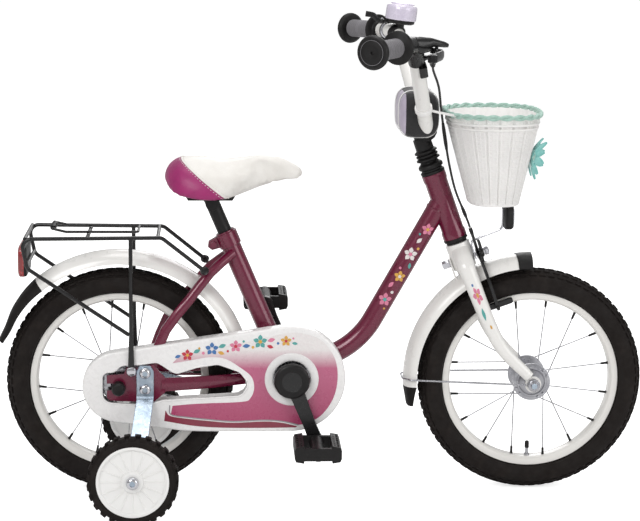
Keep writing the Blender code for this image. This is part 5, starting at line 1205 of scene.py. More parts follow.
panel = combined(solid_of(lambda b: film_plate(b, panel_outline())), [
    ("DIFFERENCE", solid_of(lambda b: add_turned(b, [(0.041, 0), (0.041, 0.02)], crank_hole, -LEFT, 72))),
])
piece("case_film", panel, faded_film(), "frame", (), 30)
trim = bmesh.new()
film_plate(trim, band_outline(), FILM * 0.5, 0)
film_plate(trim, ribbon([(77.0, 146.0)] + PANEL_LOW, 0.0016), FILM, 1)
piece("case_trim", trim, [film("film_dark_red", srgb(136, 42, 64)), film("film_grey", srgb(150, 146, 150))],
      "frame", (), 30)
ring = bmesh.new()
add_ring(ring, soften([(0.0290, 0.0), (0.0400, 0.0), (0.0395, 0.0008), (0.0295, 0.0010)], 0.0004, 2),
         BOTTOM_BRACKET - LEFT * (CASE_FACE + 0.0001), -LEFT, 96)
piece("case_crank_ring", ring, case_white, "frame")


def case_surface(u, v, height):
    return at(u, -CASE_FACE - 0.0001 - FILM - height, v)


case_garland = [
    ("blossom", 0.104, 0.2240, 0.0080, 0, "red gold"), ("leaf", 0.113, 0.2275, 0.0115, 25, "teal"),
    ("dot", 0.122, 0.2345, 0.0017, 0, "gold"), ("leaf", 0.094, 0.2235, 0.0095, 200, "blue"),
    ("dot", 0.128, 0.2270, 0.0022, 0, "rose"), ("blossom", 0.141, 0.2335, 0.0090, 0, "blue pale"),
    ("leaf", 0.151, 0.2360, 0.0120, 20, "teal"), ("leaf", 0.150, 0.2290, 0.0105, -20, "gold"),
    ("dot", 0.165, 0.2300, 0.0019, 0, "red"), ("blossom", 0.177, 0.2375, 0.0085, 0, "rose red"),
    ("dot", 0.189, 0.2450, 0.0018, 0, "teal"), ("leaf", 0.187, 0.2375, 0.0120, 5, "blue"),
    ("dot", 0.203, 0.2360, 0.0022, 0, "gold"), ("blossom", 0.214, 0.2445, 0.0095, 0, "teal gold"),
    ("leaf", 0.225, 0.2455, 0.0120, 15, "rose"), ("leaf", 0.224, 0.2385, 0.0105, -18, "red"),
    ("dot", 0.241, 0.2420, 0.0020, 0, "blue"), ("blossom", 0.253, 0.2455, 0.0075, 0, "gold red"),
    ("dot", 0.264, 0.2495, 0.0016, 0, "rose"), ("leaf", 0.262, 0.2425, 0.0090, -10, "teal"),
]
stickers("case_stickers", case_garland, case_surface, "frame")
print("motifs on the case:", len(case_garland))

# %% [markdown]
# Soft pieces are puffed up by a short cloth simulation. A closed form that starts a little too small is
# remeshed into even cells, put under inner pressure for twenty frames without gravity, and kept from moving
# more than a few millimetres. One smooth subdivision then hides the cells.

# %% Cushion helper
SWELL_FRAMES = 20


def evaluated_mesh(item):
    return bpy.data.meshes.new_from_object(item.evaluated_get(bpy.context.evaluated_depsgraph_get()))


def puffed(bm, voxel, cap):
    """Returns a bmesh of the form after remeshing, swelling and one subdivision."""
    item = solid_of(lambda target: target.from_mesh(bm_to_mesh(bm)))
    remesh = item.modifiers.new("even", "REMESH")
    remesh.mode = "VOXEL"
    remesh.voxel_size = voxel
    item.data = evaluated_mesh(item)
    item.modifiers.clear()
    start = [vertex.co.copy() for vertex in item.data.vertices]
    cloth = item.modifiers.new("swell", "CLOTH")
    cloth.settings.use_pressure = True
    cloth.settings.uniform_pressure_force = 4
    cloth.settings.effector_weights.gravity = 0
    cloth.settings.quality = 5
    for step in range(1, SWELL_FRAMES + 1):
        bpy.context.scene.frame_set(step)
    swollen = [vertex.co.copy() for vertex in evaluated_mesh(item).vertices]
    item.modifiers.clear()
    bpy.context.scene.frame_set(1)
    for vertex, before, after in zip(item.data.vertices, start, swollen):
        move = after - before
        if move.length > cap:
            move *= cap / move.length
        vertex.co = before + move
    divide = item.modifiers.new("divide", "SUBSURF")
    divide.levels = 1
    result = bmesh.new()
    result.from_mesh(evaluated_mesh(item))
    bpy.data.objects.remove(item, do_unlink=True)
    return result


def bm_to_mesh(bm):
    mesh = bpy.data.meshes.new("form")
    bm.to_mesh(mesh)
    return mesh


def halves(bm, point, normal):
    """Cuts a closed form by a plane and closes both halves. The first half lies along the normal."""
    parts = []
    for way in (1, -1):
        half = bm.copy()
        geometry = list(half.verts) + list(half.edges) + list(half.faces)
        bmesh.ops.bisect_plane(half, geom=geometry, plane_co=point, plane_no=normal * way, clear_inner=True)
        rim = [edge for edge in half.edges if edge.is_boundary]
        if way == 1:
            seam = ordered(rim)
        bmesh.ops.holes_fill(half, edges=rim)
        parts.append(half)
    return parts[0], parts[1], seam


def ordered(edges):
    """The places along a closed run of edges, in order."""
    following = {}
    for edge in edges:
        a, b = edge.verts
        following.setdefault(a, []).append(b)
        following.setdefault(b, []).append(a)
    first = edges[0].verts[0]
    run, before, here = [first], None, first
    while True:
        after = [v for v in following[here] if v is not before][0]
        if after is first:
            return [v.co.copy() for v in run]
        run.append(after)
        before, here = here, after


def evened(path, count):
    """The same closed line with equally spaced points."""
    closed = path + [path[0]]
    lengths = [(b - a).length for a, b in zip(closed, closed[1:])]
    total = sum(lengths)
    result, index, done = [], 0, 0.0
    for step in range(count):
        goal = total * step / count
        while done + lengths[index] < goal:
            done += lengths[index]
            index += 1
        share = (goal - done) / max(lengths[index], 1e-9)
        result.append(closed[index].lerp(closed[index + 1], share))
    return result


print("cloth frames for each cushion:", SWELL_FRAMES)

# %% [markdown]
# The saddle's covers are imitation leather: a pebbled grain of small cells under a soft sheen, with fine
# creases. The rear cover is a deep pink of the same stuff. Sewing runs beside the joint in pale thread.

# %% Imitation leather and thread
def leather(name, colour, shade, roughness=0.46):
    made = Finish(name, colour, roughness, 0.0, Coat_Weight=0.15, Coat_Roughness=0.3)
    broad = made.spread(made.noise(26, 5, 0.6), 0.0, 1.0)
    pores = made.spread(made.cells(1100), 0.0, 0.35, 0.45, 0.75)
    made.colour(made.mix(pores, made.mix(broad, shade, colour), shade))
    made.wear(120, 5, roughness - 0.08, roughness + 0.12)
    made.relief(made.noise(38, 4, 0.7, (1, 2.5, 1)), 0.0012, 0.22)
    return made.relief(made.cells(1100), 0.00022, 0.55).material


saddle_white = leather("saddle_white_leather", srgb(232, 229, 224), srgb(219, 215, 209))
saddle_pink = leather("saddle_pink_leather", srgb(164, 30, 106), srgb(140, 24, 92), 0.42)
thread = Finish("thread", srgb(226, 220, 216), 0.7)
thread.drift(900, 3, srgb(206, 200, 196), srgb(236, 231, 227))
thread.wear(500, 3, 0.6, 0.8)
thread = thread.relief(thread.waves(2200, "DIAGONAL"), 0.0001, 0.6).material
print("covers:", saddle_white.name, saddle_pink.name)

# %% [markdown]
# The saddle is a padded shell: wide and raised at the back, dipped behind the middle, and rounded at the
# nose. Its stations along the length give the width, the top and the edge. The form is swollen as one body,
# then cut along the slanting joint into its two covers, and a thin welt is laid on the joint with a row of
# stitches on each side.

# %% Saddle
STATIONS = [
    (0.0655, 0.018, 0.4960, 0.4800), (0.0740, 0.050, 0.5100, 0.4710), (0.0930, 0.069, 0.5190, 0.4640),
    (0.1250, 0.077, 0.5165, 0.4585), (0.1550, 0.071, 0.5130, 0.4580), (0.1850, 0.052, 0.5150, 0.4650),
    (0.2150, 0.034, 0.5195, 0.4750), (0.2420, 0.0255, 0.5210, 0.4815), (0.2640, 0.0225, 0.5150, 0.4850),
    (0.2795, 0.0180, 0.5085, 0.4875), (0.2850, 0.0100, 0.5010, 0.4905),
]


def saddle_form(inset):
    upper = smooth([Vector((x, wide, top)) for x, wide, top, _ in STATIONS], 4)
    lower = smooth([Vector((x, 0, edge)) for x, _, _, edge in STATIONS], 4)
    middle = 0.18
    rings = []
    for (x, wide, top), edge in zip(upper, lower):
        wide, top, low = wide - inset * 0.8, top - inset, edge.z + inset * 0.5
        x += math.copysign(inset, middle - x) * min(1, abs(x - middle) / 0.1)
        ring = []
        for step in range(25):
            a = math.pi * step / 24
            height = low + (top - low) * abs(math.sin(a)) ** 0.85
            ring.append(at(x, powered(math.cos(a), 0.72) * wide, height))
        belly = min(0.004, (top - low) * 0.3)
        ring += [at(x, share * wide, low + belly) for share in (-0.7, -0.35, 0.0, 0.35, 0.7)]
        rings.append(ring)
    bm = bmesh.new()
    add_loft(bm, rings)
    return bm


joint_point = at(0.0942, 0, 0.5179)
joint_normal = Vector((0.80, 0, 1)).normalized()
front_cover, rear_cover, joint = halves(puffed(saddle_form(0.0028), 0.0045, 0.005), joint_point, joint_normal)
piece("saddle_cover_front", front_cover, saddle_white, "saddle", ["saddle_top"], 60)
piece("saddle_cover_rear", rear_cover, saddle_pink, "saddle", ["saddle_rear"], 60)

joint = evened(joint, 160)
welt = bmesh.new()
add_tube(welt, joint, 0.0011, 10, joint_normal, True)
piece("saddle_welt", welt, saddle_white, "saddle")
print("welt length", round(sum((b - a).length for a, b in zip(joint, joint[1:])), 3), "m")

# %% [markdown]
# A stitch is a short rounded thread, twice as long as the gap to the next. To lie on the cover it must find
# the cover's surface, so each end is dropped onto the finished mesh by asking for its closest point.

# %% Stitches
def stitches(name, covers, line, shift, length, every, body):
    """Rows of stitches beside a line, each end laid on the nearest cover."""
    bm = bmesh.new()
    for cover, way in zip(covers, (1, -1)):
        places = evened([point + shift * way for point in line], every)
        for index in range(0, every, 2):
            ends = []
            for place in (places[index], places[(index + 1) % every]):
                found, spot, normal, _ = cover.closest_point_on_mesh(place)
                if found:
                    ends.append(spot + normal * 0.0002)
            if len(ends) == 2 and 0.0008 < (ends[1] - ends[0]).length < length:
                a, b = ends
                add_sweep(bm, [a, a.lerp(b, 0.25), a.lerp(b, 0.75), b],
                          [circle(r, 6) for r in (0.0001, 0.00042, 0.00042, 0.0001)])
    return piece(name, bm, thread, body)


bpy.context.view_layer.update()
saddle_covers = [bpy.data.objects["saddle_cover_front"], bpy.data.objects["saddle_cover_rear"]]
stitches("saddle_stitches", saddle_covers, joint, joint_normal * 0.0035, 0.006, 150, "saddle")
dress("seatpost", black_moulding)
print("saddle box", [round(v, 3) for v in saddle_covers[0].dimensions])

# %% [markdown]
# The handlebar is one white tube with two bends on each side. Its path is the frame's own, with finer arcs. A
# bright band clamps round it beside the bell.

# %% Handlebar
BAR_RADIUS = 0.011
OUTER_BEND, INNER_BEND = 0.030, 0.022
BAR_END, BAR_BEND, BAR_CLAMP = (0.367, 0.247, 0.697), (0.432, 0.141, 0.700), (0.4635, 0.036, 0.562)


def mirrored(place, side):
    """A place on the left for side 1, and on the right for side -1."""
    return at(place[0], side * place[1], place[2])


def bar_path():
    corners = [mirrored(p, -1) for p in (BAR_END, BAR_BEND, BAR_CLAMP)]
    corners += [mirrored(p, 1) for p in (BAR_CLAMP, BAR_BEND, BAR_END)]
    path = [corners[0]]
    for index, radius in enumerate((OUTER_BEND, INNER_BEND, INNER_BEND, OUTER_BEND)):
        path += rounded(corners[index:index + 3], radius, 12)[1:-1]
    return path + [corners[-1]]


def riser(side, share):
    """A place on the bar's riser, and the riser's direction."""
    low, high = mirrored(BAR_CLAMP, side), mirrored(BAR_BEND, side)
    return low.lerp(high, share), (high - low).normalized()


def band(thick, half, radius):
    """The profile of a band that is clamped round the bar."""
    outer = BAR_RADIUS + thick
    return soften([(BAR_RADIUS, -half), (outer, -half), (outer, half), (BAR_RADIUS, half)], radius, 2, False)


bm = bmesh.new()
add_tube(bm, bar_path(), BAR_RADIUS, 32, AHEAD)
along = (mirrored(BAR_BEND, 1) - mirrored(BAR_END, 1)).normalized()
add_turned(bm, band(0.0016, 0.004, 0.0006), mirrored(BAR_END, 1) + along * 0.0965, along, 40, 1)
piece("handlebar_full", bm, [white_spray, chrome], "steering", ["handlebar"])
print("bar width", round(2 * BAR_END[1], 3), "m")

# %% [markdown]
# The grips are safety grips: a wide round end so that the bar can't poke, an inner guard, and a ribbed grey
# barrel between them. A thin grey ring is let into the end. Each of these is one lathe profile, and the ribs
# of the barrel come from a loop.

# %% Grips
GRIP_START, GRIP_STOP = -0.0098, 0.0800
GRIP_RIBS, RIBS_START, RIBS_STOP = 13, 0.0030, 0.0675


def grip(side, word):
    end = mirrored(BAR_END, side)
    inward = (mirrored(BAR_BEND, side) - end).normalized()
    bm = bmesh.new()
    knob = [(0.0012, -0.0070), (0.0024, -0.0092), (0.0110, GRIP_START), (0.0166, -0.0092), (0.0172, -0.0084),
            (0.0188, -0.0084), (0.0192, -0.0092), (0.0222, -0.0088), (0.0245, -0.0050), (0.0240, -0.0015),
            (0.0205, 0.0012), (0.0140, 0.0020)]
    add_lathe(bm, knob, 0.0012, end, inward, 56, 0, steps=3)
    inlay = [(0.0172, -0.0080), (0.0178, -0.0080), (0.0178, -0.0089), (0.0172, -0.0089)]
    add_ring(bm, inlay, end, inward, 56, 1)
    barrel = [(0.0120, 0.0010)]
    step = (RIBS_STOP - RIBS_START) / GRIP_RIBS
    for rib in range(GRIP_RIBS):
        low = RIBS_START + (RIBS_STOP - RIBS_START) * rib / GRIP_RIBS
        barrel += [(0.0126, low), (0.0139, low + step * 0.22), (0.0139, low + step * 0.62),
                   (0.0126, low + step * 0.84)]
    barrel += [(0.0128, RIBS_STOP), (0.0120, RIBS_STOP + 0.002)]
    add_turned(bm, barrel, end, inward, 48, 1)
    guard = [(0.0120, 0.0660), (0.0150, 0.0675), (0.0225, 0.0690), (0.0245, 0.0710), (0.0245, 0.0735),
             (0.0220, 0.0750), (0.0150, 0.0755), (0.0138, 0.0770), (0.0134, 0.0795), (0.0118, GRIP_STOP)]
    add_lathe(bm, guard, 0.0010, end, inward, 56, 0, steps=3)
    return piece(f"grip_{word}_full", bm, [black_moulding, grip_rubber], "steering",
                 ["grip_" + word])


grip(-1, "right")
grip(1, "left")
dress("brake_lever", rod_black, 0.0005)
print("grip", round(GRIP_STOP - GRIP_START, 4), "m long with its ends")

# %% [markdown]
# The brake lever hangs in a moulded hood. Its sleeve hides the bar's bend, a beak runs forwards over the
# lever's hub, a foot holds the pin from below, and a block clamps it to the riser. The barrel takes the
# cable. The beak is one loft whose sections get lower towards the tip.

# %% Brake hood
LEVER_PIVOT = at(0.4650, -0.1280, 0.6900)
LEVER_AXIS = Vector((0.18, 0, 1)).normalized()
CABLE_BARREL = LEVER_PIVOT + Vector((-0.004, 0.012, -0.0125))
CABLE_WAY = Vector((0.15, 0.72, -0.68)).normalized()
BEAK = [((0.430, -0.148, 0.7005), 0.0110, 0.0115), ((0.440, -0.143, 0.6995), 0.0118, 0.0130),
        ((0.450, -0.138, 0.7000), 0.0114, 0.0112), ((0.4555, -0.135, 0.7030), 0.0112, 0.0074),
        ((0.466, -0.131, 0.7020), 0.0104, 0.0055), ((0.476, -0.128, 0.6998), 0.0090, 0.0046),
        ((0.482, -0.127, 0.6982), 0.0060, 0.0030)]


def brake_hood():
    bm = bmesh.new()
    high, _ = riser(-1, 0.80)
    bend = bar_path()[1:12]
    sleeve = [mirrored(BAR_END, -1).lerp(bend[0], 0.78)] + bend + [high]
    add_sweep(bm, sleeve, [circle(0.0122 if index in (0, len(sleeve) - 1) else 0.0132, 28)
                           for index in range(len(sleeve))], AHEAD)
    path = [at(*place) for place, _, _ in BEAK]
    add_sweep(bm, path, [oval(wide, tall, 0.8, 24) for _, wide, tall in BEAK], LEFT)
    below = LEVER_PIVOT - LEVER_AXIS * 0.0074
    add_sweep(bm, [high + Vector((0.004, -0.002, 0.002)), high + Vector((0.012, -0.004, 0.008)),
                   below + Vector((-0.006, 0, -0.0010)), below + Vector((0.008, 0, 0.0003))],
              [oval(tall, wide, 0.8, 20) for tall, wide in
               ((0.0085, 0.0045), (0.0080, 0.0040), (0.0080, 0.0026), (0.0060, 0.0022))], LEFT)
    add_turned(bm, [(0.0026, -0.0070), (0.0026, 0.0120)], LEVER_PIVOT, LEVER_AXIS, 20)
    spot, along = riser(-1, 0.74)
    outer = Vector((0.6, -0.8, 0))
    out = (outer - along * along.dot(outer)).normalized()
    block = flat_bar(0.0070, 0.0060, 0.0022, 3)
    add_sweep(bm, [spot + out * 0.0105 - along * 0.0085, spot + out * 0.0105 + along * 0.0100], block, LEFT)
    barrel = [(0.0030, 0.0), (0.0046, 0.0), (0.0046, 0.0120), (0.0036, 0.0135), (0.0036, 0.0160)]
    add_lathe(bm, barrel, 0.0004, CABLE_BARREL, CABLE_WAY, 24)
    return piece("brake_hood", bm, rod_black, "steering", ["brake_lever_housing"], 50)


brake_hood()
print("hood's beak", round(BEAK[-1][0][0] - BEAK[0][0][0], 3), "m long")

# %% [markdown]
# The bell is a lilac-white pearl dome with a raised step, on a black foot that clamps round the bend of the
# bar. Pearl is white plastic with a coat and a little sheen of another hue, so the colour shifts from broad
# patch to patch.

# %% Bell
BELL_RADIUS = 0.0245


def pearl():
    made = Finish("lilac_pearl", srgb(219, 210, 228), 0.25, 0.05, Coat_Weight=0.8, Coat_Roughness=0.05)
    made.drift(45, 4, srgb(214, 205, 224), srgb(222, 215, 230))
    made.wear(120, 4, 0.18, 0.34)
    return made.relief(made.noise(1400, 2), 0.00002, 0.4).material


def bell_place():
    """The middle of the bar's left bend, and the bar's direction there."""
    end, bend, clamp = (mirrored(p, 1) for p in (BAR_END, BAR_BEND, BAR_CLAMP))
    into, out = (bend - end).normalized(), (clamp - bend).normalized()
    inside = (out - into).normalized()
    return bend + inside * OUTER_BEND * (1 / math.cos(into.angle(out) / 2) - 1), (into + out).normalized()


def bell():
    spot, along = bell_place()
    foot = spot + Vector((0.005, -0.003, 0.0145))
    bm = bmesh.new()
    add_turned(bm, band(0.003, 0.005, 0.001), spot, along, 40, 0)
    lean = Vector((0.12, 0, 1)).normalized()
    base = [(0.0070, -0.007), (0.0070, -0.0005), (0.0180, 0.0), (0.0222, 0.0020), (0.0226, 0.0066)]
    add_lathe(bm, base, 0.0008, foot, lean, 64, 0)
    dome = [(0.0200, 0.0062), (0.0240, 0.0064), (BELL_RADIUS, 0.0074), (BELL_RADIUS, 0.0238),
            (0.0238, 0.0274), (0.0218, 0.0300), (0.0196, 0.0306), (0.0192, 0.0322), (0.0172, 0.0336),
            (0.0030, 0.0344)]
    add_lathe(bm, dome, 0.0014, foot, lean, 72, 1, steps=4)
    ear = foot + Vector((-0.0285, 0, 0.0035))
    add_turned(bm, [(0.0040, -0.0029), (0.0040, -0.0013)], ear, UP, 24, 0)
    add_sweep(bm, [ear - UP * 0.0021, foot + Vector((-0.014, 0, 0.0014))],
              [(0.0040, 0.0008), (-0.0040, 0.0008), (-0.0040, -0.0008), (0.0040, -0.0008)], LEFT)
    add_turned(bm, [(0.0014, -0.0021), (0.0014, 0.0046), (0.0024, 0.0046), (0.0018, 0.0056)], ear, UP, 20, 2)
    return piece("bell_full", bm, [black_moulding, pearl(), steel], "steering", ["bell"])


def bell_thumb():
    """The lever: a hub on the ear's pin and a blade that thickens towards the thumb."""
    pivot = bell_place()[0] + Vector((-0.0235, -0.003, 0.0180))
    bm = bmesh.new()
    hub_section = [(0.0018, -0.0008), (0.0036, -0.0008), (0.0036, 0.0034), (0.0018, 0.0034)]
    add_ring(bm, soften(hub_section, 0.0004, 2), pivot, UP, 24)
    path = smooth([pivot + Vector(way) for way in ((-0.003, 0, 0.0014), (-0.008, 0.001, 0.0040),
                                                   (-0.0135, 0.001, 0.0100), (-0.0255, 0, 0.0122))], 4)
    last = len(path) - 1
    add_sweep(bm, path, [oval(0.0012 + 0.0014 * index / last, 0.0034 + 0.0012 * index / last, 0.6, 16)
                         for index in range(last + 1)], LEFT)
    return piece("bell_thumb", bm, rod_black, "bell_lever", ["bell_lever"])


bell()
bell_thumb()
print("bell across", round(2000 * BELL_RADIUS), "mm")

# %% [markdown]
# Behind the bar's clamp sits a small safety cushion in coated nylon: a pale silver face towards the rider and
# black cloth for the rest, held by two white cable ties. Coated nylon is woven, so two crossed waves make its
# relief. The cushion is swollen like the saddle, then cut along a plane, and the cells behind that plane get
# the face's material.

# %% Bar cushion
def nylon(name, colour, shade, roughness, sheen=0.3):
    made = Finish(name, colour, roughness, 0.0, Sheen_Weight=sheen, Sheen_Roughness=0.4)
    made.drift(40, 4, shade, colour)
    made.wear(200, 4, roughness - 0.06, roughness + 0.1)
    weave = made.maths("MULTIPLY", made.waves(520, "Y"), made.waves(520, "Z"))
    made.relief(made.noise(60, 4), 0.0008, 0.3)
    return made.relief(weave, 0.0002, 0.6).material


silver_cloth = nylon("silver_cloth", srgb(188, 178, 194), srgb(164, 154, 172), 0.38)
black_cloth = nylon("black_cloth", srgb(30, 28, 30), srgb(20, 19, 21), 0.6)
PAD_X, PAD_Z, PAD_THICK, PAD_HEIGHT, PAD_HALF = 0.4510, 0.5880, 0.0620, 0.0720, 0.052


def cushion_form(inset):
    bm = bmesh.new()
    rings = []
    for y, grow in ((-PAD_HALF, 0.62), (-0.048, 0.90), (-0.042, 1.0), (0.042, 1.0), (0.048, 0.90),
                    (PAD_HALF, 0.62)):
        outline = oval((PAD_THICK / 2 - inset) * grow, (PAD_HEIGHT / 2 - inset) * grow, 0.6, 32)
        rings.append([at(PAD_X + a, y * (1 - inset / PAD_HALF), PAD_Z + b) for a, b in outline])
    add_loft(bm, rings)
    return bm


bm = puffed(cushion_form(0.0012), 0.004, 0.005)
border = at(PAD_X - PAD_THICK * 0.33, 0, 0)
bmesh.ops.bisect_plane(bm, geom=list(bm.verts) + list(bm.edges) + list(bm.faces), plane_co=border,
                       plane_no=AHEAD)
for face in bm.faces:
    face.material_index = 1 if face.calc_center_median().x < border.x else 0
cushion = piece("bar_cushion", bm, [black_cloth, silver_cloth], "steering", ["bar_pad"], 60)

TIE_LIE, TIE_PLACE = -0.0004, 0.030
bm = bmesh.new()
for y in (-TIE_PLACE, TIE_PLACE):
    section = oval(PAD_THICK / 2 + TIE_LIE, PAD_HEIGHT / 2 + TIE_LIE, 0.6, 40)
    loop = [at(PAD_X + a, y, PAD_Z + b) for a, b in section]
    add_sweep(bm, loop, flat_bar(0.0024, 0.0006, 0.0003), LEFT, True)
    knot = at(PAD_X + PAD_THICK * 0.12, y, PAD_Z + PAD_HEIGHT / 2 - 0.0014)
    add_turned(bm, soften([(0.0034, 0.0), (0.0034, 0.0042), (0.0026, 0.0050)], 0.0006, 2, False), knot, UP, 4)
piece("cushion_ties", bm, white_moulding, "steering")
print("cushion", [round(v, 3) for v in cushion.dimensions])

# %% [markdown]
# Below the cushion the stem runs down inside a smooth black boot, with three uneven ridges just above the
# locknut. The ridges come from a loop in the boot's profile. The stem's own solid stays underneath.

# %% Stem boot
HEAD_LENGTH, CUP_HEIGHT, NUT_HEIGHT = 0.105, 0.008, 0.0130
RIDGES, RIDGE_STEP = (0.0182, 0.0170, 0.0176), 0.0058
dress("stem", black_moulding)
clamp_height = (at(BAR_CLAMP[0], 0, BAR_CLAMP[2]) - head(0)).dot(STEER_UP)
boot_low, boot_high = HEAD_LENGTH + CUP_HEIGHT + NUT_HEIGHT, clamp_height - 0.012
profile = [(0.0136, boot_low)]
for index, wide in enumerate(RIDGES):
    low = boot_low + index * RIDGE_STEP
    profile += [(wide - 0.0022, low + 0.0006), (wide, low + 0.0016), (wide, low + 0.0038),
                (wide - 0.0022, low + 0.0050)]
profile += [(0.0138, boot_low + 0.0180), (0.0134, boot_high)]
bm = bmesh.new()
add_turned(bm, profile, head(0), STEER_UP, 48)
nut = [(0.0120, 0.1140), (0.0186, 0.1142), (0.0190, 0.1155), (0.0190, 0.1185), (0.0180, 0.1200),
       (0.0150, 0.1225)]
add_lathe(bm, nut, 0.0005, head(0), STEER_UP, 48)
piece("stem_boot", bm, black_moulding, "steering")
print("boot", round((boot_high - boot_low) * 1000), "mm long")

# %% [markdown]
# The basket is woven: upright stakes, and strands that pass in front of one stake and behind the next, each
# row opposite to the row below. The weave is made as that, over a thin inner wall that closes it. After every
# third stake the wall dips, which makes its upright panels. Near the top two thicker cords run round, and the
# rim is a mint cord of two twisted strands.

# %% Basket
BASKET_TOP, BASKET_BOTTOM = 0.588, 0.450
TOP_X, TOP_LENGTH, TOP_WIDTH = 0.5660, 0.0705, 0.0900
LOW_X, LOW_LENGTH, LOW_WIDTH = 0.5700, 0.0365, 0.0560
MIDDLE_X, MIDDLE_LENGTH, MIDDLE_WIDTH = 0.5680, 0.0535, 0.0730
SQUARED = 0.75
PANELS, STRAND_ROWS = 26, 40
STAKES = PANELS * 3
GROOVE = 0.0018


def basket_place(turn, z, lift):
    share = (z - BASKET_BOTTOM) / (BASKET_TOP - BASKET_BOTTOM)
    half_x = LOW_LENGTH + (TOP_LENGTH - LOW_LENGTH) * share + lift
    half_y = LOW_WIDTH + (TOP_WIDTH - LOW_WIDTH) * share + lift
    centre = LOW_X + (TOP_X - LOW_X) * share
    return at(centre + powered(math.cos(turn), SQUARED) * half_x,
              powered(math.sin(turn), SQUARED) * half_y, z)


def basket_line(z, lift, points=STAKES * 2):
    """A closed line round the basket, equally spaced. z and lift may follow the step."""
    middle = 0.5 * (BASKET_TOP + BASKET_BOTTOM)
    result = []
    girth = [basket_place(2 * math.pi * i / 360, middle, 0) for i in range(360)]
    for step, point in enumerate(evened(girth, points)):
        share_x = (point.x - at(MIDDLE_X, 0, 0).x) / MIDDLE_LENGTH
        share_y = point.y / MIDDLE_WIDTH
        turn = math.atan2(powered(share_y, 1 / SQUARED), powered(share_x, 1 / SQUARED))
        height = z(step) if callable(z) else z
        result.append(basket_place(turn, height, lift(step) if callable(lift) else lift))
    return result


def grooved(lift):
    """A lift that dips at the grooves between the panels."""
    return lambda step: lift - (GROOVE if step % 6 == 3 else 0)


def basket():
    bm = bmesh.new()
    levels = [(BASKET_BOTTOM, -0.0030), (BASKET_BOTTOM + 0.0020, -0.0004), (BASKET_TOP - 0.004, -0.0004),
              (BASKET_TOP - 0.002, -0.0012), (BASKET_TOP - 0.004, -0.0026), (BASKET_BOTTOM + 0.006, -0.0030)]
    add_loft(bm, [basket_line(z, grooved(lift)) for z, lift in levels])
    low, high = BASKET_BOTTOM + 0.004, BASKET_TOP - 0.022
    strand = [(0.0014 * a, 0.0008 * b) for a, b in circle(1.0, 6)]
    for row in range(STRAND_ROWS):
        z = low + (high - low) * row / (STRAND_ROWS - 1)

        def weave(step, row=row):
            if step % 6 == 3:
                return 0.0004 - GROOVE
            if step % 2:
                return 0.0006
            return 0.0013 if (step // 2 + row) % 2 else -0.0002

        add_sweep(bm, basket_line(z, weave), strand, UP, True)
    low_line, high_line = basket_line(low - 0.003, 0.0002), basket_line(BASKET_TOP - 0.006, 0.0002)
    for step in range(STAKES):
        foot, top = low_line[step * 2], high_line[step * 2]
        add_tube(bm, [foot, foot.lerp(top, 0.5), top], 0.0013, 6)
    for z in (BASKET_TOP - 0.0185, BASKET_TOP - 0.0115):
        add_tube(bm, basket_line(z, 0.0010), 0.0020, 8, UP, True)
    add_tube(bm, basket_line(BASKET_BOTTOM + 0.0022, -0.0002), 0.0022, 8, UP, True)
    for side in (-1, 1):
        spot, along = riser(side, 0.27)
        add_turned(bm, band(0.0022, 0.004, 0.0006), spot, along, 32)
        end = at(TOP_X - TOP_LENGTH * 0.86, side * 0.060, BASKET_TOP)
        add_sweep(bm, [spot, spot.lerp(end, 0.5) - UP * 0.0004, end], flat_bar(0.0018, 0.0009, 0.0005), UP)
    return piece("basket_woven", bm, wicker_white, "steering", ["basket"], 50)


def woven_mint():
    made = Finish("mint_cord", srgb(178, 214, 200), 0.62, 0.0, Sheen_Weight=0.25, Sheen_Roughness=0.5)
    made.drift(150, 4, srgb(164, 203, 188), srgb(194, 226, 214))
    made.wear(300, 4, 0.52, 0.74)
    return made.relief(made.waves(900, "DIAGONAL", 1.5), 0.0003, 0.7).material


def basket_rim():
    bm = bmesh.new()
    points, twists = 320, 14
    for phase in (0.0, math.pi):
        def wound(step):
            return 2 * math.pi * twists * step / points + phase

        def lift(step):
            return 0.0008 + 0.0014 * math.cos(wound(step))

        def level_z(step):
            return BASKET_TOP + 0.0006 + 0.0024 * math.sin(wound(step))

        add_tube(bm, basket_line(level_z, lift, points), 0.0024, 8, UP, True)
    return piece("basket_rim", bm, woven_mint(), "steering")


basket()
basket_rim()
print("basket strands:", STRAND_ROWS, "rows over", STAKES, "stakes")

# %% [markdown]
# A cloth daisy is tied to the basket's front. Each petal is a cupped leaf of felt with a raised middle, and
# every second one stands a little higher, so that they overlap. The petals are bent sheets with a thickness:
# flat rows of points lifted by a curve along and across.

# %% Cloth flower
PETALS, PETAL_START, PETAL_LENGTH = 10, 0.006, 0.0265
FLOWER_Z = 0.522


def petal(bm, spot, ahead, across, normal, lift):
    rings = []
    for step in range(9):
        share = step / 8
        reach = PETAL_START + PETAL_LENGTH * share
        half = 0.0010 + 0.0060 * math.sin(math.pi * min(1, share ** 1.3 * 0.90 + 0.04))
        rise = lift + 0.0125 * share ** 1.4
        row = []
        for side in range(7):
            v = -1 + 2 * side / 6
            row.append(spot + ahead * (reach - 0.0012 * v * v * share) + across * (half * v)
                       + normal * (rise + 0.0016 * v * v))
        under = [point - normal * 0.0009 for point in reversed(row)]
        rings.append(row + under)
    add_loft(bm, rings)


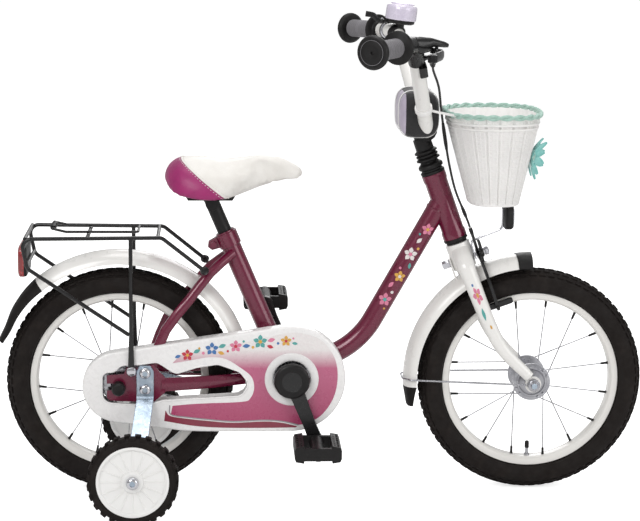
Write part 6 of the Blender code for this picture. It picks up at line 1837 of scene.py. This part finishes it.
def flower():
    share = (FLOWER_Z - BASKET_BOTTOM) / (BASKET_TOP - BASKET_BOTTOM)
    front_top, front_low = TOP_X + TOP_LENGTH, LOW_X + LOW_LENGTH
    slope = Vector((front_top - front_low, 0, BASKET_TOP - BASKET_BOTTOM)).normalized()
    normal = Vector((slope.z, 0, -slope.x))
    spot = at(front_low + (front_top - front_low) * share, 0, FLOWER_Z) - normal * 0.0006
    spot, normal = spot + Vector((0, -0.010, 0)), (normal + Vector((0, -0.45, 0))).normalized()
    slope = normal.cross(LEFT).normalized()
    side = slope.cross(normal)
    bm = bmesh.new()
    for index in range(PETALS):
        turn = 2 * math.pi * index / PETALS
        ahead = slope * math.cos(turn) + side * math.sin(turn)
        petal(bm, spot, ahead, ahead.cross(normal), normal, 0.0055 if index % 2 else 0.0030)
    button = [(0.0080, 0.0), (0.0086, 0.0060), (0.0078, 0.0082), (0.0052, 0.0096), (0.0015, 0.0102)]
    add_lathe(bm, button, 0.0012, spot, normal, 24, 1, steps=3)
    felt = Finish("mint_felt", srgb(142, 210, 204), 0.85, 0.0, Sheen_Weight=0.4, Sheen_Roughness=0.5)
    felt.drift(120, 5, srgb(124, 196, 191), srgb(160, 222, 216))
    felt.wear(400, 3, 0.78, 0.92)
    felt.relief(felt.noise(1500, 4), 0.0003, 0.6)
    return piece("flower_cloth", bm, [felt.material, bpy.data.materials["mint_cord"]], "steering",
                 ["basket_flower"], 50)


flower()
print("flower across", round(2000 * (PETAL_START + PETAL_LENGTH)), "mm")

# %% [markdown]
# The fork has a crown round the steerer and two blades that narrow and sweep forwards to flat tabs at the
# axle. Each blade is one sweep whose oval section shrinks on the way down. One blade carries a small blossom.

# %% Fork
AXLE_X, TAB_RADIUS, TAB_FACE = 0.633, 0.0125, 0.048


def blade_size(share):
    """Half the blade's width and half its depth, at a share of its length."""
    return 0.0100 - 0.0042 * max(0, share - 0.4) / 0.6, 0.0138 - 0.0055 * max(0, share - 0.35) / 0.65


def blade_path(side):
    places = [head(-0.020) + LEFT * side * 0.010, head(-0.036) + LEFT * side * 0.0315,
              head(-0.062) + LEFT * side * 0.0405,
              head(-0.168) + STEER_AHEAD * 0.0075 + LEFT * side * 0.0435,
              FRONT_AXLE + Vector((-0.006, side * 0.0455, 0.011))]
    return smooth(places, 8)


def fork():
    bm = bmesh.new()
    crown = [(0.0130, 0.0424), (0.0166, 0.0420), (0.0178, 0.0408), (0.0184, 0.0220), (0.0188, 0.0010),
             (0.0184, 0.0)]
    add_turned(bm, crown, head(-0.0086), -STEER_UP, 48)
    add_tube(bm, [head(-0.010), head(0.112)], 0.0127, 32)
    for side in (-1, 1):
        path = blade_path(side)
        sections = []
        for index in range(len(path)):
            wide, deep = blade_size(index / (len(path) - 1))
            sections.append(circle(wide, 28, deep))
        add_sweep(bm, path, sections, LEFT)
        turns = [2 * math.pi * i / 36 for i in range(36)]
        tab = [(AXLE_X + TAB_RADIUS * math.cos(a), TYRE_RADIUS + TAB_RADIUS * math.sin(a)) for a in turns]
        levels = ((0.0440, -0.0006), (0.0446, 0.0), (0.0474, 0.0), (TAB_FACE, -0.0006))
        add_loft(bm, [[at(x, side * y, z) for x, z in offset(tab, grow)] for y, grow in levels])
    return piece("fork_full", bm, white_spray, "steering", ["fork"])


fork()
blade = blade_path(-1)


def blade_surface(u, v, height):
    share = 0.47 + u / 0.20
    index = share * (len(blade) - 1)
    low = int(index)
    centre = blade[low].lerp(blade[low + 1], index - low)
    ahead = (blade[low + 1] - blade[low]).normalized()
    across = LEFT.cross(ahead).normalized()
    wide, deep = blade_size(share)
    lean = math.asin(max(-1, min(1, v / deep)))
    return centre - LEFT * (wide * math.cos(lean) + 0.0001 + height) + across * v


stickers("fork_stickers", [
    ("blossom", 0.020, 0.000, 0.0062, 0, "rose gold"), ("leaf", 0.029, 0.001, 0.0090, 10, "teal"),
    ("dot", 0.011, 0.002, 0.0015, 0, "blue"), ("dot", 0.043, -0.001, 0.0014, 0, "gold"),
], blade_surface, "steering")
print("fork blade", round(sum((b - a).length for a, b in zip(blade, blade[1:])), 3), "m long")

# %% [markdown]
# Two thin wires hold the front fender. They run from eyes at the axle round the back of the fender in one
# piece, like the real stay, so a single path with softened corners makes both.

# %% Fender stay
STAY_RADIUS = 0.0015


def fender_stay():
    back = FRONT_AXLE + outward(math.radians(179)) * (FRONT_FENDER + 0.0022)
    out = TAB_FACE + GAP + 0.0020
    near = FRONT_AXLE + Vector((-0.0105, 0, 0))
    corners = [near - LEFT * out, back + Vector((0.012, -FENDER_HALF - 0.0042, 0)),
               back + Vector((0, -0.016, 0)), back + Vector((0, 0.016, 0)),
               back + Vector((0.012, FENDER_HALF + 0.0042, 0)), near + LEFT * out]
    bm = bmesh.new()
    add_tube(bm, rounded(corners, 0.006, 5), STAY_RADIUS, 12, UP)
    for side in (-1, 1):
        eye = soften([(0.0062, 0), (0.0095, 0), (0.0095, 0.0032), (0.0062, 0.0032)], 0.0008, 2)
        add_ring(bm, eye, FRONT_AXLE + LEFT * side * (TAB_FACE + GAP), LEFT * side, 40)
        nut = soften([(0.0030, 0.0034), (0.0092, 0.0036), (0.0092, 0.0092), (0.0078, 0.0102),
                      (0.0052, 0.0104), (0.0048, 0.0130), (0.0020, 0.0136)], 0.0006, 2, False)
        add_turned(bm, nut, FRONT_AXLE + LEFT * side * TAB_FACE, LEFT * side, 40)
    return piece("fender_stay_wire", bm, steel, "steering", ["front_fender_stay"])


fender_stay()
print("stay wire", round(2000 * STAY_RADIUS, 1), "mm")

# %% [markdown]
# The calliper's arms keep their solids. Its bolt carries a bent chrome strap with the front reflector: a
# black cup and a clear prismatic lens. The prism pattern is a relief of two crossed waves on the lens, and
# the same waves darken the lens's colour in a grid, as painted shading of the facets. Bright nuts close the
# bolt at both ends.

# %% Calliper and reflector
for node in ("calliper_right", "calliper_left"):
    dress(node, rod_black, 0.0005)
dress("reflector_bracket", chrome, 0.0004)
dress("front_reflector", black_moulding, 0.0008)


def prismatic(name, colour, shade):
    made = Finish(name, colour, 0.12, 0.0, Coat_Weight=1.0, Coat_Roughness=0.03)
    facet_relief_and_painted_shade = made.maths("MAXIMUM", made.waves(330, "Y"), made.waves(330, "Z"))
    # The same waves darken the colour in a grid: painted shading of the prism facets.
    made.colour(made.mix(made.spread(facet_relief_and_painted_shade, 0.0, 1.0, 0.3, 1.0), colour, shade))
    made.wear(150, 4, 0.08, 0.2)
    return made.relief(facet_relief_and_painted_shade, 0.0004, 0.7).material


REFLECTOR_X, REFLECTOR_Z, LENS_WIDE, LENS_TALL = 0.5860, 0.4280, 0.0236, 0.0173
start = at(REFLECTOR_X + 0.0010 + GAP + 0.0118, 0, REFLECTOR_Z)
bm = bmesh.new()
add_loft(bm, [[start + Vector((depth, y, z)) for y, z in oval(LENS_WIDE * grow, LENS_TALL * grow, 0.55, 40)]
              for depth, grow in ((0.0, 1.0), (0.0014, 1.0), (0.0021, 0.97), (0.0024, 0.90))])
piece("reflector_lens", bm, prismatic("clear_lens", srgb(226, 228, 230), srgb(176, 180, 186)), "steering")
bm = bmesh.new()
nut = [(0.0020, 0.0360), (0.0062, 0.0362), (0.0066, 0.0372), (0.0066, 0.0408), (0.0052, 0.0424),
       (0.0020, 0.0430)]
add_lathe(bm, nut, 0.0006, BRAKE_BOLT, STEER_AHEAD, 6)
rear_nut = [(0.0020, -0.0330), (0.0066, -0.0326), (0.0066, -0.0216), (0.0062, -0.0210), (0.0020, -0.0208)]
add_lathe(bm, rear_nut, 0.0006, BRAKE_BOLT, STEER_AHEAD, 6)
piece("calliper_nuts", bm, chrome, "steering")
print("reflector lens", round(2000 * LENS_WIDE), "by", round(2000 * LENS_TALL), "mm")

# %% [markdown]
# The brake cable is a fixed length of stiff outer casing. It leaves the lever's barrel, drops in front of the
# head tube in one easy curve, and ends in the calliper's barrel, so its bends stay wide. Two sleeves slide on
# it. It is a curve with a round section, along the engineering model's own route.

# %% Brake cable
CABLE_RADIUS = 0.0018
cable_start = CABLE_BARREL + CABLE_WAY * 0.0163
cable_end = BRAKE_BOLT + STEER_AHEAD * 0.0250 - LEFT * 0.020 + STEER_UP * 0.0469
cable_path = smooth([
    cable_start, cable_start + CABLE_WAY * 0.012, at(0.4760, -0.0740, 0.6320), at(0.4830, -0.0480, 0.5960),
    at(0.4900, -0.0400, 0.5550), at(0.4975, -0.0360, 0.5150), at(0.5080, -0.0330, 0.4740),
    at(0.5225, -0.0270, 0.4400), cable_end + STEER_UP * 0.010, cable_end], 4)
curve = bpy.data.curves.new("brake_cable_casing", "CURVE")
curve.dimensions = "3D"
curve.bevel_depth = CABLE_RADIUS
curve.bevel_resolution = 6
curve.use_fill_caps = True
spline = curve.splines.new("POLY")
spline.points.add(len(cable_path) - 1)
for point, place in zip(spline.points, cable_path):
    point.co = (*place, 1)
curve.materials.append(rod_black)
casing = bpy.data.objects.new("brake_cable_casing", curve)
bpy.context.scene.collection.objects.link(casing)
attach(casing, "steering")
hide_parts("brake_cable")

sleeves = bmesh.new()
for first, last in ((14, 18), (27, 30)):
    part = cable_path[first:last + 1]
    radii = [CABLE_RADIUS + (0.0010 if 0 < index < len(part) - 1 else 0.0003) for index in range(len(part))]
    add_sweep(sleeves, part, [circle(radius, 16) for radius in radii])
sleeve = piece("cable_sleeves", sleeves, black_moulding, "steering")

# %% [markdown]
# The carrier is bent from black rod. It is drawn again as smooth round rod, with the same corners as its
# solid: two long sides, cross bars, and legs that end in flattened eyes with a bright bolt.

# %% Carrier
RACK_TOP, RACK_ROD, RACK_LEG_X, RACK_FOOT = 0.406, 0.003, 0.0195, 0.1995
RACK_FRONT_X, RACK_REAR_X, RACK_FRONT_HALF, RACK_REAR_HALF = 0.066, -0.143, 0.0545, 0.0665
EYE_X, EYE_HALF, EYE_Z = 0.130, 0.0515, 0.352
LAMP_BAR_X, LAMP_BAR_Z, PLATE_FACE = -0.1345, 0.3628, 0.0563


def carrier():
    bm = bmesh.new()
    mid = RACK_TOP - RACK_ROD
    for side in (-1, 1):
        tab, inner = at(EYE_X, side * EYE_HALF, EYE_Z), at(0.1275, side * 0.0455, 0.3475)
        corners = [tab, at(RACK_FRONT_X, side * RACK_FRONT_HALF, mid),
                   at(RACK_REAR_X, side * RACK_REAR_HALF, mid), at(-0.134, side * RACK_REAR_HALF, 0.3585),
                   at(0.0165, side * 0.0625, 0.2560)]
        add_tube(bm, rounded(corners, 0.013, 8), RACK_ROD, 16, LEFT)
        eye = [(0.0020, -0.0036), (0.0062, -0.0034), (0.0062, 0.0034), (0.0020, 0.0036)]
        add_lathe(bm, eye, 0.0008, tab, (inner - tab).normalized(), 32)
        leg_y = 0.0585 + 0.0010 + GAP * 2 + RACK_ROD
        path = rounded([at(RACK_LEG_X, side * 0.0575, mid), at(RACK_LEG_X, side * leg_y, 0.262),
                        at(RACK_LEG_X, side * leg_y, RACK_FOOT)], 0.03, 6)
        sections = []
        for point in path:
            flat = 1.0 if point.z > 0.215 else 0.62
            sections.append(circle(RACK_ROD * (2 - flat) * (1.25 if flat < 1 else 1), 16, RACK_ROD * flat))
        add_sweep(bm, path, sections, AHEAD)
        depth = leg_y - PLATE_FACE
        bolt = [(0.0050, 0.0), (0.0050, depth - 0.0022), (0.0074, depth - 0.0016), (0.0076, depth + 0.0010),
                (0.0064, depth + 0.0030), (0.0030, depth + 0.0037)]
        foot = at(RACK_LEG_X, side * PLATE_FACE, RACK_FOOT)
        add_lathe(bm, bolt, 0.0006, foot, LEFT * side, 32, 1)
    for x in (-0.137, -0.045, 0.060):
        share = (x - RACK_REAR_X) / (RACK_FRONT_X - RACK_REAR_X)
        half = RACK_REAR_HALF + (RACK_FRONT_HALF - RACK_REAR_HALF) * share
        add_tube(bm, [at(x, -half, mid), at(x, half, mid)], RACK_ROD * 0.95, 14)
    lamp_bar = [at(LAMP_BAR_X, y, LAMP_BAR_Z) for y in (-0.066, 0.066)]
    add_tube(bm, lamp_bar, RACK_ROD * 0.9, 14)
    return piece("carrier_rods", bm, [rod_black, chrome], "frame", ["rear_rack"])


def carrier_clamp():
    hinge, wire, half = at(-0.098, 0, 0.4130), 0.0020, 0.032
    lie = RACK_TOP + GAP + wire
    corners = [hinge - LEFT * 0.016, hinge - LEFT * half, at(-0.078, -half, lie), at(0.030, -half, lie),
               at(0.030, half, lie), at(-0.078, half, lie), hinge + LEFT * half, hinge + LEFT * 0.016]
    bm = bmesh.new()
    add_tube(bm, rounded(corners, 0.006, 5), wire, 12, UP)
    turns, points = 9, 162
    coil = []
    for step in range(points + 1):
        a = 2 * math.pi * turns * step / points
        place = (0.0034 * math.cos(a), -0.0205 + 0.041 * step / points, 0.0034 * math.sin(a))
        coil.append(hinge + Vector(place))
    add_tube(bm, coil, 0.0014, 8)
    add_tube(bm, [hinge - LEFT * 0.022, hinge + LEFT * 0.022], 0.0020, 12)
    return piece("carrier_clamp_wire", bm, rod_black, "rack_clamp", ["rack_clamp"])


carrier()
carrier_clamp()
print("carrier top at", RACK_TOP, "m")

# %% [markdown]
# The rear lamp is a black housing with a red lens that stands out of it. The lens has the same prismatic
# relief as the reflector, and the same painted shading of the facets in a darker red, under a clear coat.

# %% Rear lamp
LAMP_WIDE, LAMP_TALL = 0.041, 0.024
bm = bmesh.new()
face = LAMP_BAR_X - RACK_ROD * 0.9 - GAP
for levels, kind in ((((0.0, 0.90), (0.0012, 0.98), (0.0024, 1.0), (0.0080, 1.0), (0.0088, 0.97)), 0),
                     (((0.0040, 1.03), (0.0106, 1.02), (0.0124, 0.94), (0.0132, 0.80)), 1)):
    rings = []
    for depth, grow in levels:
        outline = oval(LAMP_WIDE * (1 - (1 - grow) * 0.55), LAMP_TALL * grow, 0.35, 48)
        rings.append([at(face - depth, y, LAMP_BAR_Z + z) for y, z in outline])
    add_loft(bm, rings, False, kind)
piece("rear_lamp_full", bm, [black_moulding, prismatic("red_lens", srgb(186, 24, 28), srgb(120, 8, 12))],
      "frame", ["rear_lamp"])
print("lamp", round(2000 * LAMP_WIDE), "by", round(2000 * LAMP_TALL), "mm")

# %% [markdown]
# Training wheel brackets are flat steel, zinc plated. Their bolts get domed heads with a round recess, and
# the rear axle ends in a black plastic cap.

# %% Brackets, bolts and caps
BRACKET_BOLTS = (0.1965, 0.1710)
DOME = ((0.96, 0.0), (1, 0.15), (0.97, 0.55), (0.80, 0.85), (0.52, 1), (0.44, 1), (0.42, 0.55), (0.10, 0.50))


def round_bolt(bm, place, out, radius, height, sides=40):
    """A domed head: its rim, its dome and a round recess."""
    add_turned(bm, [(radius * wide, height * tall) for wide, tall in DOME], place, out, sides)


for side, word in ((-1, "right"), (1, "left")):
    dress("training_bracket_" + word, zinc, 0.0008, 30)
    bm = bmesh.new()
    for z in BRACKET_BOLTS:
        round_bolt(bm, at(0.040, side * 0.0601, z), LEFT * side, 0.0088, 0.0064)
    round_bolt(bm, at(TRAINER_X, side * 0.2040, TRAINER_RADIUS), LEFT * side, 0.0096, 0.0084)
    piece("bracket_bolts_" + word, bm, chrome, "frame")

bm = bmesh.new()
cap = [(0.0086, 0.0570), (0.0101, 0.0580), (0.0106, 0.0620), (0.0100, 0.0735), (0.0076, 0.0770),
       (0.0020, 0.0780)]
add_lathe(bm, cap, 0.0012, REAR_AXLE, -LEFT, 40, steps=3)
piece("axle_cap", bm, black_moulding, "frame")
print("bolts on each bracket:", len(BRACKET_BOLTS) + 1)

# %% [markdown]
# Cranks and pedals keep their solids under black paint and plastic. A smooth round cap hides the crank's
# fixing, and rows of low studs on the pedals' bars give grip.

# %% Cranks and pedals
CRANK_LEAN, CRANK_LENGTH = math.radians(21.8), 0.099
STUD_COLUMNS, STUD_ROWS = 7, (0.0245, 0.0300)


def crank_tip(side):
    reach = Vector((math.sin(CRANK_LEAN), 0, -math.cos(CRANK_LEAN))) * CRANK_LENGTH
    return BOTTOM_BRACKET + (reach if side < 0 else -reach)


for side, word in ((-1, "right"), (1, "left")):
    dress("crank_" + word, rod_black, 0.0010, 30)
    dress("pedal_" + word, black_moulding, 0.0010, 30)
    out = LEFT * side
    bm = bmesh.new()
    cover = [(0.0210, -0.0004), (0.0256, 0.0022), (0.0269, 0.0050), (0.0269, 0.0120), (0.0262, 0.0142),
             (0.0236, 0.0156), (0.0160, 0.0162), (0.0150, 0.0154), (0.0040, 0.0154)]
    add_lathe(bm, cover, 0.0012, BOTTOM_BRACKET + out * 0.0620, out, 64, steps=3)
    round_bolt(bm, crank_tip(side) + out * 0.0738, out, 0.0070, 0.0024, 32)
    piece("crank_cap_" + word, bm, black_moulding, "crankset")
    bm = bmesh.new()
    start = crank_tip(side) + out * (0.062 + 0.012 + 0.0026)
    stud = [(0.0018, 0.0), (0.0018, 0.0016), (0.0012, 0.0022)]
    for way, top in ((-1, -1), (-1, 1), (1, -1), (1, 1)):
        for index in range(STUD_COLUMNS):
            for row in STUD_ROWS:
                spot = start + out * (0.010 + index * 0.010) + Vector((way * row, 0, top * 0.0108))
                add_turned(bm, stud, spot, UP * top, 8)
    piece("pedal_studs_" + word, bm, black_moulding, "pedal_" + word)
print("studs on each pedal:", 4 * STUD_COLUMNS * len(STUD_ROWS))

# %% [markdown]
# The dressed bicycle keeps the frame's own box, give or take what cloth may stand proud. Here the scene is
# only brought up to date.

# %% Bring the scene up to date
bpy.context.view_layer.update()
